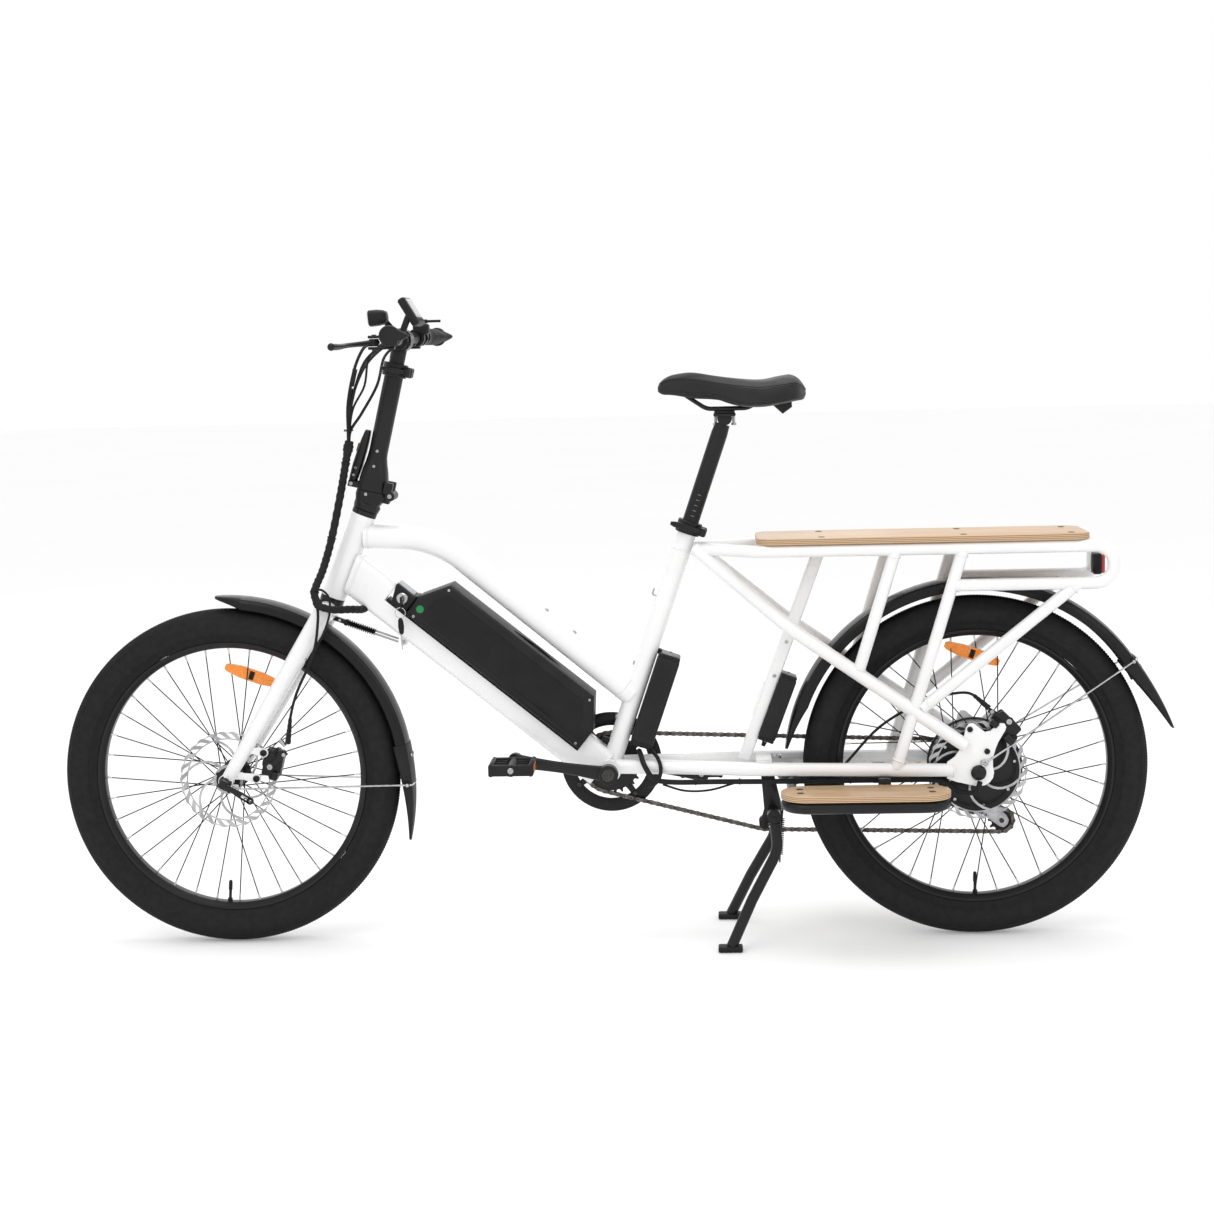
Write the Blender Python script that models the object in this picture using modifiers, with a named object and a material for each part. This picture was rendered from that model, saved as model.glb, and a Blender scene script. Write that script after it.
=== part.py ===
"""Long-tail electric cargo bicycle, standing on its two wheels and its double-leg kickstand.

The frame of reference is the ground under the middle of the bicycle: the bicycle faces -X, its left
side is -Y, and +Z is up. Lengths are in metres. A place along the bicycle is given as its distance
behind the front axle, and a place across it is given to the right of the middle plane.
"""

import math

import bmesh
import bpy
from mathutils import Matrix, Vector

# ---------------------------------------------------------------- driving dimensions
GAP = 0.0004
FRONT_AXLE_X = -0.708
WHEELBASE = 1.369
WHEEL_RADIUS = 0.313
TYRE_HALF_WIDTH = 0.030
RIM_OUTER = 0.2522
RIM_INNER = 0.2395
RIM_HALF_WIDTH = 0.0175
SPOKES = 36
WHEEL_STEPS = 32
SPOKE_RADIUS = 0.0011
ROTOR_RADIUS = 0.090
AXLE_RADIUS = 0.005
MUDGUARD_HALF_WIDTH = 0.031
MUDGUARD_THICKNESS = 0.003
GUARD_STEPS = 14

HEAD_ANGLE = math.radians(67.5)
HEAD_TUBE_BEHIND = 0.2315
HEAD_TUBE_UP = 0.719
HEAD_TUBE_HALF = 0.082
HEAD_TUBE_RADIUS = 0.0225
STEERER_RADIUS = 0.0143

CRANK_BEHIND = 0.702
CRANK_UP = 0.317
CRANK_LENGTH = 0.170
CRANK_RISE = math.radians(10)
SEAT_ANGLE = math.radians(70.8)
SEAT_TUBE_RADIUS = 0.0175
SEAT_TUBE_LENGTH = 0.476
SEATPOST_RADIUS = 0.0150
SEATPOST_TOP = 0.676

DOWN_TUBE_ANGLE = math.radians(-39.5)
DOWN_TUBE_START = (0.237, 0.689)
DOWN_TUBE_HEIGHT = 0.072
DOWN_TUBE_WIDTH = 0.050
TOP_TUBE_RADIUS = 0.0225
BATTERY_START = 0.1255
BATTERY_END = 0.5265
BATTERY_HALF_WIDTH = 0.041

RAIL_UP = 0.718
RAIL_SIDE = 0.078
RAIL_RADIUS = 0.011
RAIL_LOOP = 0.033
RAIL_END = 1.574
TRUSS_RADIUS = 0.0125
STAY_RADIUS = 0.0135
DROPOUT_SIDE = 0.0715
DROPOUT_HALF = 0.003

CHAIN_SIDE = 0.052
CHAINRING_PITCH = 0.0566
COG_PITCH = 0.0364
PULLEY_PITCH = 0.0222
MOTOR_RADIUS = 0.084

FOOTBOARD_FRONT = 1.012
FOOTBOARD_REAR = 1.312
FOOTBOARD_INNER = 0.088
FOOTBOARD_OUTER = 0.190
FOOTBOARD_TOP = 0.296

HANDLE_HALF = 0.322
BAR_RADIUS = 0.0111
BAR_BEND = 0.195
BAR_CLAMP_RADIUS = 0.0127
GRIP_INNER = 0.196
POST_TOP = 0.214
BAR_LEVEL = 0.279
SHIFTER_SIDE = 0.142

KICKSTAND_BEHIND = 1.001
KICKSTAND_UP = 0.236


def at(behind, side, up):
    """The place this far behind the front axle, to the right of the middle plane and above ground."""
    return Vector((FRONT_AXLE_X + behind, side, up))


FRONT_AXLE = at(0, 0, WHEEL_RADIUS)
REAR_AXLE = at(WHEELBASE, 0, WHEEL_RADIUS)
CRANK_AXIS = at(CRANK_BEHIND, 0, CRANK_UP)
HEAD_CENTRE = at(HEAD_TUBE_BEHIND, 0, HEAD_TUBE_UP)
STEERING = Vector((math.cos(HEAD_ANGLE), 0, math.sin(HEAD_ANGLE)))
SEAT_LINE = Vector((math.cos(SEAT_ANGLE), 0, math.sin(SEAT_ANGLE)))
POST_LINE = Vector((0.2365, 0, 0.9716)).normalized()
POST_REAR = Vector((POST_LINE.z, 0, -POST_LINE.x))
SEAT_REAR = Vector((SEAT_LINE.z, 0, -SEAT_LINE.x))
FOLD_PIVOT = at(0.3145, 0, 0.8270)
POST_FOOT = at(0.2765, 0, 0.8375)
LATCH_PIVOT = at(0.2430, 0, 0.8520)
QUICK_RELEASE = at(0, -0.0885, WHEEL_RADIUS)
FRONT_ARM_PIVOT = at(0.0830, 0, 0.3400)
REAR_ARM_PIVOT = at(1.4230, 0, 0.4040)
KICKSTAND_PIVOT = at(KICKSTAND_BEHIND, 0, KICKSTAND_UP)
UPPER_PULLEY = at(1.372, CHAIN_SIDE, 0.2350)
LOWER_PULLEY = at(1.424, CHAIN_SIDE, 0.1980)
CHAIN_GUIDE = at(0.985, 0, 0.2020)
BATTERY_LOCK = (0.104, 0.024)
SIDEWAYS = Vector((0, 1, 0))
UPWARDS = Vector((0, 0, 1))
SQUARE = [(-1, -1), (1, -1), (1, 1), (-1, 1)]

# ---------------------------------------------------------------- materials
PAINTS = {
    "white_paint": ((0.86, 0.87, 0.88), 0.0, 0.28),
    "black_paint": ((0.018, 0.018, 0.020), 0.1, 0.38),
    "black_plastic": ((0.022, 0.022, 0.024), 0.0, 0.5),
    "rubber": ((0.020, 0.020, 0.021), 0.0, 0.75),
    "tyre_rubber": ((0.016, 0.016, 0.017), 0.0, 0.82),
    "steel": ((0.62, 0.63, 0.64), 1.0, 0.32),
    "dark_steel": ((0.10, 0.10, 0.11), 0.9, 0.42),
    "plywood": ((0.66, 0.47, 0.28), 0.0, 0.48),
    "saddle_vinyl": ((0.022, 0.022, 0.023), 0.0, 0.55),
    "red_lens": ((0.55, 0.02, 0.02), 0.0, 0.15),
    "black_anodised": ((0.03, 0.03, 0.032), 0.7, 0.35),
}


def make_material(name):
    colour, metallic, roughness = PAINTS[name]
    material = bpy.data.materials.new(name)
    material.use_nodes = True
    shader = material.node_tree.nodes["Principled BSDF"]
    shader.inputs["Base Color"].default_value = (*colour, 1)
    shader.inputs["Metallic"].default_value = metallic
    shader.inputs["Roughness"].default_value = roughness
    return material


# ---------------------------------------------------------------- modelling helpers
def clear_scene():
    for item in list(bpy.data.objects):
        bpy.data.objects.remove(item, do_unlink=True)


def new_object(mesh):
    piece = bpy.data.objects.new("piece", mesh)
    bpy.context.scene.collection.objects.link(piece)
    return piece


def from_bmesh(shape):
    bmesh.ops.recalc_face_normals(shape, faces=shape.faces)
    mesh = bpy.data.meshes.new("piece")
    shape.to_mesh(mesh)
    shape.free()
    return new_object(mesh)


def bake(piece):
    """Replaces the object's mesh with the one its modifiers make."""
    graph = bpy.context.evaluated_depsgraph_get()
    mesh = bpy.data.meshes.new_from_object(piece.evaluated_get(graph), depsgraph=graph)
    piece.modifiers.clear()
    piece.data = mesh
    shape = bmesh.new()
    shape.from_mesh(mesh)
    bmesh.ops.remove_doubles(shape, verts=shape.verts, dist=0.000002)
    bmesh.ops.dissolve_degenerate(shape, edges=shape.edges, dist=0.000002)
    bmesh.ops.recalc_face_normals(shape, faces=shape.faces)
    shape.to_mesh(mesh)
    shape.free()
    return piece


def combine(piece, other, operation):
    modifier = piece.modifiers.new("combine", "BOOLEAN")
    modifier.operation = operation
    modifier.object = other
    bake(piece)
    bpy.data.objects.remove(other, do_unlink=True)
    return piece


def union(*pieces):
    whole = pieces[0]
    for other in pieces[1:]:
        combine(whole, other, "UNION")
    return whole


def cut(piece, cutter):
    return combine(piece, cutter, "DIFFERENCE")


def trim(piece, neighbour):
    """Cuts the neighbour's shape out of the piece, with the gap that touching pieces keep."""
    swollen = new_object(neighbour.data.copy())
    swollen.matrix_world = neighbour.matrix_world.copy()
    shape = bmesh.new()
    shape.from_mesh(swollen.data)
    shape.normal_update()
    for vert in shape.verts:
        vert.co += vert.normal * GAP * vert.calc_shell_factor()
    shape.to_mesh(swollen.data)
    shape.free()
    return cut(piece, swollen)


def turn_to(direction, centre):
    """The placement that takes the Z axis to the direction and the origin to the centre."""
    spin = Vector((0, 0, 1)).rotation_difference(Vector(direction).normalized())
    return Matrix.Translation(centre) @ spin.to_matrix().to_4x4()


def rod(start, end, radius, end_radius=None, sides=12):
    """A round bar, or a taper when it has an end radius."""
    start, end = Vector(start), Vector(end)
    shape = bmesh.new()
    bmesh.ops.create_cone(
        shape,
        cap_ends=True,
        segments=sides,
        radius1=radius,
        radius2=radius if end_radius is None else end_radius,
        depth=(end - start).length,
        matrix=turn_to(end - start, (start + end) / 2),
    )
    return from_bmesh(shape)


def cross_rod(centre, left, right, radius, sides=12):
    """A round bar across the bicycle, from one side place to another."""
    middle = Vector((centre[0], 0, centre[2]))
    return rod(middle + SIDEWAYS * left, middle + SIDEWAYS * right, radius, sides=sides)


def block(centre, size, direction=(1, 0, 0), bevel=0.0, segments=1):
    """A box whose length runs along a direction in the middle plane."""
    slope = math.atan2(direction[2], direction[0])
    shape = bmesh.new()
    bmesh.ops.create_cube(shape, size=1)
    bmesh.ops.scale(shape, vec=size, verts=shape.verts)
    if bevel:
        bmesh.ops.bevel(
            shape, geom=shape.edges, offset=bevel, segments=segments, profile=0.5, affect="EDGES"
        )
    place = Matrix.Translation(centre) @ Matrix.Rotation(-slope, 4, "Y")
    bmesh.ops.transform(shape, matrix=place, verts=shape.verts)
    return from_bmesh(shape)


def plate(outline, left, right):
    """A flat plate in a fore-and-aft plane: its outline is a list of (behind, up) corners."""
    shape = bmesh.new()
    ring = [shape.verts.new(at(behind, left, up)) for behind, up in outline]
    face = shape.faces.new(ring)
    made = bmesh.ops.extrude_face_region(shape, geom=[face])
    moved = [item for item in made["geom"] if isinstance(item, bmesh.types.BMVert)]
    bmesh.ops.translate(shape, vec=SIDEWAYS * (right - left), verts=moved)
    return from_bmesh(shape)


def turned(profile, centre, axis=SIDEWAYS, steps=32):
    """A turned piece: its profile is a loop of (radius, distance along the axis) corners."""
    mesh = bpy.data.meshes.new("profile")
    points = [(radius, 0, along) for radius, along in profile]
    edges = [(i, (i + 1) % len(points)) for i in range(len(points))]
    mesh.from_pydata(points, edges, [])
    piece = new_object(mesh)
    screw = piece.modifiers.new("turn", "SCREW")
    screw.steps = steps
    screw.render_steps = steps
    screw.use_merge_vertices = True
    screw.merge_threshold = 0.00001
    bake(piece)
    piece.data.transform(turn_to(axis, centre))
    return piece


def ring(centre, inner, outer, left, right, steps=32):
    """A flat ring or a hollow drum across the bicycle."""
    corners = [(outer, right), (outer, left), (inner, left), (inner, right)]
    return turned(corners, centre, SIDEWAYS, steps)


def rounded(corners, radius, step=math.radians(18)):
    """A path through the corners, with an arc of the radius at each inner one."""
    corners = [Vector(corner) for corner in corners]
    path = [corners[0]]
    for before, corner, after in zip(corners, corners[1:], corners[2:]):
        back = (before - corner).normalized()
        on = (after - corner).normalized()
        bend = math.pi - back.angle(on)
        reach = radius * math.tan(bend / 2)
        reach = min(reach, (before - corner).length * 0.49, (after - corner).length * 0.49)
        true_radius = reach / math.tan(bend / 2)
        inward = (back + on).normalized()
        middle = corner + inward * math.hypot(true_radius, reach)
        count = max(2, math.ceil(bend / step))
        first = (corner + back * reach - middle).normalized()
        last = (corner + on * reach - middle).normalized()
        path += [middle + first.slerp(last, i / count) * true_radius for i in range(count + 1)]
    path.append(corners[-1])
    return path


def smooth_path(corners, per_span=4):
    """A smooth curve through every corner (Catmull-Rom)."""
    corners = [Vector(corner) for corner in corners]
    ends = [2 * corners[0] - corners[1], *corners, 2 * corners[-1] - corners[-2]]
    path = []
    for p0, p1, p2, p3 in zip(ends, ends[1:], ends[2:], ends[3:]):
        for i in range(per_span):
            t = i / per_span
            straight = 2 * p1 + (p2 - p0) * t
            curved = (2 * p0 - 5 * p1 + 4 * p2 - p3) * t**2
            path.append((straight + curved + (3 * p1 - p0 - 3 * p2 + p3) * t**3) / 2)
    path.append(corners[-1])
    return path


def tube(path, radius, closed=False, resolution=2, taper=None):
    """A bent bar along a path. Its radius may taper to a second value at the far end."""
    curve = bpy.data.curves.new("tube", "CURVE")
    curve.dimensions = "3D"
    curve.bevel_depth = 1
    curve.bevel_resolution = resolution
    curve.use_fill_caps = True
    spline = curve.splines.new("POLY")
    spline.points.add(len(path) - 1)
    for i, (point, place) in enumerate(zip(spline.points, path)):
        share = i / max(1, len(path) - 1)
        point.co = (*place, 1)
        point.radius = radius if taper is None else radius + (taper - radius) * share
    spline.use_cyclic_u = closed
    guide = bpy.data.objects.new("guide", curve)
    bpy.context.scene.collection.objects.link(guide)
    graph = bpy.context.evaluated_depsgraph_get()
    mesh = bpy.data.meshes.new_from_object(guide.evaluated_get(graph), depsgraph=graph)
    bpy.data.objects.remove(guide, do_unlink=True)
    shape = bmesh.new()
    shape.from_mesh(mesh)
    bmesh.ops.remove_doubles(shape, verts=shape.verts, dist=0.000002)
    return from_bmesh(shape)


def loft(sections):
    """A closed skin through rings of points, each with the same number of points."""
    shape = bmesh.new()
    rings = [[shape.verts.new(point) for point in section] for section in sections]
    for ring_a, ring_b in zip(rings, rings[1:]):
        for i in range(len(ring_a)):
            j = (i + 1) % len(ring_a)
            shape.faces.new((ring_a[i], ring_a[j], ring_b[j], ring_b[i]))
    shape.faces.new(rings[0])
    shape.faces.new(rings[-1])
    return from_bmesh(shape)


def mirrored(piece):
    """The same piece on the other side of the bicycle."""
    mesh = piece.data.copy()
    mesh.transform(Matrix.Scale(-1, 4, SIDEWAYS))
    mesh.flip_normals()
    return new_object(mesh)


def on_circle(centre, radius, degrees, side=0.0):
    """A place on a circle in a fore-and-aft plane. 0 degrees is rearward and 90 is up."""
    angle = math.radians(degrees)
    reach = Vector((math.cos(angle), 0, math.sin(angle)))
    return Vector((centre[0], side, centre[2])) + reach * radius


def finish(piece, name, paint, pivot=None):
    """Names the piece, paints it and puts its origin on its joint's axis."""
    piece.name = name
    piece.data.name = name
    bike = bpy.data.collections["cargo_bicycle"]
    bpy.context.scene.collection.objects.unlink(piece)
    bike.objects.link(piece)
    piece.data.materials.clear()
    piece.data.materials.append(bpy.data.materials[paint])
    piece.data.shade_smooth()
    piece.data.set_sharp_from_angle(angle=math.radians(35))
    if pivot is not None:
        piece.data.transform(Matrix.Translation(-Vector(pivot)))
        piece.location = pivot
    return piece


# ---------------------------------------------------------------- wheels
def make_tyre(name, centre):
    section = WHEEL_RADIUS - RIM_OUTER
    middle = WHEEL_RADIUS - section / 2
    profile = [(RIM_OUTER + GAP, -0.0165)]
    for degrees in range(-120, 121, 40):
        angle = math.radians(degrees)
        profile.append((middle + section / 2 * math.cos(angle), TYRE_HALF_WIDTH * math.sin(angle)))
    profile.append((RIM_OUTER + GAP, 0.0165))
    tyre = turned(profile[::-1], centre, SIDEWAYS, WHEEL_STEPS)
    finish(tyre, name, "tyre_rubber", centre)


def make_rim(centre):
    profile = [
        (RIM_OUTER, RIM_HALF_WIDTH),
        (RIM_OUTER, -RIM_HALF_WIDTH),
        (RIM_INNER + 0.006, -RIM_HALF_WIDTH),
        (RIM_INNER, -0.010),
        (RIM_INNER, 0.010),
        (RIM_INNER + 0.006, RIM_HALF_WIDTH),
    ]
    return turned(profile, centre, SIDEWAYS, WHEEL_STEPS)


def spoke_ends(centre, flange_radius, flange_side, number):
    """Where one spoke leaves the hub and where it meets the rim: the spokes cross in pairs."""
    pitch = 360 / SPOKES
    side = flange_side if number % 2 else -flange_side
    lean = 7.0 if (number // 2) % 2 else -7.0
    rim_degrees = number * pitch
    hub_degrees = rim_degrees + lean * pitch / 2 * (0.027 / flange_radius) ** 0.5
    offset = 0.0016 if (number // 2) % 2 else -0.0016
    hub_end = on_circle(centre, flange_radius - 0.003, hub_degrees, side + offset)
    rim_end = on_circle(centre, RIM_INNER + 0.003, rim_degrees, side * 0.12 + offset)
    return hub_end, rim_end


def make_spokes(wheel, centre, flange_radius, flange_side):
    for number in range(SPOKES):
        hub_end, rim_end = spoke_ends(centre, flange_radius, flange_side, number)
        union(wheel, rod(hub_end, rim_end, SPOKE_RADIUS, sides=3))
    return wheel


def make_rotor(centre, side):
    """The brake disc: a ring on six slanted arms."""
    rotor = ring(centre, ROTOR_RADIUS - 0.015, ROTOR_RADIUS, side - 0.0009, side + 0.0009, 20)
    for number in range(6):
        inner = on_circle(centre, 0.014, number * 60, side)
        outer = on_circle(centre, ROTOR_RADIUS - 0.008, number * 60 + 22, side)
        size = ((outer - inner).length, 0.0017, 0.007)
        union(rotor, block((inner + outer) / 2, size, outer - inner))
    return rotor


def make_reflector(centre, radius, degrees):
    """The reflector that clips across a few spokes."""
    return block(on_circle(centre, radius, degrees), (0.104, 0.012, 0.023), (1, 0, -0.36), 0.002)


def make_valve(centre, degrees):
    foot = on_circle(centre, RIM_INNER + 0.003, degrees)
    return rod(foot, on_circle(centre, 0.20, degrees), 0.003, sides=8)


def make_front_wheel():
    """The hub, its brake disc, the spokes, the rim, the reflector and the valve."""
    profile = [
        (0.0220, 0.0470), (0.0220, 0.0400), (0.0150, 0.0370), (0.0150, 0.0330),
        (0.0270, 0.0320), (0.0270, 0.0280), (0.0150, 0.0260),
    ]
    hub = profile + [(radius, -along) for radius, along in profile[::-1]]
    hub += [(AXLE_RADIUS + GAP, -0.0470), (AXLE_RADIUS + GAP, 0.0470)]
    wheel = union(turned(hub, FRONT_AXLE, SIDEWAYS, 12), make_rotor(FRONT_AXLE, -0.0430))
    # The rotor's arms meet at the hub, so the axle's bore is cleared again.
    cut(wheel, cross_rod(FRONT_AXLE, -0.06, 0.06, AXLE_RADIUS + GAP, 16))
    make_spokes(wheel, FRONT_AXLE, 0.027, 0.030)
    union(wheel, make_rim(FRONT_AXLE))
    union(wheel, make_reflector(FRONT_AXLE, 0.192, 77))
    union(wheel, make_valve(FRONT_AXLE, 266))
    make_tyre("front_tyre", FRONT_AXLE)
    return finish(wheel, "front_wheel", "black_paint", FRONT_AXLE)


def make_rear_wheel():
    """The motor drum, its brake disc, the spokes, the rim, the reflector and the valve."""
    profile = [
        (0.0300, 0.0400), (0.0700, 0.0370), (MOTOR_RADIUS, 0.0280), (MOTOR_RADIUS, -0.0280),
        (0.0700, -0.0350), (0.0280, -0.0380), (0.0280, -0.0540),
    ]
    profile += [(AXLE_RADIUS + GAP, -0.0540), (AXLE_RADIUS + GAP, 0.0400)]
    wheel = union(turned(profile, REAR_AXLE, SIDEWAYS, 20), make_rotor(REAR_AXLE, -0.0520))
    cut(wheel, cross_rod(REAR_AXLE, -0.07, 0.07, AXLE_RADIUS + GAP, 16))
    make_spokes(wheel, REAR_AXLE, 0.083, 0.022)
    union(wheel, make_rim(REAR_AXLE))
    union(wheel, make_reflector(REAR_AXLE, 0.205, 91))
    union(wheel, make_valve(REAR_AXLE, 270))
    make_tyre("rear_tyre", REAR_AXLE)
    return finish(wheel, "rear_wheel", "black_paint", REAR_AXLE)


def make_cassette():
    """The cogs of the freewheel in one stepped drum, the largest next to the motor."""
    cogs = [
        (0.050, 0.0415, 0.0435),
        (COG_PITCH - 0.005, 0.0510, 0.0530),
        (0.026, 0.0580, 0.0600),
    ]
    profile = [(0.0070, 0.0405), (0.0180, 0.0405)]
    for radius, left, right in cogs:
        profile += [(0.0180, left), (radius, left), (radius, right), (0.0180, right)]
    profile.append((0.0070, 0.0600))
    return finish(turned(profile[::-1], REAR_AXLE, SIDEWAYS, 16), "cassette", "steel", REAR_AXLE)


# ---------------------------------------------------------------- frame
def head_tube_solid(radius, extra=0.0):
    reach = STEERING * (HEAD_TUBE_HALF + extra)
    return rod(HEAD_CENTRE - reach, HEAD_CENTRE + reach, radius, sides=20)


def seat_tube_solid():
    top = CRANK_AXIS + SEAT_LINE * SEAT_TUBE_LENGTH
    shell = cross_rod(CRANK_AXIS, -0.0365, 0.0365, 0.0215, 20)
    return union(rod(CRANK_AXIS, top, SEAT_TUBE_RADIUS, sides=20), shell)


def make_top_tube():
    corners = [at(0.262, 0, 0.7542), at(0.395, 0, 0.7478), at(0.7475, 0, 0.4520)]
    return tube(rounded(corners, 0.25, math.radians(8)), TOP_TUBE_RADIUS, resolution=4)


def down_tube_place(along, above, side=0.0):
    """A place along the down tube's centre line and above it."""
    line = Vector((math.cos(DOWN_TUBE_ANGLE), 0, math.sin(DOWN_TUBE_ANGLE)))
    rise = Vector((-math.sin(DOWN_TUBE_ANGLE), 0, math.cos(DOWN_TUBE_ANGLE)))
    return at(DOWN_TUBE_START[0], side, DOWN_TUBE_START[1]) + line * along + rise * above


def down_tube_block(start, end, low, high, half_width, bevel=0.0, segments=1):
    centre = down_tube_place((start + end) / 2, (low + high) / 2)
    line = down_tube_place(1, 0) - down_tube_place(0, 0)
    return block(centre, (end - start, 2 * half_width, high - low), line, bevel, segments)


def make_down_tube():
    """The wide down tube, its pocket for the battery and the tab that the steering spring hooks to."""
    half = DOWN_TUBE_HEIGHT / 2
    body = down_tube_block(-0.01, 0.602, -half, half, DOWN_TUBE_WIDTH / 2, 0.012, 2)
    pocket = down_tube_block(BATTERY_START - 0.046, BATTERY_END + 0.001, 0.0, half + 0.02, 0.06)
    union(body, block(at(0.3285, 0, 0.5640), (0.012, 0.014, 0.026), bevel=0.001))
    return cut(body, pocket)


def battery_outline(margin=0.0):
    """The side view of the battery, a long box with both upper corners cut off."""
    return [
        (BATTERY_START - margin, 0.0055 - margin),
        (BATTERY_END + margin, 0.0055 - margin),
        (BATTERY_END + margin, 0.050),
        (0.489, 0.1005 + margin),
        (0.158, 0.0990 + margin),
        (BATTERY_START - margin, 0.046),
    ]


def make_battery():
    left, right = -BATTERY_HALF_WIDTH, BATTERY_HALF_WIDTH
    places = [down_tube_place(along, above) for along, above in battery_outline()]
    outline = [(place.x - FRONT_AXLE_X, place.z) for place in places]
    body = plate(outline, left, right)
    bevel = body.modifiers.new("edges", "BEVEL")
    bevel.width = 0.006
    bevel.segments = 2
    bake(body)
    groove = down_tube_block(0.180, 0.240, 0.066, 0.084, 0.001)
    groove.data.transform(Matrix.Translation(SIDEWAYS * left))
    cut(body, groove)
    return finish(body, "battery", "black_plastic", down_tube_place(0.326, 0.0055))


def make_battery_cradle():
    """The rail that the battery sits on, and the lock housing in front of it."""
    rail = down_tube_block(BATTERY_START - 0.044, BATTERY_END, GAP, 0.0050, 0.022)
    housing = down_tube_block(0.0820, BATTERY_START - 0.001, 0.003, 0.062, 0.030, 0.005)
    lock = down_tube_place(*BATTERY_LOCK)
    barrel = cross_rod(lock, -0.037, 0.0, 0.0105, 20)
    cradle = union(rail, housing, barrel)
    cut(cradle, cross_rod(lock, -0.05, -0.012, 0.0042, 16))
    return finish(cradle, "battery_cradle", "black_plastic")


def make_battery_key():
    """The key in the battery lock, with its round grip standing out from the barrel."""
    lock = down_tube_place(*BATTERY_LOCK)
    blade = cross_rod(lock, -0.041, -0.014, 0.0036, 12)
    grip = block(lock + Vector((0, -0.048, -0.006)), (0.0210, 0.0180, 0.0030), (0, 0, 1), 0.0012)
    return finish(union(blade, grip), "battery_key", "black_plastic", lock)


def dropout_outline():
    """The left and right dropout plates, seen from the side."""
    return [
        (1.312, 0.302), (1.345, 0.292), (1.366, 0.287), (1.386, 0.292), (1.396, 0.312),
        (1.394, 0.336), (1.404, 0.372), (1.418, 0.392), (1.408, 0.402), (1.386, 0.384),
        (1.360, 0.402), (1.346, 0.394), (1.336, 0.356), (1.312, 0.332),
    ]


def stand_bracket_outline():
    return [
        (0.978, 0.320), (0.998, 0.320), (1.016, 0.240),
        (1.008, 0.222), (0.994, 0.222), (0.984, 0.240),
    ]


def chain_guide_outline():
    return [(0.990, 0.250), (1.000, 0.232), (0.990, 0.196), (0.980, 0.196), (0.980, 0.215)]


def make_chainstays():
    """Both chainstays with their bridge, the dropouts, the fixed rear axle and the stand's bracket."""
    corners = [
        at(0.705, 0.020, 0.3230),
        at(0.820, 0.032, 0.3225),
        at(0.980, 0.061, 0.3215),
        at(1.325, 0.0705, 0.3170),
    ]
    path = rounded(corners, 0.25, math.radians(12))
    right = tube(path, STAY_RADIUS, resolution=3, taper=0.0120)
    inner, outer = DROPOUT_SIDE - DROPOUT_HALF, DROPOUT_SIDE + DROPOUT_HALF
    union(right, plate(dropout_outline(), inner, outer))
    left = mirrored(right)
    bridge = block(at(0.985, 0, 0.3235), (0.030, 0.120, 0.016), bevel=0.002)
    stays = union(bridge, left, right)
    for side in (-0.027, 0.021):
        union(stays, plate(stand_bracket_outline(), side, side + 0.006))
    union(stays, plate(chain_guide_outline(), 0.022, 0.026))
    union(stays, cross_rod(CHAIN_GUIDE, 0.023, 0.0590, 0.0100, 16))
    cut(stays, cross_rod(KICKSTAND_PIVOT, -0.05, 0.05, 0.0120 + GAP, 20))
    union(stays, cross_rod(REAR_AXLE, -0.084, 0.084, AXLE_RADIUS, 16))
    for side in (-1, 1):
        union(stays, cross_rod(REAR_AXLE, side * (outer - 0.001), side * (outer + 0.009), 0.0095, 6))
    return stays


def rail_path():
    """One side of the rack: the top rail, the round rear end and the lower rail."""
    rear_top = at(RAIL_END + RAIL_LOOP, RAIL_SIDE, RAIL_UP)
    rear_low = at(RAIL_END + RAIL_LOOP, RAIL_SIDE, RAIL_UP - 2 * RAIL_LOOP)
    return rounded(
        [
            at(0.868, 0.010, RAIL_UP + 0.002),
            at(0.975, RAIL_SIDE, RAIL_UP),
            rear_top,
            rear_low,
            at(1.327, RAIL_SIDE, RAIL_UP - 2 * RAIL_LOOP),
        ],
        RAIL_LOOP,
        math.radians(30),
    )


def make_rack_rails():
    """Both rack sides, their cross tubes and the strut that ties them to the chainstays."""
    right = tube(rail_path(), RAIL_RADIUS, resolution=2)
    rails = union(mirrored(right), right)
    for behind in (1.093, 1.345, 1.560):
        union(rails, cross_rod(at(behind, 0, RAIL_UP), -RAIL_SIDE, RAIL_SIDE, 0.0090, 8))
    foot, head = at(0.9485, 0, 0.3380), at(1.093, 0, RAIL_UP)
    strut = block((foot + head) / 2, ((head - foot).length, 0.030, 0.022), head - foot, 0.003)
    union(rails, strut)
    lamp_bracket = block(at(1.5670, 0, 0.7180), (0.022, 0.030, 0.005))
    return union(rails, lamp_bracket, block(at(1.5760, 0, 0.6930), (0.0040, 0.030, 0.055)))


def make_rack_truss():
    """The right-hand lower diagonal, the two struts and the rear brace, welded together."""
    diagonal = [at(0.866, 0.018, 0.7220), at(1.030, 0.070, 0.5820), at(1.345, 0.0735, 0.3620)]
    truss = tube(rounded(diagonal, 0.30, math.radians(12)), TRUSS_RADIUS, resolution=3)
    struts = [
        (at(1.153, 0.0715, 0.490), at(1.224, RAIL_SIDE, RAIL_UP)),
        (at(1.222, 0.0705, 0.322), at(1.343, RAIL_SIDE, RAIL_UP)),
        (at(1.268, 0.0725, 0.430), at(1.545, RAIL_SIDE, RAIL_UP - 2 * RAIL_LOOP)),
    ]
    for foot, head in struts:
        union(truss, rod(foot, head, 0.0110, sides=10))
    return truss


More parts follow.
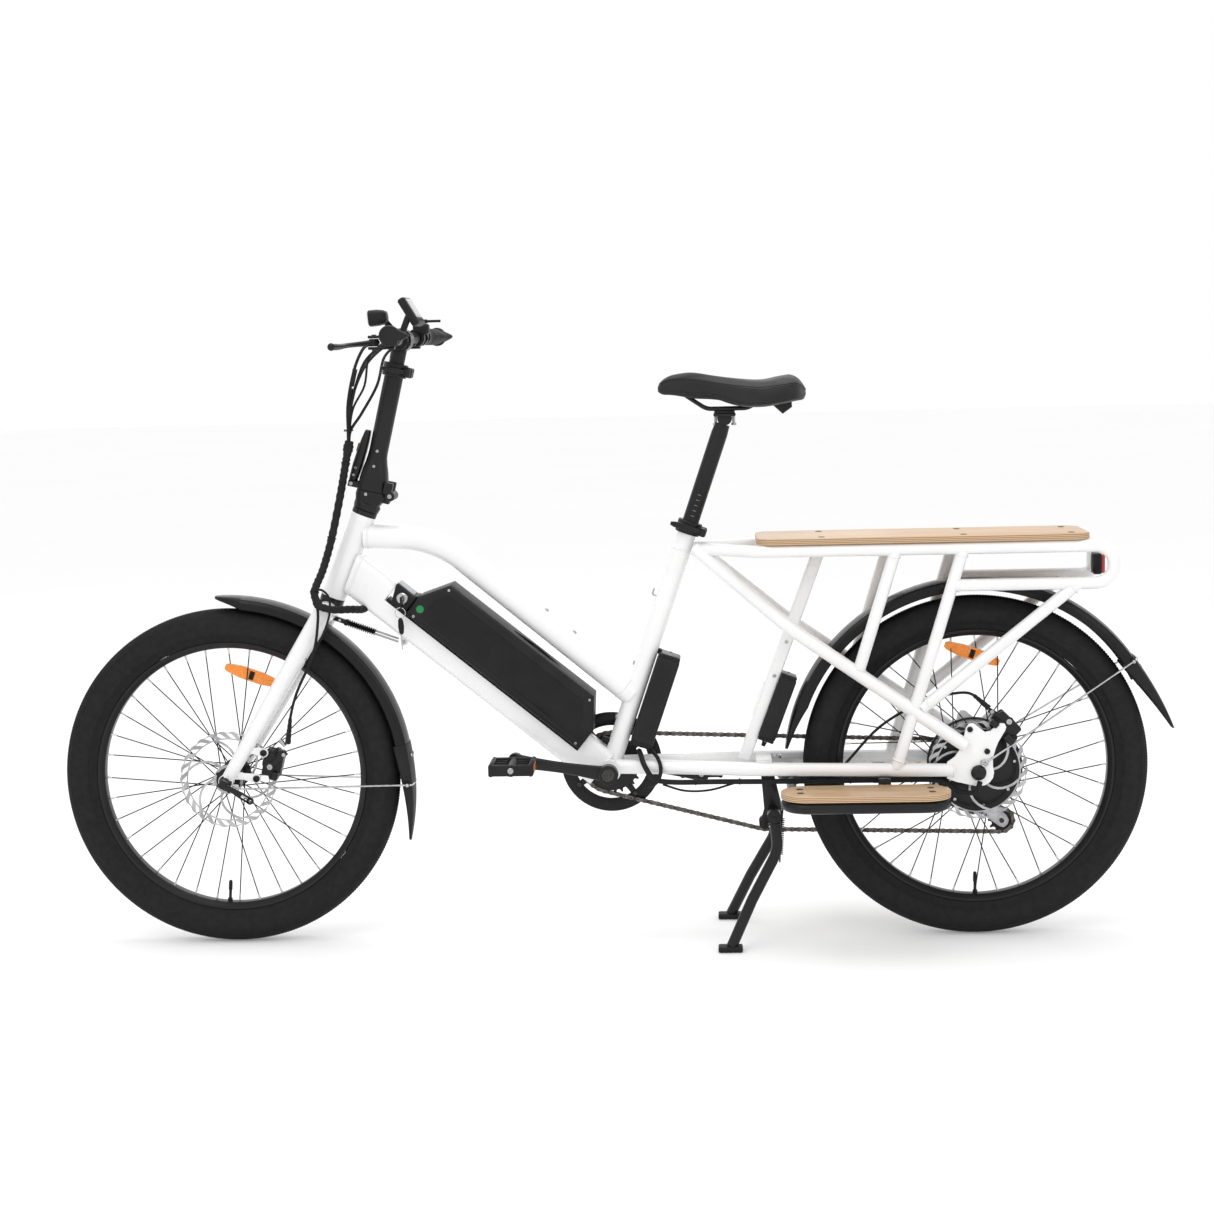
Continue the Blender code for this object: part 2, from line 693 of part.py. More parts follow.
def make_frame():
    head = head_tube_solid(HEAD_TUBE_RADIUS)
    seat = seat_tube_solid()
    top = make_top_tube()
    down = make_down_tube()
    stays = make_chainstays()
    rails = make_rack_rails()
    right_truss = make_rack_truss()
    trim(top, head)
    trim(top, seat)
    trim(down, head)
    trim(down, seat)
    trim(down, top)
    trim(stays, seat)
    trim(stays, down)
    trim(rails, seat)
    trim(rails, stays)
    for neighbour in (seat, rails, stays):
        trim(right_truss, neighbour)
    left_truss = mirrored(right_truss)
    bore = CRANK_AXIS + SEAT_LINE * 0.20
    cut(seat, rod(bore, bore + SEAT_LINE * 0.40, SEATPOST_RADIUS + GAP, sides=16))
    cut(seat, cross_rod(CRANK_AXIS, -0.05, 0.05, 0.0120 + GAP, 16))
    cut(head, head_tube_solid(STEERER_RADIUS + GAP, 0.01))
    finish(head, "head_tube", "white_paint")
    finish(top, "top_tube", "white_paint")
    finish(down, "down_tube", "white_paint")
    finish(seat, "seat_tube", "white_paint")
    finish(stays, "chainstays", "white_paint")
    finish(rails, "rack_rails", "white_paint")
    finish(left_truss, "rack_truss_left", "white_paint")
    finish(right_truss, "rack_truss_right", "white_paint")


# ---------------------------------------------------------------- deck, footboards and boxes
def make_deck_board():
    low = RAIL_UP + RAIL_RADIUS + GAP
    board = block(at(1.272, 0, low + 0.006), (0.590, 0.176, 0.012))
    return round_board(board, 0.030)


def round_board(board, radius):
    """Rounds the four upright corners of a board."""
    shape = bmesh.new()
    shape.from_mesh(board.data)
    upright = [edge for edge in shape.edges if abs(edge.verts[0].co.z - edge.verts[1].co.z) > 0.005]
    bmesh.ops.bevel(shape, geom=upright, offset=radius, segments=5, profile=0.5, affect="EDGES")
    shape.to_mesh(board.data)
    shape.free()
    return board


def make_footboard():
    length = FOOTBOARD_REAR - FOOTBOARD_FRONT
    width = FOOTBOARD_OUTER - FOOTBOARD_INNER
    centre = at(FOOTBOARD_FRONT + length / 2, FOOTBOARD_INNER + width / 2, FOOTBOARD_TOP - 0.006)
    board = block(centre, (length, width, 0.012))
    return round_board(board, width * 0.48)


def make_footboard_frame():
    """Two bent tube loops under the footboards, a cross tube and the tabs up to the chainstays."""
    tube_radius = 0.0105
    up = FOOTBOARD_TOP - 0.012 - GAP - tube_radius
    inset = 0.010
    front, rear = FOOTBOARD_FRONT + inset, FOOTBOARD_REAR - inset
    inner, outer = FOOTBOARD_INNER + inset, FOOTBOARD_OUTER - inset
    turn = (outer - inner) / 2
    middle = (inner + outer) / 2
    path = []
    for degrees in range(-90, 91, 45):
        angle = math.radians(degrees)
        path.append(at(rear - turn + turn * math.cos(angle), middle + turn * math.sin(angle), up))
    for degrees in range(90, 271, 45):
        angle = math.radians(degrees)
        path.append(at(front + turn + turn * math.cos(angle), middle + turn * math.sin(angle), up))
    right = tube(path, tube_radius, closed=True, resolution=2)
    union(right, block(at(1.200, 0.084, up), (0.022, 0.034, 0.012)))
    union(right, block(at(1.200, 0.077, up + 0.013), (0.022, 0.018, 0.036)))
    frame = union(mirrored(right), right)
    cross = [
        at(1.060, -inner, up),
        at(1.036, -inner + 0.03, up),
        at(1.036, inner - 0.03, up),
        at(1.060, inner, up),
    ]
    return union(frame, tube(rounded(cross, 0.03), 0.0090, resolution=2))


def make_controller():
    """The motor controller, a long box behind the seat tube."""
    level = 0.1475
    centre = CRANK_AXIS + SEAT_LINE * level + SEAT_REAR * 0.0405
    return block(centre, (0.178, 0.060, 0.042), SEAT_LINE, 0.005)


def make_converter():
    """The smaller box behind the middle strut."""
    foot, head = at(0.9485, 0, 0.3380), at(1.093, 0, RAIL_UP)
    line = (head - foot).normalized()
    across = Vector((line.z, 0, -line.x))
    centre = foot + line * 0.104 + across * (0.011 + GAP + 0.016)
    return block(centre, (0.130, 0.048, 0.032), line, 0.004)


# ---------------------------------------------------------------- mudguards
def mudguard(centre, start, end, radius, flap_end, stay_degrees, stay_end):
    """A crowned strip round the wheel, its flared flap and its wire stay."""
    half, thick = MUDGUARD_HALF_WIDTH, MUDGUARD_THICKNESS
    sections = []
    for i in range(GUARD_STEPS + 1):
        share = i / GUARD_STEPS
        sections.append(guard_section(centre, start + (end - start) * share, radius, half, thick))
    for share in (0.5, 1.0):
        degrees = end + (flap_end[0] - end) * share
        flare = radius + (flap_end[1] - radius) * share
        sections.append(guard_section(centre, degrees, flare, half * (1 - 0.25 * share), thick))
    guard = loft(sections)
    for side in (-1, 1):
        rim_place = on_circle(centre, radius - 0.0045, stay_degrees, side * (half - 0.001))
        union(guard, rod(stay_end(side), rim_place, 0.0018, sides=6))
    return guard


def guard_section(centre, degrees, radius, half, thick):
    """A shallow channel across the wheel, as one closed ring of points."""
    shape = [(-1.0, -0.010), (-0.7, -0.003), (0.0, 0.0), (0.7, -0.003), (1.0, -0.010)]
    outer = [on_circle(centre, radius + drop, degrees, half * across) for across, drop in shape]
    inner = [
        on_circle(centre, radius + drop - thick, degrees, half * across * 0.93)
        for across, drop in shape
    ]
    return outer + inner[::-1]


def front_stay_end(side):
    return at(0.018, side * 0.0695, 0.3000)


def rear_stay_end(side):
    return at(1.3790, side * 0.0800, 0.3300)


def make_mudguards():
    front = mudguard(FRONT_AXLE, 93, 2, 0.337, (-21, 0.353), -3, front_stay_end)
    rear = mudguard(REAR_AXLE, 174, 27, 0.347, (10, 0.366), 34, rear_stay_end)
    return front, rear


# ---------------------------------------------------------------- fork and steering
def make_fork():
    """The steerer, crown, two blades, the brake tabs and the fixed front axle."""
    crown = HEAD_CENTRE - STEERING * (HEAD_TUBE_HALF + 0.0265)
    steerer_top = HEAD_CENTRE + STEERING * (HEAD_TUBE_HALF + 0.020)
    fork = rod(crown, steerer_top, STEERER_RADIUS, sides=16)
    race = HEAD_CENTRE - STEERING * (HEAD_TUBE_HALF + GAP)
    union(fork, rod(crown, race, 0.0215, sides=16))
    union(fork, cross_rod(crown, -0.056, 0.056, 0.0190, 20))
    for side in (-1, 1):
        top = Vector((crown.x, side * 0.0540, crown.z)) + STEERING * 0.006
        foot = at(0.004, side * 0.0615, 0.3190)
        union(fork, rod(top, foot, 0.0180, 0.0120, 16))
        union(fork, cross_rod(FRONT_AXLE, side * 0.0500, side * 0.0680, 0.0135, 16))
        union(fork, block(at(0.014, side * 0.0640, 0.3020), (0.018, 0.006, 0.010)))
    union(fork, plate(caliper_tab(), -0.0640, -0.0585))
    union(fork, cross_rod(FRONT_AXLE, -0.080, 0.080, AXLE_RADIUS, 16))
    return fork


def caliper_tab():
    """The brake mount that stands behind the left blade."""
    return [
        (0.010, 0.345), (0.008, 0.300), (0.052, 0.306),
        (0.072, 0.336), (0.070, 0.372), (0.040, 0.388),
    ]


def caliper(centre, inner, outer, slot, slope):
    """A disc caliper with a slot that the rotor runs through."""
    line = Vector((math.cos(slope), 0, math.sin(slope)))
    middle = Vector((centre.x, (inner + outer) / 2, centre.z))
    body = block(middle, (0.058, abs(outer - inner), 0.036), line, 0.004)
    slot_centre = Vector((centre.x, slot, centre.z)) + Vector((-0.006, 0, -0.004))
    cut(body, block(slot_centre, (0.075, 0.0040, 0.040), line))
    return body


def make_front_caliper():
    centre = at(0.0860, 0, 0.3440)
    return caliper(centre, -0.0270, -0.0580, -0.0430, math.radians(75))


def make_rear_caliper():
    centre = at(1.4180, 0, 0.3940)
    return caliper(centre, -0.0370, -0.0680, -0.0520, math.radians(-45))


def caliper_arm(pivot, end, left, right):
    """The arm that the brake cable pulls, with its round boss."""
    middle = (left + right) / 2
    boss = cross_rod(pivot, left, right, 0.0085, 16)
    arm_start = Vector((pivot.x, middle, pivot.z))
    arm_end = Vector((end.x, middle, end.z))
    size = ((end - pivot).length + 0.006, right - left, 0.008)
    return union(boss, block((arm_start + arm_end) / 2, size, arm_end - arm_start))


def make_caliper_arms():
    front = caliper_arm(FRONT_ARM_PIVOT, at(0.1120, 0, 0.3640), -0.0680, -0.0644)
    rear = caliper_arm(REAR_ARM_PIVOT, at(1.3900, 0, 0.4240), -0.0735, -0.0690)
    return front, rear


def make_quick_release():
    """The front axle's lever, with the cam that it turns on."""
    start = QUICK_RELEASE - SIDEWAYS * 0.0025
    end = start + Vector((0.054, 0, -0.034))
    cam_axis = (end - start).normalized().cross(SIDEWAYS)
    cam = rod(QUICK_RELEASE - cam_axis * 0.008, QUICK_RELEASE + cam_axis * 0.008, 0.0075, sides=16)
    size = ((end - start).length, 0.0055, 0.0120)
    return union(cam, block((start + end) / 2, size, end - start, 0.0015))


# ---------------------------------------------------------------- folding handlepost
def make_handlepost_base():
    """The clamp above the head tube, with the lower half of the fold."""
    start = HEAD_CENTRE + STEERING * (HEAD_TUBE_HALF + GAP)
    base = rod(start, start + STEERING * 0.020, 0.0225, 0.0250, 24)
    line = POST_LINE
    top = POST_FOOT - line * GAP
    body_centre = (start + STEERING * 0.012 + top) / 2 + Vector((0.005, 0, 0.004))
    union(base, block(body_centre, (0.036, 0.046, 0.058), line, 0.004))
    union(base, block(FOLD_PIVOT - POST_REAR * 0.016 - line * 0.012, (0.014, 0.022, 0.030), line))
    upper_half = block(POST_FOOT + line * (0.030 - GAP), (0.060, 0.10, 0.16), line)
    cut(base, upper_half)
    for left, right in ((-0.030, -0.0113), (0.0113, 0.030)):
        cut(base, cross_rod(FOLD_PIVOT, left, right, 0.0104, 16))
    union(base, cross_rod(FOLD_PIVOT, -0.011, 0.011, 0.0090, 16))
    steerer_end = HEAD_CENTRE + STEERING * (HEAD_TUBE_HALF + 0.021)
    cut(base, rod(HEAD_CENTRE, steerer_end, STEERER_RADIUS + GAP, sides=16))
    return cut(base, cross_rod(FOLD_PIVOT, -0.05, 0.05, 0.0040 + GAP, 16))


def make_handlepost():
    """The folding column: the upper half of the fold and a tube for the sliding stem."""
    line = POST_LINE
    across = POST_REAR
    foot = POST_FOOT
    post = rod(foot + line * GAP, foot + line * POST_TOP, 0.0172, sides=16)
    union(post, block(foot + line * (0.0302 + GAP) + across * 0.004, (0.060, 0.046, 0.054), line, 0.004))
    for side in (-0.0185, 0.0185):
        centre = FOLD_PIVOT + SIDEWAYS * side
        union(post, cross_rod(centre, side - 0.0068, side + 0.0068, 0.0090, 16))
        union(post, block(centre - across * 0.006 + line * 0.0130, (0.022, 0.0136, 0.016), line))
    cut(post, cross_rod(FOLD_PIVOT, -0.0117, 0.0117, 0.0105, 16))
    union(post, cross_rod(FOLD_PIVOT, -0.0240, 0.0240, 0.0040, 16))
    cut(post, rod(foot + line * 0.070, foot + line * (POST_TOP + 0.01), 0.0140 + GAP, sides=16))
    collar_low, collar_high = foot + line * (POST_TOP - 0.002), foot + line * (POST_TOP + 0.022)
    collar = rod(collar_low, collar_high, 0.0225, sides=16)
    union(collar, block((collar_low + collar_high) / 2 + across * 0.024, (0.018, 0.030, 0.018), line))
    cut(collar, rod(collar_low - line * 0.01, collar_high + line * 0.01, 0.0140 + GAP, sides=16))
    return union(post, collar)


def make_handlepost_latch():
    """The long lever on the front of the column that locks the fold."""
    top = at(0.2765, 0, 0.9480)
    octagon = [(-1, -0.6), (-0.6, -1), (0.6, -1), (1, -0.6), (1, 0.6), (0.6, 1), (-0.6, 1), (-1, 0.6)]
    stations = [
        (0.0, 0.012, 0.006),
        (0.35, 0.015, 0.008),
        (0.75, 0.015, 0.007),
        (1.0, 0.009, 0.004),
    ]
    sections = []
    for share, half_width, half_depth in stations:
        centre = LATCH_PIVOT.lerp(top, share) - POST_REAR * 0.001
        width, depth = SIDEWAYS * half_width, POST_REAR * half_depth
        sections.append([centre + width * a + depth * b for a, b in octagon])
    return loft(sections)


def stem_place(level):
    return POST_FOOT + POST_LINE * level


def bar_centre():
    return stem_place(BAR_LEVEL)


def make_handlebar_stem():
    """The sliding inner tube, with the clamp that holds the handlebar."""
    stem = rod(stem_place(0.100), bar_centre(), 0.0140, sides=20)
    union(stem, cross_rod(bar_centre(), -0.022, 0.022, 0.0210, 24))
    return cut(stem, cross_rod(bar_centre(), -0.03, 0.03, BAR_CLAMP_RADIUS + GAP, 16))


def swept_place(side):
    """A place on the bar's centre line outside its inner bends, where it sweeps back."""
    beyond = abs(side) - BAR_BEND
    return bar_centre() + Vector((0.012 + 0.11 * beyond, side, 0.006))


def bar_path(half):
    """The handlebar's centre line: straight in the middle, then raised and swept back."""
    middle = bar_centre()
    left = [swept_place(-half), swept_place(-BAR_BEND), middle + SIDEWAYS * -0.060]
    right = [middle + SIDEWAYS * 0.060, swept_place(BAR_BEND), swept_place(half)]
    return rounded(left + right, 0.12, math.radians(10))


def make_handlebar():
    bar = tube(bar_path(HANDLE_HALF - 0.004), BAR_RADIUS)
    return union(bar, cross_rod(bar_centre(), -0.045, 0.045, BAR_CLAMP_RADIUS, 20))


def make_grip():
    """The right-hand grip: a rubber sleeve that widens into a palm rest at its outer end."""
    start = swept_place(GRIP_INNER)
    end = swept_place(HANDLE_HALF)
    back = (end - start).normalized().cross(UPWARDS)
    stations = [(0.0, 0.0), (0.12, 0.001), (0.35, 0.004), (0.60, 0.011), (0.85, 0.017), (1.0, 0.015)]
    return loft([grip_section(start.lerp(end, share), back, wing) for share, wing in stations])


def grip_section(centre, back, wing):
    """One ring of the grip, drawn out rearward by the width of its palm rest."""
    points = []
    for i in range(16):
        angle = 2 * math.pi * i / 16
        rearward = max(0.0, math.cos(angle))
        reach = (0.0160 + rearward**3 * wing) * math.cos(angle)
        height = (0.0160 - 0.14 * rearward * wing) * math.sin(angle)
        points.append(centre + back * reach + UPWARDS * height)
    return points


def brake_lever_pivot(side):
    return bar_centre() + Vector((-0.024, side * 0.166, -0.004))


def make_brake_lever(side):
    """The lever blade that the fingers pull towards the grip."""
    pivot = brake_lever_pivot(side)
    corners = [
        pivot,
        pivot + Vector((-0.022, side * 0.016, -0.002)),
        pivot + Vector((-0.040, side * 0.048, -0.004)),
        pivot + Vector((-0.046, side * 0.090, -0.006)),
        pivot + Vector((-0.054, side * 0.118, -0.006)),
    ]
    blade = tube(smooth_path(corners, 2), 0.0060)
    boss = rod(pivot - UPWARDS * 0.0065, pivot + UPWARDS * 0.0065, 0.0085, sides=16)
    tip = rod(corners[-1], corners[-1] + Vector((-0.001, side * 0.006, 0)), 0.0075, sides=12)
    return union(blade, boss, tip)


def make_brake_mounts(bar):
    """The clamps that carry the brake levers, made with the bar so that they hold it."""
    for side in (-1, 1):
        pivot = brake_lever_pivot(side)
        clamp_centre = bar_centre() + Vector((0.0105, side * 0.172, 0.005))
        union(bar, rod(clamp_centre - SIDEWAYS * 0.008, clamp_centre + SIDEWAYS * 0.008, 0.0165, sides=20))
        for up in (-0.0098, 0.0098):
            centre = pivot + Vector((0.013, -side * 0.001, up))
            union(bar, block(centre, (0.046, 0.016, 0.0050)))
    return bar


def make_display():
    """The handlebar display, a slab that faces the rider, on its clamp."""
    centre = bar_centre() + Vector((0.0200, 0, 0.0500))
    tilt = Vector((-0.51, 0, 0.86))
    slab = block(centre, (0.056, 0.086, 0.016), tilt, 0.004)
    arm_foot = bar_centre() + Vector((0.006, -0.034, 0.010))
    arm = rod(arm_foot, centre + Vector((-0.001, -0.034, -0.008)), 0.0060, sides=12)
    union(slab, ring_on_bar(-0.034), arm)
    return cut(slab, cross_rod(bar_centre(), -0.10, 0.10, BAR_CLAMP_RADIUS + GAP, 16))


def ring_on_bar(side):
    """A clamp band, whose bore is cut to the bar afterwards."""
    middle = bar_centre()
    return ring(Vector((middle.x, 0, middle.z)), 0.0100, 0.0175, side - 0.006, side + 0.006, 16)


def make_headlight():
    """The front lamp and its bracket on the bar."""
    centre = bar_centre() + Vector((-0.0420, 0, 0.0400))
    lamp = block(centre, (0.034, 0.050, 0.030), (1, 0, 0.08), 0.006)
    arm_foot = bar_centre() + Vector((-0.012, 0.032, 0.010))
    arm = rod(arm_foot, centre + Vector((0.010, 0.018, -0.006)), 0.0055, sides=12)
    union(lamp, arm, ring_on_bar(0.032))
    return cut(lamp, cross_rod(bar_centre(), -0.10, 0.10, BAR_CLAMP_RADIUS + GAP, 16))


def shifter_pivot():
    return bar_centre() + Vector((0.020, SHIFTER_SIDE, 0.031))


def make_shifter_pod(bar):
    """The gear shifter's housing on the right-hand side of the bar."""
    middle = bar_centre() + Vector((0.008, SHIFTER_SIDE, 0.004))
    union(bar, rod(middle - SIDEWAYS * 0.010, middle + SIDEWAYS * 0.010, 0.0165, sides=20))
    return union(bar, block(middle + Vector((0.010, 0, 0.016)), (0.030, 0.026, 0.020), bevel=0.003))


def make_shifter_lever():
    """The thumb lever on top of the shifter's housing."""
    pivot = shifter_pivot()
    hub = rod(pivot - UPWARDS * 0.0005, pivot + UPWARDS * 0.0070, 0.0105, sides=16)
    thumb = block(pivot + Vector((0.018, 0.004, 0.0035)), (0.034, 0.009, 0.0050), bevel=0.0012)
    return union(hub, thumb)


def clamp_lever(pivot, tip, line, half_widths):
    """A flat quick-release lever that swings about a line, with its round cam."""
    boss = rod(pivot - line * 0.0075, pivot + line * 0.0075, 0.0060, sides=16)
    sections = []
    for share, half_width in zip((0.0, 0.5, 1.0), half_widths):
        centre = pivot.lerp(tip, share)
        thick, wide = SIDEWAYS * 0.0022, line * half_width
        sections.append([centre + thick * a + wide * b for a, b in SQUARE])
    return union(boss, loft(sections))


def stem_clamp_pivot():
    return stem_place(POST_TOP + 0.010) + POST_REAR * 0.025 + SIDEWAYS * -0.0220


def make_stem_clamp_lever():
    """The quick-release lever of the collar at the top of the column."""
    pivot = stem_clamp_pivot()
    tip = pivot - POST_REAR * 0.046 + SIDEWAYS * -0.012
    return clamp_lever(pivot, tip, POST_LINE, (0.0035, 0.0050, 0.0040))


# ---------------------------------------------------------------- seat
def seat_place(level):
    return CRANK_AXIS + SEAT_LINE * level


def make_seat_collar():
    """The black clamp round the top of the seat tube."""
    low, high = seat_place(SEAT_TUBE_LENGTH - 0.020), seat_place(SEAT_TUBE_LENGTH + 0.003)
    collar = rod(low, high, 0.0225, sides=16)
    union(collar, block((low + high) / 2 + SEAT_REAR * 0.024, (0.020, 0.030, 0.016), SEAT_LINE))
    tube_top = seat_place(SEAT_TUBE_LENGTH + GAP)
    cut(collar, rod(low - SEAT_LINE * 0.01, tube_top, SEAT_TUBE_RADIUS + GAP, sides=20))
    return cut(collar, rod(low, high + SEAT_LINE * 0.01, SEATPOST_RADIUS + GAP, sides=16))


def seat_lever_pivot():
    return seat_place(SEAT_TUBE_LENGTH - 0.0085) + SEAT_REAR * 0.026 + SIDEWAYS * -0.0220


def make_seat_collar_lever():
    """The quick-release lever of the seat clamp."""
    pivot = seat_lever_pivot()
    tip = pivot - SEAT_REAR * 0.060 + SIDEWAYS * -0.012
    return clamp_lever(pivot, tip, SEAT_LINE, (0.0035, 0.0060, 0.0050))


def make_seatpost():
    """The post with the clamp that holds the saddle's rails."""
    post = rod(seat_place(0.300), seat_place(SEATPOST_TOP - 0.012), SEATPOST_RADIUS, sides=16)
    head = seat_place(SEATPOST_TOP)
    union(post, cross_rod(head, -0.017, 0.017, 0.0135, 20))
    clamp = block(head + Vector((0, 0, 0.008)), (0.040, 0.052, 0.010), bevel=0.002)
    return union(post, clamp)


def saddle_section(behind, half, top, low, edge_drop):
    """One cross-section of the saddle: a crowned top over a flat underside."""
    points = []
    for i in range(9):
        angle = math.pi * i / 8
        across = half * math.cos(angle)
        rise = math.sin(angle) ** 0.55
        points.append(at(behind, across, top - edge_drop + edge_drop * rise))
    for share in (-0.6, 0.6):
        points.append(at(behind, half * share, low))
    return points


def make_saddle():
    """The padded saddle, the bumper under its tail and its two steel rails."""
    stations = [
        (0.804, 0.012, 1.0170, 1.0070, 0.006),
        (0.812, 0.022, 1.0280, 1.0010, 0.016),
        (0.832, 0.027, 1.0370, 1.0000, 0.024),
        (0.870, 0.031, 1.0370, 0.9930, 0.026),
        (0.910, 0.040, 1.0300, 0.9900, 0.026),
        (0.950, 0.058, 1.0240, 0.9780, 0.026),
        (0.990, 0.078, 1.0210, 0.9740, 0.026),
        (1.025, 0.088, 1.0270, 0.9790, 0.032),
        (1.052, 0.080, 1.0300, 0.9850, 0.034),
        (1.066, 0.055, 1.0180, 0.9880, 0.026),
        (1.071, 0.030, 1.0080, 0.9920, 0.012),
    ]
    saddle = loft([saddle_section(*station) for station in stations])
    bumper = [(1.003, 0.984), (1.028, 0.961), (1.045, 0.973), (1.044, 0.996), (1.003, 0.996)]
    union(saddle, plate(bumper, -0.042, 0.042))
    head = seat_place(SEATPOST_TOP)
    rail_up = head.z + 0.0165
    for side in (-1, 1):
        corners = [
            at(0.850, side * 0.010, 1.0000),
            at(0.892, side * 0.021, rail_up),
            at(0.965, side * 0.021, rail_up),
            at(1.010, side * 0.026, 0.9950),
        ]
        union(saddle, tube(rounded(corners, 0.03), 0.0035, resolution=2))
    return saddle


# ---------------------------------------------------------------- drivetrain
def pedal_centre(side):
    """The left pedal is forward and slightly raised, and the right one is opposite."""
    reach = Vector((math.cos(CRANK_RISE), 0, -math.sin(CRANK_RISE))) * CRANK_LENGTH
    return CRANK_AXIS + reach * side


def make_crankset():
    """The axle, both arms, the chainring, its guard and the pedal axles."""
    crank = cross_rod(CRANK_AXIS, -0.078, 0.078, 0.0120, 20)
    for side in (-1, 1):
        reach = pedal_centre(side) - CRANK_AXIS
        near = CRANK_AXIS + SIDEWAYS * side * 0.066
        far = CRANK_AXIS + reach + SIDEWAYS * side * 0.078
        union(crank, block((near + far) / 2, ((far - near).length, 0.0130, 0.0260), reach, 0.003))
        union(crank, cross_rod(CRANK_AXIS, side * 0.060, side * 0.080, 0.0185, 20))
        union(crank, cross_rod(CRANK_AXIS + reach, side * 0.066, side * 0.079, 0.0140, 20))
        union(crank, cross_rod(CRANK_AXIS + reach, side * 0.070, side * 0.175, 0.0055, 12))
    tooth_root = CHAINRING_PITCH - 0.0050
    union(crank, ring(CRANK_AXIS, 0.0110, tooth_root, CHAIN_SIDE - 0.0010, CHAIN_SIDE + 0.0010, 20))
    union(crank, ring(CRANK_AXIS, 0.0110, 0.0240, 0.0440, 0.0640, 16))
    guard_side = CHAIN_SIDE + 0.0060
    union(crank, ring(CRANK_AXIS, 0.0690, 0.0940, guard_side, guard_side + 0.0025, 24))
    for number in range(4):
        start = on_circle(CRANK_AXIS, 0.018, number * 90 + 35, guard_side + 0.0012)
        end = on_circle(CRANK_AXIS, 0.076, number * 90 + 35, guard_side + 0.0012)
        union(crank, block((start + end) / 2, ((end - start).length, 0.0024, 0.014), end - start))
    return crank


def make_pedal(side):
    """A flat platform pedal that turns on its axle."""
    centre = pedal_centre(side) + SIDEWAYS * side * 0.132
    body = block(centre, (0.080, 0.084, 0.022), bevel=0.004)
    for share in (-1, 1):
        opening = centre + Vector((share * 0.0230, 0, 0))
        cut(body, block(opening, (0.018, 0.060, 0.030)))
    hole = cross_rod(centre, centre.y - 0.06, centre.y + 0.06, 0.0055 + GAP, 16)
    return cut(body, hole)


def belt_path(wheels):
    """The path of a belt round wheels given as (centre, radius with the sign of its turning)."""
    normals = []
    count = len(wheels)
    for i in range(count):
        (c1, s1), (c2, s2) = wheels[i], wheels[(i + 1) % count]
        span = Vector((c2.x - c1.x, c2.z - c1.z))
        normals.append(math.atan2(span.y, span.x) + math.acos((s2 - s1) / span.length))
    path = []
    for i in range(count):
        centre, signed = wheels[i]
        start, end = normals[i - 1], normals[i]
        if signed > 0:
            sweep = (end - start) % (2 * math.pi)
        else:
            sweep = -((start - end) % (2 * math.pi))
        if abs(sweep) > math.radians(330):
            sweep = 0.0
        steps = max(1, round(abs(sweep) / math.radians(20)))
        for k in range(steps + 1):
            normal = start + sweep * k / steps
            reach = Vector((math.cos(normal), 0, math.sin(normal))) * signed
            path.append(Vector((centre.x, CHAIN_SIDE, centre.z)) - reach)
    return path


def chain_wheels():
    return [
        (CRANK_AXIS, CHAINRING_PITCH),
        (CHAIN_GUIDE, 0.0160),
        (LOWER_PULLEY, PULLEY_PITCH),
        (UPPER_PULLEY, -PULLEY_PITCH),
        (REAR_AXLE, COG_PITCH),
    ]


def make_chain():
    """The whole chain as one band, clear of the sprockets that it runs on."""
    path = belt_path(chain_wheels())
    count = len(path)
    sections = []
    for i, place in enumerate(path):
        along = (path[(i + 1) % count] - path[i - 1]).normalized()
        outward = along.cross(SIDEWAYS)
        thick, wide = outward * 0.0040, SIDEWAYS * 0.0030
        sections.append([place + thick * a + wide * b for a, b in SQUARE])
    shape = bmesh.new()
    rings = [[shape.verts.new(point) for point in section] for section in sections]
    for i in range(count):
        ring_a, ring_b = rings[i], rings[(i + 1) % count]
        for k in range(4):
            shape.faces.new((ring_a[k], ring_a[(k + 1) % 4], ring_b[(k + 1) % 4], ring_b[k]))
    return from_bmesh(shape)


def make_pulley(centre):
    middle = centre - SIDEWAYS * CHAIN_SIDE
    left, right = CHAIN_SIDE - 0.002, CHAIN_SIDE + 0.002
    return ring(middle, 0.0025 + GAP, PULLEY_PITCH - 0.0050, left, right, 20)


def make_derailleur():
    """The cage, its two pulley axles and the arm up to the dropout."""
    cage_line = [
        (1.360, 0.240), (1.372, 0.222), (1.424, 0.185),
        (1.437, 0.196), (1.430, 0.211), (1.376, 0.248),
    ]
    body = cross_rod(UPPER_PULLEY, 0.0450, 0.0850, 0.0025, 12)
    union(body, cross_rod(LOWER_PULLEY, 0.0450, 0.0600, 0.0025, 12))
    for side in (CHAIN_SIDE - 0.0070, CHAIN_SIDE + 0.0056):
        union(body, plate(cage_line, side, side + 0.0014))
    union(body, cross_rod(UPPER_PULLEY, 0.0585, 0.0780, 0.0100, 16))
    arm = [
        (1.362, 0.236), (1.382, 0.232), (1.398, 0.262),
        (1.394, 0.284), (1.380, 0.286), (1.376, 0.262),
    ]
    return union(body, plate(arm, 0.0770, 0.0850))


# ---------------------------------------------------------------- kickstand, lamp and cables
def make_kickstand():
    """A barrel across the bicycle and two spread legs with flat feet."""
    stand = cross_rod(KICKSTAND_PIVOT, -0.078, 0.078, 0.0120, 20)
    for side in (-1, 1):
        corners = [
            at(KICKSTAND_BEHIND, side * 0.0710, KICKSTAND_UP),
            at(KICKSTAND_BEHIND + 0.006, side * 0.0760, KICKSTAND_UP - 0.060),
            at(0.958, side * 0.0950, 0.088),
            at(0.920, side * 0.1160, 0.008),
        ]
        union(stand, tube(rounded(corners, 0.06), 0.0100, resolution=2))
        union(stand, block(at(0.918, side * 0.1160, 0.0050), (0.044, 0.030, 0.010), bevel=0.002))
    return stand


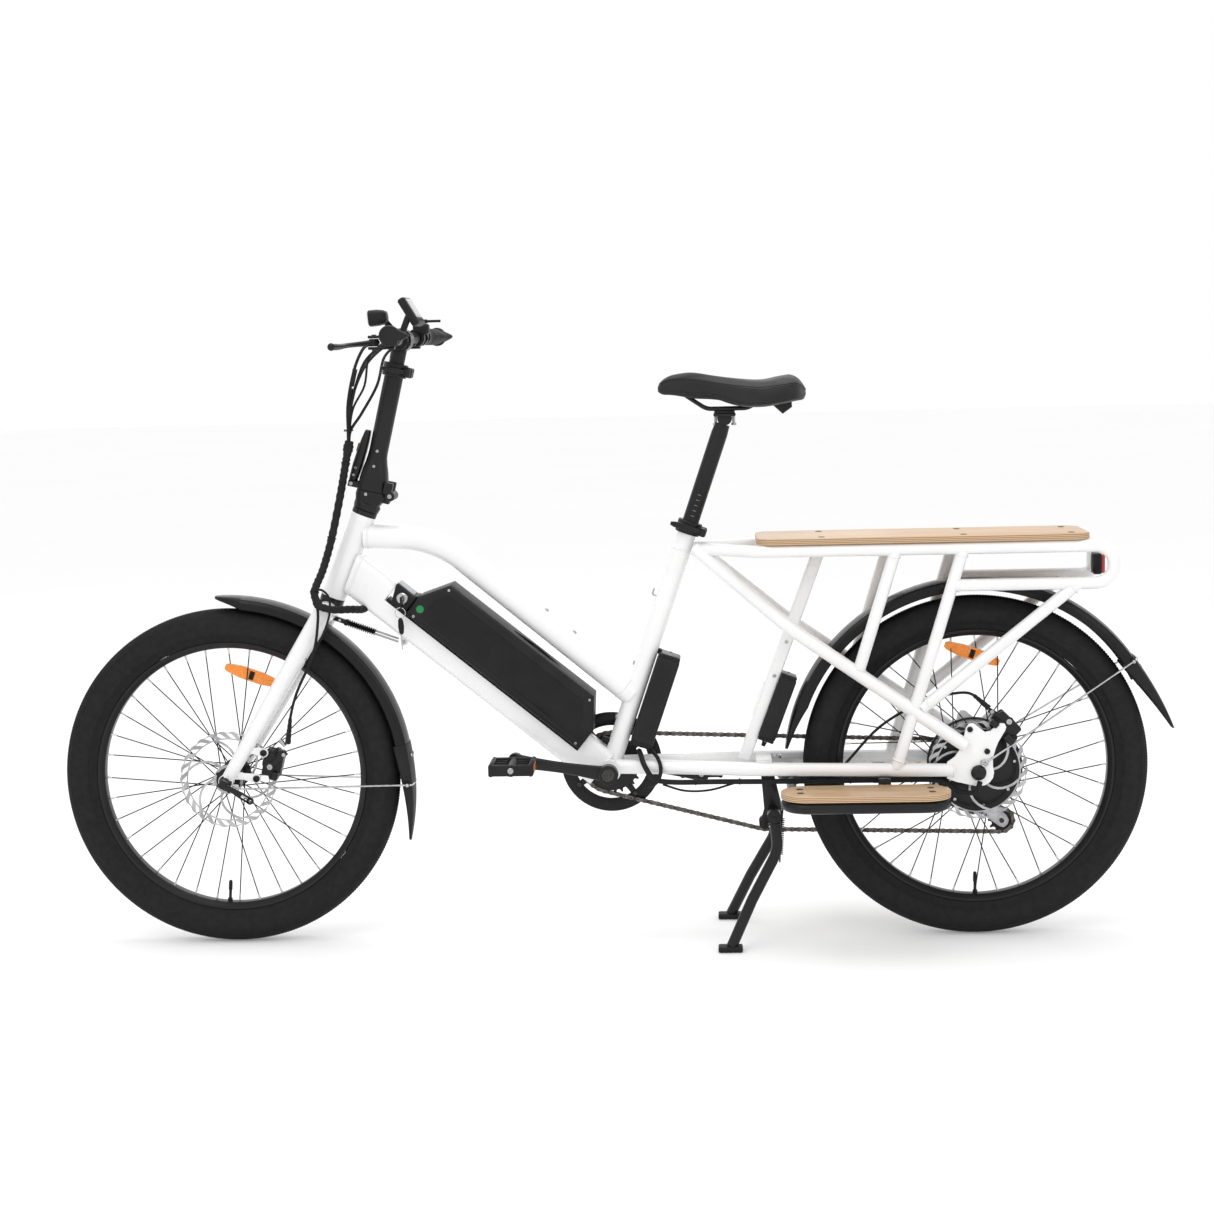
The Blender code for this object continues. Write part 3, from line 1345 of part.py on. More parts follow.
def make_rear_light():
    return block(at(1.5900, 0, 0.6800), (0.022, 0.058, 0.038), bevel=0.005)


def make_steering_spring():
    """The centring spring between the fork crown and the down tube, with its end eyes."""
    start, end = at(0.2225, 0, 0.5958), at(0.3200, 0, 0.5600)
    line = (end - start).normalized()
    rise = line.cross(SIDEWAYS)
    turns, per_turn, radius = 5, 5, 0.0062
    path = []
    length = (end - start).length
    for i in range(turns * per_turn + 1):
        angle = 2 * math.pi * i / per_turn
        along = 0.010 + (length - 0.030) * i / (turns * per_turn)
        around = SIDEWAYS * math.cos(angle) + rise * math.sin(angle)
        path.append(start + line * along + around * radius)
    coil = tube(path, 0.0013, resolution=0)
    return union(coil, rod(start, end, 0.0054, sides=6))


def make_handlebar_cables():
    """The housings that leave the levers and the display and run down to one tie."""
    routes = [
        [
            (-0.030, -0.150, -0.006),
            (-0.052, -0.112, -0.014),
            (-0.076, -0.070, -0.050),
            (-0.093, -0.050, -0.110),
            (-0.0965, -0.040, -0.160),
        ],
        [
            (-0.030, 0.150, -0.006),
            (-0.052, 0.108, -0.014),
            (-0.078, 0.045, -0.050),
            (-0.095, -0.005, -0.110),
            (-0.0965, -0.022, -0.160),
        ],
        [
            (-0.030, -0.060, -0.012),
            (-0.062, -0.050, -0.040),
            (-0.086, -0.036, -0.100),
            (-0.0965, -0.031, -0.158),
        ],
    ]
    tie = bar_centre() + Vector((-0.0965, 0, -0.162))
    bundle = cross_rod(tie, -0.044, -0.0165, 0.0075, 12)
    for route in routes:
        path = smooth_path([bar_centre() + Vector(place) for place in route], 2)
        union(bundle, tube(path, 0.0032, resolution=1))
    return bundle


def make_steering_cables():
    """The sleeved loom in front of the head tube and the front brake cable."""
    loom = [
        at(0.2460, -0.030, 0.9300),
        at(0.2380, -0.032, 0.8900),
        at(0.2270, -0.034, 0.8350),
        at(0.2080, -0.036, 0.7550),
        at(0.1940, -0.046, 0.7000),
        at(0.1800, -0.066, 0.6600),
        at(0.1880, -0.081, 0.6360),
        at(0.2120, -0.084, 0.6300),
    ]
    brake = [
        at(0.1800, -0.0720, 0.6500),
        at(0.1860, -0.0850, 0.6150),
        at(0.1750, -0.086, 0.5500),
        at(0.1420, -0.084, 0.4800),
        at(0.1260, -0.076, 0.4300),
        at(0.1180, -0.0665, 0.3820),
    ]
    sleeve = tube(smooth_path(loom, 2), 0.0070)
    return union(sleeve, tube(smooth_path(brake, 2), 0.0026, resolution=1))


def make_rear_cables():
    """The motor lead and the rear brake cable, from the controller back along the left chainstay."""
    lead = [
        at(0.7570, -0.014, 0.3500),
        at(0.7600, -0.034, 0.3480),
        at(0.7680, -0.050, 0.3280),
        at(0.7850, -0.053, 0.3050),
        at(0.8200, -0.051, 0.2980),
        at(0.9000, -0.052, 0.2980),
        at(0.9750, -0.0560, 0.2980),
        at(1.1000, -0.0580, 0.2980),
        at(1.2200, -0.0585, 0.2980),
        at(1.3000, -0.0600, 0.2960),
        at(1.3350, -0.0680, 0.2760),
        at(1.3620, -0.0840, 0.2800),
        at(1.3690, -0.0890, 0.2980),
    ]
    brake = [
        at(1.0900, -0.0550, 0.2960),
        at(1.1250, -0.0470, 0.3200),
        at(1.1950, -0.0500, 0.3950),
        at(1.2750, -0.0540, 0.4400),
        at(1.3450, -0.0600, 0.4560),
        at(1.3770, -0.0700, 0.4400),
    ]
    wire = tube(smooth_path(lead, 2), 0.0050)
    return union(wire, tube(smooth_path(brake, 2), 0.0026, resolution=1))


# ---------------------------------------------------------------- assembly
def make_structure():
    make_frame()
    make_front_wheel()
    make_rear_wheel()
    make_cassette()


def make_equipment():
    front_guard, rear_guard = make_mudguards()
    finish(front_guard, "front_mudguard", "black_plastic")
    finish(rear_guard, "rear_mudguard", "black_plastic")
    finish(make_deck_board(), "deck_board", "plywood")
    footboard = make_footboard()
    finish(mirrored(footboard), "footboard_left", "plywood")
    finish(footboard, "footboard_right", "plywood")
    finish(make_footboard_frame(), "footboard_frame", "black_paint")
    finish(make_controller(), "motor_controller", "black_plastic")
    finish(make_converter(), "power_converter", "black_plastic")
    make_battery()
    make_battery_cradle()
    make_battery_key()
    finish(make_rear_light(), "rear_light", "red_lens")
    finish(make_kickstand(), "kickstand", "black_paint", KICKSTAND_PIVOT)
    finish(make_steering_spring(), "steering_spring", "black_paint")


def make_controls():
    finish(make_fork(), "fork", "white_paint", HEAD_CENTRE)
    finish(make_front_caliper(), "front_caliper", "black_paint")
    finish(make_rear_caliper(), "rear_caliper", "black_paint")
    front_arm, rear_arm = make_caliper_arms()
    finish(front_arm, "front_caliper_arm", "dark_steel", FRONT_ARM_PIVOT)
    finish(rear_arm, "rear_caliper_arm", "dark_steel", REAR_ARM_PIVOT)
    finish(make_quick_release(), "front_quick_release", "black_paint", QUICK_RELEASE)
    finish(make_handlepost_base(), "handlepost_base", "black_anodised")
    finish(make_handlepost(), "handlepost", "black_anodised", FOLD_PIVOT)
    finish(make_handlepost_latch(), "handlepost_latch", "black_paint", LATCH_PIVOT)
    finish(make_handlebar_stem(), "handlebar_stem", "black_anodised")
    bar = make_shifter_pod(make_brake_mounts(make_handlebar()))
    finish(bar, "handlebar", "black_anodised")
    grip = cut(make_grip(), tube(bar_path(HANDLE_HALF - 0.004 + GAP), BAR_RADIUS + GAP))
    finish(mirrored(grip), "grip_left", "rubber")
    finish(grip, "grip_right", "rubber")
    finish(make_brake_lever(-1), "brake_lever_left", "black_paint", brake_lever_pivot(-1))
    finish(make_brake_lever(1), "brake_lever_right", "black_paint", brake_lever_pivot(1))
    finish(make_display(), "display", "black_plastic")
    finish(make_headlight(), "headlight", "black_plastic")
    finish(make_shifter_lever(), "shifter_lever", "black_plastic", shifter_pivot())
    finish(make_stem_clamp_lever(), "stem_clamp_lever", "black_paint", stem_clamp_pivot())
    finish(make_handlebar_cables(), "handlebar_cables", "rubber")
    finish(make_steering_cables(), "steering_cables", "rubber")
    finish(make_rear_cables(), "rear_cables", "rubber")


def make_seat_and_drive():
    finish(make_seat_collar(), "seat_collar", "black_anodised")
    finish(make_seat_collar_lever(), "seat_collar_lever", "black_anodised", seat_lever_pivot())
    finish(make_seatpost(), "seatpost", "black_anodised")
    finish(make_saddle(), "saddle", "saddle_vinyl")
    finish(make_crankset(), "crankset", "black_paint", CRANK_AXIS)
    finish(make_pedal(-1), "pedal_left", "black_plastic", pedal_centre(-1))
    finish(make_pedal(1), "pedal_right", "black_plastic", pedal_centre(1))
    finish(make_chain(), "chain", "dark_steel")
    finish(make_pulley(UPPER_PULLEY), "upper_pulley", "black_plastic", UPPER_PULLEY)
    finish(make_pulley(LOWER_PULLEY), "lower_pulley", "black_plastic", LOWER_PULLEY)
    finish(make_derailleur(), "derailleur", "steel")


def main():
    clear_scene()
    bike = bpy.data.collections.new("cargo_bicycle")
    bpy.context.scene.collection.children.link(bike)
    for name in PAINTS:
        make_material(name)
    make_structure()
    make_equipment()
    make_controls()
    make_seat_and_drive()


main()
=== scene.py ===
"""Looks of the long-tail cargo bicycle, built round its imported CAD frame.

The frame of reference is the CAD's own: the bicycle faces -X, its left side is -Y and +Z is up, in
metres. A place along the bicycle is given as its distance behind the front axle.
"""

import math

import bmesh
import bpy
from mathutils import Matrix, Vector


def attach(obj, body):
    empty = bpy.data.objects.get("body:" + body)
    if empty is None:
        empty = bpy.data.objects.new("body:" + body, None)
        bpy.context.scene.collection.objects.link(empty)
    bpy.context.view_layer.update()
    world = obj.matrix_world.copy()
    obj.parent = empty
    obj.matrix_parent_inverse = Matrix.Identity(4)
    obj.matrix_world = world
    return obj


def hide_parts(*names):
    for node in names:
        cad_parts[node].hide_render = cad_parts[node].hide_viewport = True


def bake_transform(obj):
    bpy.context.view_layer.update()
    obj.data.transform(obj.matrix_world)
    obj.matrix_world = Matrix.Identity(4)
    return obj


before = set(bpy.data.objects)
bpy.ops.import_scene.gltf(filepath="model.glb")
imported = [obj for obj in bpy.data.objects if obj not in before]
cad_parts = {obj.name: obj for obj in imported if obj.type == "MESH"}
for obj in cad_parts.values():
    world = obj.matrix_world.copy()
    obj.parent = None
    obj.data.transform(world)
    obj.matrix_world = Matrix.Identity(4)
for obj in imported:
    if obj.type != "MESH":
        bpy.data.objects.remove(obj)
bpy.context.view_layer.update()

# ---------------------------------------------------------------- dimensions shared with the CAD
FRONT_AXLE_X = -0.708
WHEELBASE = 1.369
WHEEL_RADIUS = 0.313
SADDLE_SWELL = 0.0030
SWELL_PRESSURE = 4.0
SWELL_STEPS = 12
TYRE_HALF_WIDTH = 0.030
RIM_OUTER = 0.2522
RIM_INNER = 0.2395
RIM_HALF_WIDTH = 0.0175
SPOKES = 36
HEAD_ANGLE = math.radians(67.5)
HEAD_TUBE_HALF = 0.082
SEAT_ANGLE = math.radians(70.8)
SEAT_TUBE_LENGTH = 0.476
SEATPOST_TOP = 0.676
DOWN_TUBE_ANGLE = math.radians(-39.5)
RAIL_UP = 0.718
RAIL_SIDE = 0.078
RAIL_RADIUS = 0.011
RAIL_LOOP = 0.033
RAIL_END = 1.574
CHAIN_SIDE = 0.052
CHAINRING_PITCH = 0.0566
COG_PITCH = 0.0364
PULLEY_PITCH = 0.0222
CRANK_LENGTH = 0.170
CRANK_RISE = math.radians(10)
HANDLE_HALF = 0.322
BAR_BEND = 0.195
GRIP_INNER = 0.196
POST_TOP = 0.214
BAR_LEVEL = 0.279
BATTERY_START = 0.1255
BATTERY_END = 0.5265
BATTERY_HALF_WIDTH = 0.041
CHAIN_LINK = 0.0127


def at(behind, side, up):
    """The place this far behind the front axle, to the right of the middle plane and above ground."""
    return Vector((FRONT_AXLE_X + behind, side, up))


SIDEWAYS = Vector((0, 1, 0))
UPWARDS = Vector((0, 0, 1))
FRONT_AXLE = at(0, 0, WHEEL_RADIUS)
REAR_AXLE = at(WHEELBASE, 0, WHEEL_RADIUS)
CRANK_AXIS = at(0.702, 0, 0.317)
HEAD_CENTRE = at(0.2315, 0, 0.719)
STEERING = Vector((math.cos(HEAD_ANGLE), 0, math.sin(HEAD_ANGLE)))
SEAT_LINE = Vector((math.cos(SEAT_ANGLE), 0, math.sin(SEAT_ANGLE)))
SEAT_REAR = Vector((SEAT_LINE.z, 0, -SEAT_LINE.x))
POST_LINE = Vector((0.2365, 0, 0.9716)).normalized()
POST_REAR = Vector((POST_LINE.z, 0, -POST_LINE.x))
FOLD_PIVOT = at(0.3145, 0, 0.8270)
POST_FOOT = at(0.2765, 0, 0.8375)
LATCH_PIVOT = at(0.2430, 0, 0.8520)
QUICK_RELEASE = at(0, -0.0885, WHEEL_RADIUS)
KICKSTAND_PIVOT = at(1.001, 0, 0.236)
UPPER_PULLEY = at(1.372, CHAIN_SIDE, 0.2350)
LOWER_PULLEY = at(1.424, CHAIN_SIDE, 0.1980)
CHAIN_GUIDE = at(0.985, 0, 0.2020)
FRONT_ARM_PIVOT = at(0.0830, 0, 0.3400)
REAR_ARM_PIVOT = at(1.4230, 0, 0.4040)
BAR_CENTRE = POST_FOOT + POST_LINE * BAR_LEVEL


# ---------------------------------------------------------------- materials
def new_material(name, colour, roughness, metallic=0.0, coat=0.0, sheen=0.0, specular=0.5):
    material = bpy.data.materials.new(name)
    material.use_nodes = True
    shader = material.node_tree.nodes["Principled BSDF"]
    shader.inputs["Base Color"].default_value = (*colour, 1)
    shader.inputs["Roughness"].default_value = roughness
    shader.inputs["Metallic"].default_value = metallic
    shader.inputs["Coat Weight"].default_value = coat
    shader.inputs["Coat Roughness"].default_value = 0.12
    shader.inputs["Sheen Weight"].default_value = sheen
    shader.inputs["Specular IOR Level"].default_value = specular
    return material


def add_node(material, kind, **settings):
    node = material.node_tree.nodes.new(kind)
    for key, value in settings.items():
        if key in node.inputs:
            node.inputs[key].default_value = value
        else:
            setattr(node, key, value)
    return node


def wire(material, source, output, target, entry):
    material.node_tree.links.new(source.outputs[output], target.inputs[entry])


def shader_of(material):
    return material.node_tree.nodes["Principled BSDF"]


def place_texture(material, scale=(1, 1, 1)):
    """The piece's own coordinates, stretched by a scale along each axis."""
    coords = add_node(material, "ShaderNodeTexCoord")
    mapping = add_node(material, "ShaderNodeMapping")
    mapping.inputs["Scale"].default_value = scale
    wire(material, coords, "Object", mapping, "Vector")
    return mapping


def noise_of(material, mapping, scale, detail=3.0, roughness=0.5):
    node = add_node(material, "ShaderNodeTexNoise", Scale=scale, Detail=detail, Roughness=roughness)
    wire(material, mapping, "Vector", node, "Vector")
    return node


def vary_colour(material, texture, dark, light, low=0.35, high=0.65):
    """Drives the colour between two tones with a texture."""
    ramp = add_node(material, "ShaderNodeValToRGB")
    ramp.color_ramp.elements[0].position = low
    ramp.color_ramp.elements[1].position = high
    ramp.color_ramp.elements[0].color = (*dark, 1)
    ramp.color_ramp.elements[1].color = (*light, 1)
    wire(material, texture, "Fac" if "Fac" in texture.outputs else "Value", ramp, "Fac")
    wire(material, ramp, "Color", shader_of(material), "Base Color")
    return ramp


def vary_roughness(material, texture, low, high):
    spread = add_node(material, "ShaderNodeMapRange")
    spread.inputs["To Min"].default_value = low
    spread.inputs["To Max"].default_value = high
    wire(material, texture, "Fac", spread, "Value")
    wire(material, spread, "Result", shader_of(material), "Roughness")


def add_bump(material, height, strength, distance, output="Fac", after=None):
    """Adds a bump from a texture, on top of an earlier bump if there is one."""
    bump = add_node(material, "ShaderNodeBump", Strength=strength, Distance=distance)
    wire(material, height, output, bump, "Height")
    if after is not None:
        wire(material, after, "Normal", bump, "Normal")
    wire(material, bump, "Normal", shader_of(material), "Normal")
    return bump


def gloss_paint(name, dark, light, roughness, coat, specular=0.5):
    """Sprayed paint: a clear coat over faint orange peel and a little unevenness in tone."""
    material = new_material(name, light, roughness, coat=coat, specular=specular)
    mapping = place_texture(material)
    vary_colour(material, noise_of(material, mapping, 9.0), dark, light)
    vary_roughness(material, noise_of(material, mapping, 30.0), roughness - 0.05, roughness + 0.08)
    add_bump(material, noise_of(material, mapping, 420.0, 2.0), 0.06, 0.0006)
    return material


def moulded_plastic(name, dark, light, roughness, grain=900.0, strength=0.25, specular=0.22):
    """Moulded plastic with a fine spark-eroded grain."""
    material = new_material(name, light, roughness, specular=specular)
    mapping = place_texture(material)
    vary_colour(material, noise_of(material, mapping, 25.0), dark, light)
    vary_roughness(material, noise_of(material, mapping, 60.0), roughness - 0.07, roughness + 0.1)
    add_bump(material, noise_of(material, mapping, grain, 2.0), strength, 0.0004)
    return material


def brushed_metal(name, dark, light, roughness, stretch=(40, 900, 40)):
    """Bare metal with fine drawn scratches."""
    material = new_material(name, light, roughness, metallic=1.0)
    mapping = place_texture(material, stretch)
    scratches = noise_of(material, mapping, 1.0, 4.0)
    vary_colour(material, scratches, dark, light, 0.3, 0.7)
    vary_roughness(material, scratches, roughness - 0.08, roughness + 0.12)
    add_bump(material, scratches, 0.12, 0.0003)
    return material


def rubber_material(name, dark, light, roughness, knobs=0.0):
    """Rubber, with a knurl of small cells where the hand holds it."""
    material = new_material(name, light, roughness, specular=0.2)
    mapping = place_texture(material)
    vary_colour(material, noise_of(material, mapping, 30.0), dark, light)
    vary_roughness(material, noise_of(material, mapping, 80.0), roughness - 0.08, roughness + 0.06)
    fine = add_bump(material, noise_of(material, mapping, 1500.0, 2.0), 0.3, 0.0003)
    if knobs:
        cells = add_node(material, "ShaderNodeTexVoronoi", Scale=knobs)
        wire(material, mapping, "Vector", cells, "Vector")
        add_bump(material, cells, 0.5, 0.0012, "Distance", fine)
    return material


def leather_material():
    """Grained black vinyl with a soft sheen."""
    material = new_material("saddle_vinyl", (0.012, 0.012, 0.013), 0.46, sheen=0.04, specular=0.25)
    mapping = place_texture(material)
    vary_colour(material, noise_of(material, mapping, 14.0), (0.010, 0.010, 0.011), (0.015, 0.015, 0.016))
    cells = add_node(material, "ShaderNodeTexVoronoi", Scale=420.0)
    wire(material, mapping, "Vector", cells, "Vector")
    grain = add_bump(material, cells, 0.45, 0.0006, "Distance")
    add_bump(material, noise_of(material, mapping, 900.0), 0.2, 0.0003, after=grain)
    vary_roughness(material, noise_of(material, mapping, 50.0), 0.38, 0.58)
    return material


def plywood_face():
    """Birch veneer: long faint grain lines, broad tone bands and a few small specks."""
    material = new_material("plywood_face", (0.56, 0.37, 0.20), 0.42, coat=0.2)
    along = place_texture(material, (2.2, 60, 60))
    grain = noise_of(material, along, 2.2, 8.0, 0.62)
    ramp = vary_colour(material, grain, (0.36, 0.215, 0.105), (0.62, 0.425, 0.245), 0.30, 0.68)
    middle = ramp.color_ramp.elements.new(0.5)
    middle.color = (0.52, 0.335, 0.18, 1)
    vary_roughness(material, grain, 0.34, 0.52)
    add_bump(material, grain, 0.15, 0.0005)
    return material


def plywood_edge():
    """The sawn edge of the board, where light and dark plies alternate."""
    material = new_material("plywood_edge", (0.50, 0.34, 0.20), 0.62)
    across = place_texture(material, (6, 6, 1))
    plies = add_node(material, "ShaderNodeTexWave", wave_type="BANDS", bands_direction="Z")
    plies.inputs["Scale"].default_value = 105.0
    plies.inputs["Distortion"].default_value = 0.9
    wire(material, across, "Vector", plies, "Vector")
    vary_colour(material, plies, (0.26, 0.155, 0.085), (0.62, 0.44, 0.27), 0.25, 0.75)
    fibres = place_texture(material, (260, 260, 40))
    add_bump(material, noise_of(material, fibres, 3.0, 4.0), 0.35, 0.0005)
    return material


def tyre_material():
    """Tyre rubber: nearly black, with a fine moulded grain."""
    material = new_material("tyre_rubber", (0.012, 0.012, 0.013), 0.66, specular=0.16)
    mapping = place_texture(material)
    vary_colour(material, noise_of(material, mapping, 90.0), (0.010, 0.010, 0.011), (0.014, 0.014, 0.015))
    vary_roughness(material, noise_of(material, mapping, 160.0), 0.58, 0.72)
    add_bump(material, noise_of(material, mapping, 1200.0, 2.0), 0.25, 0.0003)
    return material


def lens_material(name, dark, light, emission=0.0):
    """A moulded reflector or lamp lens with a grid of small prisms, and a faint emission: on a lamp lens it
    is the lamp's own light, on a reflector it is a painted glow standing in for reflected light.
    """
    material = new_material(name, light, 0.16, coat=0.6)
    shader = shader_of(material)
    # The emission makes the lens glow: lamp light on a lamp lens, painted glow on a reflector.
    shader.inputs["Emission Color"].default_value = (*light, 1)
    shader.inputs["Emission Strength"].default_value = emission
    mapping = place_texture(material)
    prisms = add_node(material, "ShaderNodeTexVoronoi", Scale=360.0)
    prisms.distance = "MANHATTAN"
    wire(material, mapping, "Vector", prisms, "Vector")
    ramp = add_node(material, "ShaderNodeValToRGB")
    ramp.color_ramp.elements[0].color = (*light, 1)
    ramp.color_ramp.elements[1].color = (*dark, 1)
    wire(material, prisms, "Distance", ramp, "Fac")
    wire(material, ramp, "Color", shader, "Base Color")
    add_bump(material, prisms, 0.6, 0.0008, "Distance")
    return material


WHITE = gloss_paint("white_paint", (0.80, 0.80, 0.80), (0.84, 0.84, 0.838), 0.24, 0.5)
BLACK_GLOSS = gloss_paint("black_paint", (0.006, 0.006, 0.007), (0.010, 0.010, 0.011), 0.34, 0.06, 0.25)
ANODISED = gloss_paint("black_anodised", (0.008, 0.008, 0.009), (0.012, 0.012, 0.013), 0.40, 0.03, 0.25)
PLASTIC = moulded_plastic("black_plastic", (0.009, 0.009, 0.010), (0.013, 0.013, 0.014), 0.46)
PLASTIC_SMOOTH = moulded_plastic("smooth_plastic", (0.006, 0.006, 0.007), (0.009, 0.009, 0.010), 0.28,
    500.0, 0.08)
GREY_PLASTIC = moulded_plastic("grey_plastic", (0.42, 0.43, 0.44), (0.55, 0.56, 0.57), 0.4)
RUBBER = rubber_material("rubber", (0.008, 0.008, 0.009), (0.012, 0.012, 0.013), 0.58)
GRIP_RUBBER = rubber_material("grip_rubber", (0.010, 0.010, 0.011), (0.016, 0.016, 0.017), 0.60, 300.0)
STEEL = brushed_metal("steel", (0.30, 0.30, 0.31), (0.52, 0.52, 0.53), 0.32)
BRIGHT_STEEL = brushed_metal("bright_steel", (0.42, 0.42, 0.43), (0.62, 0.62, 0.63), 0.24)
DARK_STEEL = brushed_metal("dark_steel", (0.03, 0.028, 0.026), (0.09, 0.086, 0.08), 0.40, (300, 300, 300))
CHAIN_STEEL = brushed_metal("chain_steel", (0.07, 0.062, 0.052), (0.19, 0.175, 0.155), 0.36,
    (300, 300, 300))
VINYL = leather_material()
WOOD = plywood_face()
WOOD_EDGE = plywood_edge()
# The amber reflectors' faint emission is painted glow: they are no lamps, so it stands in for the light they
# reflect.
AMBER = lens_material("amber_reflector", (0.80, 0.20, 0.004), (0.95, 0.33, 0.012), 0.04)
RED_LENS = lens_material("red_lens", (0.25, 0.002, 0.002), (0.55, 0.008, 0.006), 0.02)
CLEAR_LENS = lens_material("clear_lens", (0.55, 0.58, 0.60), (0.86, 0.88, 0.90))
SCREEN = moulded_plastic("screen", (0.006, 0.007, 0.008), (0.010, 0.011, 0.013), 0.10, 400.0, 0.02)
TYRE = tyre_material()
GREEN_DOT = moulded_plastic("green_dot", (0.01, 0.14, 0.035), (0.02, 0.22, 0.06), 0.4)
RED_PLASTIC = moulded_plastic("red_plastic", (0.30, 0.008, 0.008), (0.45, 0.015, 0.012), 0.35)

WHEEL_PAINTS = [BLACK_GLOSS, BRIGHT_STEEL, AMBER, RUBBER, STEEL]


# ---------------------------------------------------------------- building with bmesh
def merge(shape, part, paint):
    """Adds a finished part to a shape, in one of its materials."""
    bmesh.ops.recalc_face_normals(part, faces=part.faces)
    for face in part.faces:
        face.material_index = paint
    mesh = bpy.data.meshes.new("part")
    part.to_mesh(mesh)
    part.free()
    shape.from_mesh(mesh)
    bpy.data.meshes.remove(mesh)


def add_rings(shape, rings, paint=0, loop=False):
    """Skins rings of points that each have as many points, and caps both ends unless they loop."""
    part = bmesh.new()
    rows = [[part.verts.new(point) for point in ring] for ring in rings]
    pairs = list(zip(rows, rows[1:]))
    if loop:
        pairs.append((rows[-1], rows[0]))
    for row_a, row_b in pairs:
        for i in range(len(row_a)):
            j = (i + 1) % len(row_a)
            part.faces.new((row_a[i], row_a[j], row_b[j], row_b[i]))
    if not loop:
        part.faces.new(rows[0])
        part.faces.new(rows[-1])
    merge(shape, part, paint)


def frames_along(path, closed):
    """For each point of a path, two directions across it that don't twist along the way."""
    count = len(path)
    across = []
    previous = None
    for i, place in enumerate(path):
        before = path[i - 1] if i > 0 or closed else place
        after = path[(i + 1) % count] if i < count - 1 or closed else place
        along = (after - before).normalized()
        if previous is None:
            previous = SIDEWAYS if abs(along.y) < 0.9 else UPWARDS
        side = (previous - along * previous.dot(along)).normalized()
        across.append((side, along.cross(side)))
        previous = side
    return across


def add_tube(shape, path, radius, paint=0, sides=20, closed=False, flatten=1.0):
    """A bar along a path. The radius may be a list with one value per point."""
    path = [Vector(place) for place in path]
    radii = radius if isinstance(radius, list) else [radius] * len(path)
    rings = []
    for place, (side, rise), size in zip(path, frames_along(path, closed), radii):
        ring = []
        for i in range(sides):
            angle = 2 * math.pi * i / sides
            ring.append(place + side * size * math.cos(angle) + rise * size * flatten * math.sin(angle))
        rings.append(ring)
    add_rings(shape, rings, paint, closed)


def add_rod(shape, start, end, radius, end_radius=None, paint=0, sides=20):
    last = radius if end_radius is None else end_radius
    add_tube(shape, [Vector(start), Vector(end)], [radius, last], paint, sides)


def add_cross_rod(shape, centre, left, right, radius, paint=0, sides=24):
    """A round bar across the bicycle, from one side place to another, with eased ends."""
    ease = min(0.0008, radius * 0.15, abs(right - left) * 0.2)
    step = ease if right > left else -ease
    middle = Vector((centre[0], 0, centre[2]))
    places = [middle + SIDEWAYS * y for y in (left, left + step, right - step, right)]
    add_tube(shape, places, [radius - ease, radius, radius, radius - ease], paint, sides)


def add_lathe(shape, profile, centre, axis=SIDEWAYS, steps=48, paint=0, closed=True):
    """A turned part. Its profile is a list of (radius, distance along the axis)."""
    axis = Vector(axis).normalized()
    side = axis.orthogonal().normalized()
    rise = axis.cross(side)
    rings = []
    for radius, along in profile:
        ring = []
        for i in range(steps):
            angle = 2 * math.pi * i / steps
            reach = (side * math.cos(angle) + rise * math.sin(angle)) * max(radius, 0.00002)
            ring.append(Vector(centre) + axis * along + reach)
        rings.append(ring)
    add_rings(shape, rings, paint, closed)


def add_block(shape, centre, size, direction=(1, 0, 0), bevel=0.001, paint=0, segments=2, across=None):
    """A box with eased edges. Its length runs along a direction, and its width is across the bicycle."""
    along = Vector(direction).normalized()
    side = Vector(across) if across is not None else SIDEWAYS
    side = (side - along * side.dot(along)).normalized()
    rise = along.cross(side)
    part = bmesh.new()
    bmesh.ops.create_cube(part, size=1)
    bmesh.ops.scale(part, vec=size, verts=part.verts)
    if bevel:
        bmesh.ops.bevel(
            part, geom=part.edges, offset=bevel, segments=segments, profile=0.5, affect="EDGES"
        )
    turn = Matrix((along, side, rise)).transposed().to_4x4()
    bmesh.ops.transform(part, matrix=Matrix.Translation(centre) @ turn, verts=part.verts)
    merge(shape, part, paint)


def add_plate(shape, outline, thickness, bevel=0.0006, paint=0, segments=2):
    """A plate: its outline is a loop of places in a plane, and its thickness is a vector."""
    part = bmesh.new()
    face = part.faces.new([part.verts.new(Vector(place)) for place in outline])
    made = bmesh.ops.extrude_face_region(part, geom=[face])
    moved = [item for item in made["geom"] if isinstance(item, bmesh.types.BMVert)]
    bmesh.ops.translate(part, vec=thickness, verts=moved)
    if bevel:
        flat = Vector(thickness).normalized()
        rims = [
            edge
            for edge in part.edges
            if abs((edge.verts[0].co - edge.verts[1].co).normalized().dot(flat)) < 0.5
        ]
        bmesh.ops.bevel(part, geom=rims, offset=bevel, segments=segments, profile=0.5, affect="EDGES")
    merge(shape, part, paint)


def add_side_plate(shape, outline, left, right, bevel=0.0006, paint=0):
    """A plate in a fore-and-aft plane, with its outline given as (behind, up) corners."""
    places = [at(behind, left, up) for behind, up in outline]
    add_plate(shape, places, SIDEWAYS * (right - left), bevel, paint)


def add_bolt(shape, centre, axis, radius, height=None, paint=0):
    """A cap screw with a six-sided socket in its head."""
    height = radius * 0.9 if height is None else height
    profile = [(radius, 0), (radius, height * 0.8), (radius * 0.86, height), (radius * 0.52, height)]
    add_lathe(shape, profile + [(radius * 0.50, height * 0.4)], centre, axis, 18, paint, closed=False)


def add_helix(shape, start, end, radius, wire_radius, turns, paint=0, per_turn=14):
    """A coil spring between two places."""
    start, end = Vector(start), Vector(end)
    line = (end - start).normalized()
    side = (SIDEWAYS - line * SIDEWAYS.dot(line)).normalized()
    rise = line.cross(side)
    path = []
    for i in range(turns * per_turn + 1):
        angle = 2 * math.pi * i / per_turn
        along = start.lerp(end, i / (turns * per_turn))
        path.append(along + (side * math.cos(angle) + rise * math.sin(angle)) * radius)
    add_tube(shape, path, wire_radius, paint, 6)


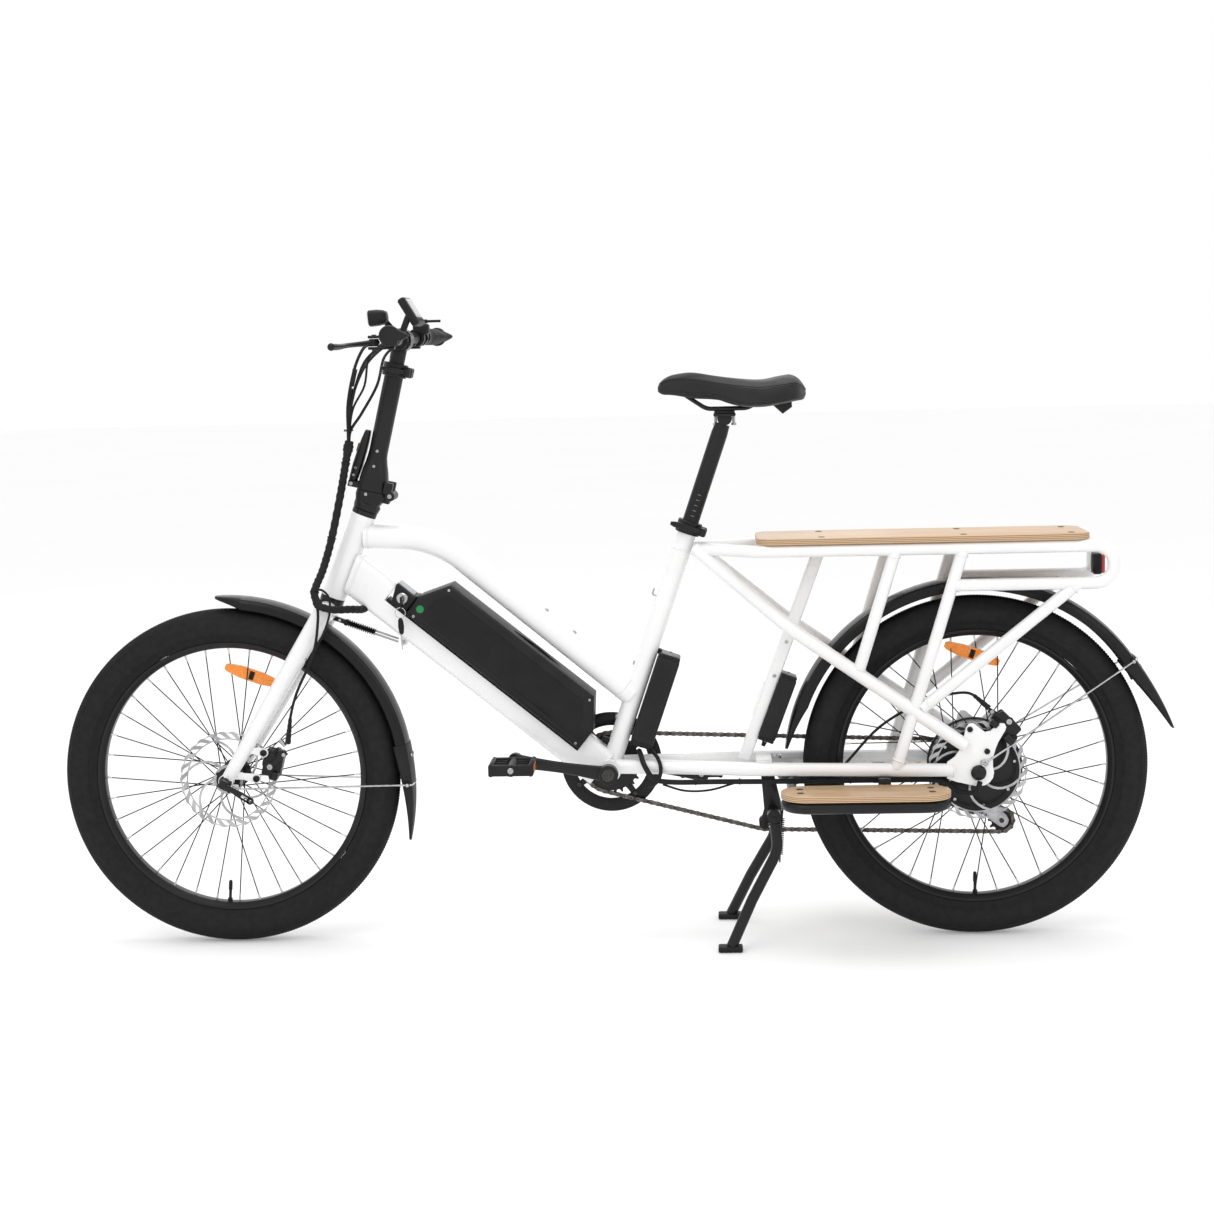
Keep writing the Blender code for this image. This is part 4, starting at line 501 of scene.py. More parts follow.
def add_weld(shape, centre, axis, radius, paint=0, bead=0.0016):
    """The rippled bead of a welded joint round a tube."""
    axis = Vector(axis).normalized()
    side = axis.orthogonal().normalized()
    rise = axis.cross(side)
    count = 40
    path = []
    sizes = []
    for i in range(count):
        angle = 2 * math.pi * i / count
        path.append(Vector(centre) + (side * math.cos(angle) + rise * math.sin(angle)) * radius)
        sizes.append(bead * (1.0 + 0.14 * math.sin(i * 2.4)))
    add_tube(shape, path, sizes, paint, 8, closed=True)


def rounded(corners, radius, step=math.radians(6)):
    """A path through the corners, with an arc of the radius at each inner one."""
    corners = [Vector(corner) for corner in corners]
    path = [corners[0]]
    for before, corner, after in zip(corners, corners[1:], corners[2:]):
        back = (before - corner).normalized()
        on = (after - corner).normalized()
        bend = math.pi - back.angle(on)
        reach = radius * math.tan(bend / 2)
        reach = min(reach, (before - corner).length * 0.49, (after - corner).length * 0.49)
        true_radius = reach / math.tan(bend / 2)
        middle = corner + (back + on).normalized() * math.hypot(true_radius, reach)
        count = max(2, math.ceil(bend / step))
        first = (corner + back * reach - middle).normalized()
        last = (corner + on * reach - middle).normalized()
        path += [middle + first.slerp(last, i / count) * true_radius for i in range(count + 1)]
    path.append(corners[-1])
    return path


def smooth_path(corners, per_span=8):
    """A smooth curve through every corner (Catmull-Rom)."""
    corners = [Vector(corner) for corner in corners]
    ends = [2 * corners[0] - corners[1], *corners, 2 * corners[-1] - corners[-2]]
    path = []
    for p0, p1, p2, p3 in zip(ends, ends[1:], ends[2:], ends[3:]):
        for i in range(per_span):
            t = i / per_span
            straight = 2 * p1 + (p2 - p0) * t
            curved = (2 * p0 - 5 * p1 + 4 * p2 - p3) * t**2
            path.append((straight + curved + (3 * p1 - p0 - 3 * p2 + p3) * t**3) / 2)
    path.append(corners[-1])
    return path


def turn_angles(count):
    """Equal steps of one full turn, in radians."""
    return [2 * math.pi * i / count for i in range(count)]


def on_circle(centre, radius, degrees, side=0.0):
    """A place on a circle in a fore-and-aft plane. 0 degrees is rearward and 90 is up."""
    angle = math.radians(degrees)
    reach = Vector((math.cos(angle), 0, math.sin(angle)))
    return Vector((centre[0], side, centre[2])) + reach * radius


def make_piece(shape, name, body, paints, nodes=(), sharp=32):
    """Turns a shape into a piece that rides on a body, if it has one, and stands for the named CAD nodes."""
    mesh = bpy.data.meshes.new(name)
    shape.to_mesh(mesh)
    shape.free()
    for material in paints:
        mesh.materials.append(material)
    mesh.shade_smooth()
    mesh.set_sharp_from_angle(angle=math.radians(sharp))
    piece = bpy.data.objects.new(name, mesh)
    bpy.context.scene.collection.objects.link(piece)
    if body is not None:
        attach(piece, body)
    if nodes:
        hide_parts(*nodes)
    return piece


def add_lug(shape, start, end, radius, left, right, paint=0):
    """A flat lug across two side places, round at both ends and slimmer between them."""
    outline = [Vector((place.x, left, place.z)) for place in link_outline(start, end, radius)]
    add_plate(shape, outline, SIDEWAYS * (right - left), 0.0008, paint)


def add_band(shape, centre, axis, radius, width, paint=0):
    """A small band round a cable or a tube."""
    half = width / 2
    profile = [(radius - 0.0010, -half), (radius, -half * 0.7), (radius, half * 0.7),
        (radius - 0.0010, half)]
    add_lathe(shape, profile, centre, axis, 24, paint)


# ---------------------------------------------------------------- wheels
TREAD_RIBS = 360
TREAD_ROWS = ((0.6, 13.0), (14.0, 27.0), (28.0, 41.0), (42.0, 55.0), (56.0, 69.0))
SIDEWALL = ((76, 0.0), (88, 0.0), (100, 0.0), (112, 0.0), (116, -0.0007), (119, -0.0007), (123, 0.0),
    (135, 0.0))


def add_strip(shape, path, width, thickness, paint=0):
    """A flat bar along a path in a fore-and-aft plane. Its thickness is across the bicycle."""
    path = [Vector(place) for place in path]
    rings = []
    for i, place in enumerate(path):
        along = (path[min(i + 1, len(path) - 1)] - path[max(i - 1, 0)]).normalized()
        wide = along.cross(SIDEWAYS) * width / 2
        deep = SIDEWAYS * thickness / 2
        rings.append([place + wide + deep, place - wide + deep, place - wide - deep, place + wide - deep])
    add_rings(shape, rings, paint)


def tyre_half_section():
    """From the crown to the bead: (degrees round the section, depth below its surface, rib row)."""
    places = []
    for row, edges in enumerate(TREAD_ROWS):
        places += [(degrees, 0.0, row) for degrees in edges]
    places += [(degrees, depth, None) for degrees, depth in SIDEWALL]
    return places


def make_tyre(name, node, body, centre):
    """A tyre whose rows of short ribs wrap over its shoulders, above a plain sidewall with a fine ring."""
    middle = (WHEEL_RADIUS + RIM_OUTER) / 2
    half_height = (WHEEL_RADIUS - RIM_OUTER) / 2
    half = tyre_half_section()
    section = [(-degrees, depth, row) for degrees, depth, row in half[::-1]] + half
    rings = []
    for step in range(2 * TREAD_RIBS):
        turn = 180 * step / TREAD_RIBS
        ring = [on_circle(centre, RIM_OUTER + 0.0004, turn, -0.0165)]
        for degrees, depth, row in section:
            if row is not None and (step + row) % 2:
                depth = 0.0013
            angle = math.radians(degrees)
            radius = middle + (half_height - depth) * math.cos(angle)
            ring.append(on_circle(centre, radius, turn, (TYRE_HALF_WIDTH - depth) * math.sin(angle)))
        ring.append(on_circle(centre, RIM_OUTER + 0.0004, turn, 0.0165))
        rings.append(ring)
    shape = bmesh.new()
    add_rings(shape, rings, loop=True)
    return make_piece(shape, name, body, [TYRE], [node], sharp=50)


def add_rim(shape, centre, paint):
    """A black rim with a rolled edge on each side and a shallow well inside."""
    half = [
        (RIM_OUTER, RIM_HALF_WIDTH - 0.0010),
        (RIM_OUTER - 0.0012, RIM_HALF_WIDTH),
        (RIM_OUTER - 0.0050, RIM_HALF_WIDTH),
        (RIM_OUTER - 0.0062, RIM_HALF_WIDTH - 0.0012),
        (RIM_INNER + 0.0016, 0.0112),
        (RIM_INNER + 0.0004, 0.0098),
        (RIM_INNER, 0.0075),
    ]
    profile = half + [(radius, -side) for radius, side in half[::-1]]
    add_lathe(shape, profile, centre, SIDEWAYS, 144, paint)


def add_spokes(shape, centre, flange_radius, flange_side, paint, nipple_paint):
    """Spokes that cross in pairs, each with a bright nipple at the rim."""
    pitch = 360 / SPOKES
    for number in range(SPOKES):
        side = flange_side if number % 2 else -flange_side
        turn = 1 if (number // 2) % 2 else -1
        hub_degrees = number * pitch + turn * 3.5 * pitch * (0.027 / flange_radius) ** 0.5
        offset = 0.0016 * turn
        start = on_circle(centre, flange_radius - 0.003, hub_degrees, side + offset)
        end = on_circle(centre, RIM_INNER + 0.003, number * pitch, side * 0.12 + offset)
        add_rod(shape, start, end, 0.0011, paint=paint, sides=8)
        line = (end - start).normalized()
        add_rod(shape, end - line * 0.0150, end - line * 0.0020, 0.0016, 0.0022, nipple_paint, 8)


def add_rotor(shape, centre, side, paint):
    """The brake disc: a slotted ring with a wavy edge, on six swept arms."""
    slots, columns = 26, 6
    radii = (0.0750, 0.0772, 0.0800, 0.0835, 0.0862, 0.0888)
    count = slots * columns
    part = bmesh.new()
    grid = []
    for i in range(count):
        row = []
        for k, radius in enumerate(radii):
            skew = 13.0 * k / (len(radii) - 1)
            wave = 0.0014 * math.cos(2 * math.pi * i / columns) if k == len(radii) - 1 else 0.0
            row.append(part.verts.new(on_circle(centre, radius + wave, 360 * i / count + skew,
                side - 0.0009)))
        grid.append(row)
    for i in range(count):
        for k in range(len(radii) - 1):
            if 0 < k < len(radii) - 2 and i % columns in (2, 3, 4):
                continue
            a, b = grid[i], grid[(i + 1) % count]
            part.faces.new((a[k], a[k + 1], b[k + 1], b[k]))
    made = bmesh.ops.extrude_face_region(part, geom=part.faces[:])
    moved = [item for item in made["geom"] if isinstance(item, bmesh.types.BMVert)]
    bmesh.ops.translate(part, vec=SIDEWAYS * 0.0018, verts=moved)
    merge(shape, part, paint)
    for number in range(6):
        path = []
        for step in range(9):
            share = step / 8
            degrees = number * 60 + 46 * share**1.5
            path.append(on_circle(centre, 0.022 + 0.0540 * share, degrees, side))
        add_strip(shape, path, 0.0042, 0.0017, paint)
    plate = [(0.0160, -0.0009), (0.0270, -0.0009), (0.0270, 0.0009), (0.0160, 0.0009)]
    add_lathe(shape, [(radius, side + along) for radius, along in plate], centre, SIDEWAYS, 48, paint)


def add_rotor_bolts(shape, centre, side, paint):
    for number in range(6):
        place = on_circle(centre, 0.0220, number * 60 + 30, side - 0.0009)
        add_bolt(shape, place, -SIDEWAYS, 0.0032, 0.0022, paint)


def add_reflector(shape, centre, radius, degrees, lens_paint, clip_paint):
    """A long amber reflector with pointed ends, clipped between the spokes."""
    middle = on_circle(centre, radius, degrees)
    along = Vector((1, 0, -0.36)).normalized()
    rise = along.cross(SIDEWAYS) * -1
    corners = [(-0.052, 0.0045), (-0.047, 0.0075), (-0.020, 0.0115), (0.020, 0.0115), (0.047, 0.0075),
        (0.052, 0.0045)]
    loop = corners + [(across, -up) for across, up in corners[::-1]]
    outline = [middle - SIDEWAYS * 0.0045 + along * across + rise * up for across, up in loop]
    add_plate(shape, outline, SIDEWAYS * 0.0090, 0.0012, lens_paint)
    for side in (-0.0049, 0.0049):
        add_block(shape, middle + SIDEWAYS * side, (0.0090, 0.0012, 0.0160), along, 0.0004, clip_paint)


def add_valve(shape, centre, degrees, paint):
    foot = on_circle(centre, RIM_INNER + 0.002, degrees)
    top = on_circle(centre, 0.2000, degrees)
    places = [foot.lerp(top, share) for share in (0, 0.18, 0.20, 0.55, 0.57, 0.95, 1.0)]
    sizes = [0.0050, 0.0042, 0.0027, 0.0027, 0.0036, 0.0034, 0.0020]
    add_tube(shape, places, sizes, paint, 14)


def make_front_wheel():
    shape = bmesh.new()
    profile = [
        (0.0205, 0.0470), (0.0220, 0.0458), (0.0220, 0.0400), (0.0150, 0.0370), (0.0150, 0.0330),
        (0.0262, 0.0322), (0.0270, 0.0314), (0.0270, 0.0288), (0.0262, 0.0280), (0.0175, 0.0262),
        (0.0150, 0.0200),
    ]
    hub = profile + [(radius, -along) for radius, along in profile[::-1]]
    hub += [(0.0054, -0.0470), (0.0054, 0.0470)]
    add_lathe(shape, hub, FRONT_AXLE, SIDEWAYS, 48, 0)
    add_rim(shape, FRONT_AXLE, 0)
    add_spokes(shape, FRONT_AXLE, 0.027, 0.030, 0, 1)
    add_rotor(shape, FRONT_AXLE, -0.0430, 4)
    add_rotor_bolts(shape, FRONT_AXLE, -0.0430, 0)
    add_reflector(shape, FRONT_AXLE, 0.192, 77, 2, 3)
    add_valve(shape, FRONT_AXLE, 266, 3)
    make_piece(shape, "front_wheel_look", "front_wheel_set", WHEEL_PAINTS, ["front_wheel"])
    make_tyre("front_tyre_look", "front_tyre", "front_wheel_set", FRONT_AXLE)


def make_rear_wheel():
    """The motor drum between the spokes, with its bolted covers."""
    shape = bmesh.new()
    drum = [
        (0.0300, 0.0400), (0.0640, 0.0382), (0.0700, 0.0365), (0.0790, 0.0330), (0.0828, 0.0285),
        (0.0840, 0.0270),
        (0.0840, 0.0205), (0.0815, 0.0195), (0.0815, -0.0195), (0.0840, -0.0205), (0.0840, -0.0270),
        (0.0828, -0.0285), (0.0790, -0.0318), (0.0700, -0.0345), (0.0640, -0.0358), (0.0280, -0.0380),
        (0.0280, -0.0525), (0.0265, -0.0540), (0.0054, -0.0540), (0.0054, 0.0400),
    ]
    add_lathe(shape, drum, REAR_AXLE, SIDEWAYS, 96, 0)
    for number in range(8):
        for side, facing in ((0.0372, 1), (-0.0352, -1)):
            place = on_circle(REAR_AXLE, 0.0690, number * 45 + 10, side)
            add_bolt(shape, place, SIDEWAYS * facing, 0.0028, 0.0018, 1)
    add_rim(shape, REAR_AXLE, 0)
    add_spokes(shape, REAR_AXLE, 0.083, 0.022, 0, 1)
    add_rotor(shape, REAR_AXLE, -0.0520, 4)
    add_rotor_bolts(shape, REAR_AXLE, -0.0520, 0)
    add_reflector(shape, REAR_AXLE, 0.205, 91, 2, 3)
    add_valve(shape, REAR_AXLE, 270, 3)
    make_piece(shape, "rear_wheel_look", "rear_wheel_set", WHEEL_PAINTS, ["rear_wheel"])
    make_tyre("rear_tyre_look", "rear_tyre", "rear_wheel_set", REAR_AXLE)


def add_cog(shape, centre, teeth, pitch_radius, side, half_width, paint, inner=0.012, phase=0.0):
    """A toothed sprocket: a ring of flat teeth round a bored disc."""
    per_tooth = ((0.0, -0.0036), (0.22, -0.0034), (0.40, 0.0026), (0.60, 0.0026), (0.78, -0.0034))
    outline = []
    for tooth in range(teeth):
        for share, rise in per_tooth:
            degrees = 360 * (tooth + share) / teeth + phase
            outline.append((degrees, pitch_radius + rise))
    part = bmesh.new()
    rings = []
    for across in (-half_width, half_width):
        for outer in (True, False):
            row = []
            for degrees, radius in outline:
                place = on_circle(centre, radius if outer else inner, degrees, side + across)
                row.append(part.verts.new(place))
            rings.append(row)
    order = [rings[0], rings[2], rings[3], rings[1]]
    for a, b in zip(order, order[1:] + order[:1]):
        for i in range(len(a)):
            j = (i + 1) % len(a)
            part.faces.new((a[i], a[j], b[j], b[i]))
    merge(shape, part, paint)


def make_cassette():
    shape = bmesh.new()
    cogs = ((24, 0.0425), (22, 0.0462), (18, 0.0520), (15, 0.0555), (13, 0.0590))
    for teeth, side in cogs:
        pitch_radius = CHAIN_LINK / 2 / math.sin(math.pi / teeth)
        add_cog(shape, REAR_AXLE, teeth, min(pitch_radius, 0.0472), side, 0.0009, 0)
    drum = [(0.0070, 0.0405), (0.0180, 0.0405), (0.0180, 0.0600), (0.0070, 0.0600)]
    add_lathe(shape, drum, REAR_AXLE, SIDEWAYS, 36, 1)
    make_piece(shape, "cassette_look", "freewheel", [STEEL, DARK_STEEL], ["cassette"])


def make_wheels():
    make_front_wheel()
    make_rear_wheel()
    make_cassette()


# ---------------------------------------------------------------- frame
def down_tube_place(along, above, side=0.0):
    """A place along the down tube's centre line and above it."""
    line = Vector((math.cos(DOWN_TUBE_ANGLE), 0, math.sin(DOWN_TUBE_ANGLE)))
    rise = Vector((-line.z, 0, line.x))
    return at(0.2370, side, 0.6890) + line * along + rise * above


DOWN_LINE = down_tube_place(1, 0) - down_tube_place(0, 0)


def down_tube_section(along, pocket, head_end=False):
    """A rounded box section, cut down to its lower half under the battery."""
    half_height, half_width, radius = 0.036, 0.025, 0.012
    points = []
    for corner, (high, wide) in enumerate(((1, 1), (1, -1), (-1, -1), (-1, 1))):
        for step in range(7):
            angle = math.radians(90 * corner + 15 * step)
            across = wide * (half_width - radius) + radius * math.sin(angle + math.radians(90))
            above = high * (half_height - radius) + radius * math.sin(angle + math.radians(0))
            points.append((across, above))
    ring = []
    for across, above in points:
        level = min(above, 0.0) if pocket else above
        start = along - 0.306 * above if head_end else along
        ring.append(down_tube_place(start, level, across))
    return ring


def make_down_tube():
    shape = bmesh.new()
    first, last = BATTERY_START - 0.046, BATTERY_END + 0.001
    rings = [
        down_tube_section(0.0005, False, head_end=True),
        down_tube_section(first, False),
        down_tube_section(first, True),
        down_tube_section(last, True),
        down_tube_section(last, False),
        down_tube_section(0.584, False),
    ]
    add_rings(shape, rings)
    add_tube(shape, down_tube_weld(), 0.0016, 0, 8, closed=True)
    add_block(shape, at(0.3285, 0, 0.5640), (0.012, 0.014, 0.026), bevel=0.003, segments=3)
    add_bolt(shape, at(0.3285, -0.0070, 0.5580), -SIDEWAYS, 0.0040, 0.0030, 1)
    entry = down_tube_place(0.0750, -0.0355)
    slot = []
    for angle in turn_angles(24):
        slot.append(entry + DOWN_LINE * (0.016 * math.cos(angle)) + SIDEWAYS * (0.009 * math.sin(angle)))
    add_tube(shape, slot, 0.0016, 2, 8, closed=True)
    make_piece(shape, "down_tube_look", "frame", [WHITE, STEEL, RUBBER], ["down_tube"])


def down_tube_weld():
    """The bead where the down tube meets the head tube."""
    ring = down_tube_section(0.0105, False, head_end=True)
    middle = down_tube_place(0.010, 0)
    return [middle + (point - middle) * 1.012 for point in ring]


def make_head_tube():
    shape = bmesh.new()
    half = [(0.0165, 0.0820), (0.0212, 0.0820), (0.0225, 0.0808), (0.0225, 0.0700), (0.0216, 0.0680),
        (0.0216, 0.0)]
    profile = half + [(radius, -along) for radius, along in half[-2::-1]]
    add_lathe(shape, profile, HEAD_CENTRE, STEERING, 56, 0)
    for along in (-0.0813, 0.0813):
        collar = [(0.0213, -0.0006), (0.0226, -0.0006), (0.0226, 0.0006), (0.0213, 0.0006)]
        add_lathe(shape, [(r, along + a) for r, a in collar], HEAD_CENTRE, STEERING, 56, 1)
    make_piece(shape, "head_tube_look", "frame", [WHITE, ANODISED], ["head_tube"])


def make_top_tube():
    shape = bmesh.new()
    corners = [at(0.262, 0, 0.7542), at(0.395, 0, 0.7478), at(0.7475, 0, 0.4520)]
    path = rounded(corners, 0.25, math.radians(3))
    add_tube(shape, path, 0.0225, 0, 40)
    first = (path[1] - path[0]).normalized()
    last = (path[-1] - path[-2]).normalized()
    add_weld(shape, path[0] + first * 0.008, first, 0.0226)
    add_weld(shape, path[-1] - last * 0.022, last, 0.0226)
    across = last.cross(SIDEWAYS)
    across = across if across.z > 0 else -across
    for behind in (0.578, 0.628):
        slope = (0.7475 - behind) / last.x
        foot = path[-1] - last * (slope - 0.0005) + across * 0.0220
        foot.x = FRONT_AXLE_X + behind + across.x * 0.0220
        add_bolt(shape, foot, across, 0.0040, 0.0036, 1)
    make_piece(shape, "top_tube_look", "frame", [WHITE, STEEL], ["top_tube"])


def make_seat_tube():
    shape = bmesh.new()
    bore_floor = 0.200
    bore = [(0.0157, bore_floor), (0.0157, SEAT_TUBE_LENGTH)]
    outside = [(0.0175, SEAT_TUBE_LENGTH), (0.0175, 0.014), (0.0010, 0.014), (0.0010, bore_floor)]
    add_lathe(shape, bore + outside, CRANK_AXIS, SEAT_LINE, 40, 0)
    shell = [
        (0.0123, -0.0365), (0.0203, -0.0365), (0.0215, -0.0353), (0.0215, 0.0353), (0.0203, 0.0365),
        (0.0123, 0.0365),
    ]
    add_lathe(shape, shell, CRANK_AXIS, SIDEWAYS, 40, 0)
    add_weld(shape, CRANK_AXIS + SEAT_LINE * 0.0225, SEAT_LINE, 0.0177)
    rail_joint = seat_place(0.4255)
    add_weld(shape, rail_joint, SEAT_LINE, 0.0178, 0, 0.0014)
    for level in (0.095, 0.200):
        add_bolt(shape, seat_place(level) - SEAT_REAR * 0.0172, -SEAT_REAR, 0.0042, 0.0030, 1)
    hook = seat_place(0.330) - SEAT_REAR * 0.0170
    add_tube(shape,
        rounded([hook, hook - SEAT_REAR * 0.008, hook - SEAT_REAR * 0.008 + SEAT_LINE * 0.012], 0.003),
        0.0016, 1, 10)
    clip = seat_place(0.2350) + SEAT_REAR * 0.0200
    add_block(shape, clip, (0.010, 0.014, 0.008), SEAT_LINE, 0.002, 2, 3)
    add_block(shape, seat_place(0.0480) - SEAT_REAR * 0.0230, (0.009, 0.012, 0.014), SEAT_LINE, 0.002, 2, 3)
    make_piece(shape, "seat_tube_look", "frame", [WHITE, STEEL, PLASTIC_SMOOTH], ["seat_tube"])


def seat_place(level):
    return CRANK_AXIS + SEAT_LINE * level


def dropout_outline():
    return [
        (1.312, 0.302), (1.328, 0.296), (1.345, 0.292), (1.366, 0.287), (1.380, 0.289), (1.388, 0.294),
        (1.394, 0.302),
        (1.396, 0.312), (1.394, 0.324), (1.394, 0.338), (1.399, 0.356), (1.404, 0.368), (1.416, 0.388),
        (1.418, 0.395),
        (1.415, 0.401), (1.408, 0.402), (1.400, 0.397), (1.390, 0.388), (1.380, 0.386), (1.370, 0.394),
        (1.360, 0.402),
        (1.352, 0.402), (1.346, 0.394), (1.342, 0.376), (1.336, 0.356), (1.326, 0.342), (1.312, 0.332),
    ]


def add_chainstay_side(shape, side):
    """One chainstay with its dropout plate, bolts and axle nut."""
    corners = [
        at(0.705, side * 0.020, 0.3230),
        at(0.820, side * 0.032, 0.3225),
        at(0.980, side * 0.061, 0.3215),
        at(1.325, side * 0.0705, 0.3170),
    ]
    path = rounded(corners, 0.25, math.radians(4))
    count = len(path) - 1
    sizes = [0.0135 - 0.0015 * i / count for i in range(count + 1)]
    add_tube(shape, path, sizes, 0, 32)
    add_side_plate(shape, dropout_outline(), side * 0.0685, side * 0.0745, 0.0012, 0)
    add_weld(shape, at(1.3240, side * 0.0705, 0.3170), path[-1] - path[-2], 0.0122, 0, 0.0013)
    for behind, up in ((1.353, 0.3915), (1.3835, 0.3510)):
        add_bolt(shape, at(behind, side * 0.0743, up), SIDEWAYS * side, 0.0052, 0.0034, 1)
    add_bolt(shape, at(1.375, side * 0.0743, 0.332), SIDEWAYS * side, 0.0040, 0.0040, 2)
    add_lathe(
        shape, [(0.0135, 0.0), (0.0135, 0.0012), (0.0070, 0.0012)],
        at(WHEELBASE, side * 0.0743, WHEEL_RADIUS),
        SIDEWAYS * side, 36, 2, False,
    )
    add_lathe(shape, [(0.0109, 0.0012), (0.0109, 0.0062), (0.0100, 0.0068)],
              at(WHEELBASE, side * 0.0743, WHEEL_RADIUS), SIDEWAYS * side, 6, 2, False)
    cap = [(0.0132, 0.0), (0.0140, 0.0010), (0.0136, 0.0035), (0.0120, 0.0060), (0.0095, 0.0080),
        (0.0050, 0.0092), (0.0, 0.0095)]
    if side < 0:
        add_lathe(shape, cap, at(WHEELBASE - 0.0010, -0.0757, WHEEL_RADIUS - 0.0005), -SIDEWAYS, 40, 1,
            False)


def make_chainstays():
    shape = bmesh.new()
    for side in (-1, 1):
        add_chainstay_side(shape, side)
    add_block(shape, at(0.985, 0, 0.3235), (0.030, 0.120, 0.016), bevel=0.003)
    add_block(shape, at(0.998, 0, 0.3085), (0.040, 0.060, 0.008), bevel=0.002, paint=1)
    outline = [(0.978, 0.320), (0.998, 0.320), (1.016, 0.244), (1.014, 0.228), (1.006, 0.222),
        (0.996, 0.222), (0.988, 0.228), (0.984, 0.240)]
    for side in (-0.027, 0.021):
        add_side_plate(shape, outline, side, side + 0.006, 0.0008, 1)
    guide = [(0.990, 0.250), (1.000, 0.232), (0.990, 0.196), (0.980, 0.196), (0.980, 0.215)]
    add_side_plate(shape, guide, 0.022, 0.026, 0.0006, 1)
    roller = [(0.003, 0.0255), (0.0100, 0.0255), (0.0100, 0.0270), (0.0060, 0.0275), (0.0060, 0.0475),
        (0.0100, 0.0480),
              (0.0100, 0.0590), (0.003, 0.0590)]
    add_lathe(shape, roller, CHAIN_GUIDE, SIDEWAYS, 32, 1)
    add_bolt(shape, at(1.010, 0, 0.3312), UPWARDS, 0.0075, 0.0050, 2)
    add_cross_rod(shape, REAR_AXLE, -0.0760, 0.084, 0.005, 2)
    make_piece(shape, "chainstays_look", "frame", [WHITE, BLACK_GLOSS, BRIGHT_STEEL], ["chainstays"])


def rail_corners(side):
    return [
        at(0.868, side * 0.010, RAIL_UP + 0.002),
        at(0.975, side * RAIL_SIDE, RAIL_UP),
        at(RAIL_END + RAIL_LOOP, side * RAIL_SIDE, RAIL_UP),
        at(RAIL_END + RAIL_LOOP, side * RAIL_SIDE, RAIL_UP - 2 * RAIL_LOOP),
        at(1.327, side * RAIL_SIDE, RAIL_UP - 2 * RAIL_LOOP),
    ]


def make_rack_rails():
    shape = bmesh.new()
    for side in (-1, 1):
        path = rounded(rail_corners(side), RAIL_LOOP - 0.0002, math.radians(7))
        add_tube(shape, path, RAIL_RADIUS, 0, 28)
        add_weld(shape, at(1.3335, side * RAIL_SIDE, RAIL_UP - 2 * RAIL_LOOP), (1, 0, 0), 0.0112)
    for behind in (1.093, 1.345, 1.560):
        add_cross_rod(shape, at(behind, 0, RAIL_UP), -RAIL_SIDE, RAIL_SIDE, 0.0090)
        for side in (-1, 1):
            add_weld(shape, at(behind, side * (RAIL_SIDE - 0.0110), RAIL_UP), SIDEWAYS, 0.0092, 0, 0.0013)
    foot, head = at(0.9485, 0, 0.3300), at(1.093, 0, RAIL_UP)
    add_block(shape, (foot + head) / 2, ((head - foot).length, 0.030, 0.022), head - foot, 0.004,
        segments=4)
    line = (head - foot).normalized()
    for share in (0.40, 0.56):
        place = foot.lerp(head, share) - SIDEWAYS * 0.0148
        add_bolt(shape, place, -SIDEWAYS, 0.0032, 0.0016, 1)
    add_block(shape, foot + line * 0.120 + Vector((-0.013, 0, 0)), (0.060, 0.022, 0.005), line, 0.001)
    add_block(shape, at(1.5670, 0, 0.7180), (0.022, 0.030, 0.005), bevel=0.001)
    add_block(shape, at(1.5760, 0, 0.6930), (0.0040, 0.030, 0.055), bevel=0.001)
    make_piece(shape, "rack_rails_look", "frame", [WHITE, STEEL], ["rack_rails"])


def make_rack_truss(side, node):
    shape = bmesh.new()
    diagonal = [
        at(0.866, side * 0.018, 0.7220), at(1.030, side * 0.070, 0.5820), at(1.345, side * 0.0735, 0.3620),
    ]
    add_tube(shape, rounded(diagonal, 0.30, math.radians(4)), 0.0125, 0, 32)
    struts = [
        (at(1.153, side * 0.0715, 0.490), at(1.224, side * RAIL_SIDE, RAIL_UP)),
        (at(1.222, side * 0.0705, 0.322), at(1.343, side * RAIL_SIDE, RAIL_UP)),
        (at(1.268, side * 0.0725, 0.430), at(1.545, side * RAIL_SIDE, RAIL_UP - 2 * RAIL_LOOP)),
    ]
    for foot, head in struts:
        add_rod(shape, foot, head, 0.0110, paint=0, sides=28)
        line = (head - foot).normalized()
        add_weld(shape, foot + line * 0.0150, line, 0.0112)
        add_weld(shape, head - line * 0.0125, line, 0.0112)
    make_piece(shape, node + "_look", "frame", [WHITE], [node])


def make_frame():
    make_head_tube()
    make_top_tube()
    make_down_tube()
    make_seat_tube()
    make_chainstays()
    make_rack_rails()
    make_rack_truss(-1, "rack_truss_left")
    make_rack_truss(1, "rack_truss_right")


# ---------------------------------------------------------------- boards and boxes
def round_outline(front, rear, inner, outer, radius):
    """The rounded rectangle of a board seen from above, as (behind, side) places."""
    corners = [(rear, outer, 0), (front, outer, 90), (front, inner, 180), (rear, inner, 270)]
    outline = []
    for behind, side, start in corners:
        centre_x = behind - radius if behind == rear else behind + radius
        centre_y = side - radius if side == outer else side + radius
        for step in range(13):
            angle = math.radians(start + 7.5 * step)
            outline.append((centre_x + radius * math.cos(angle), centre_y + radius * math.sin(angle)))
    return outline


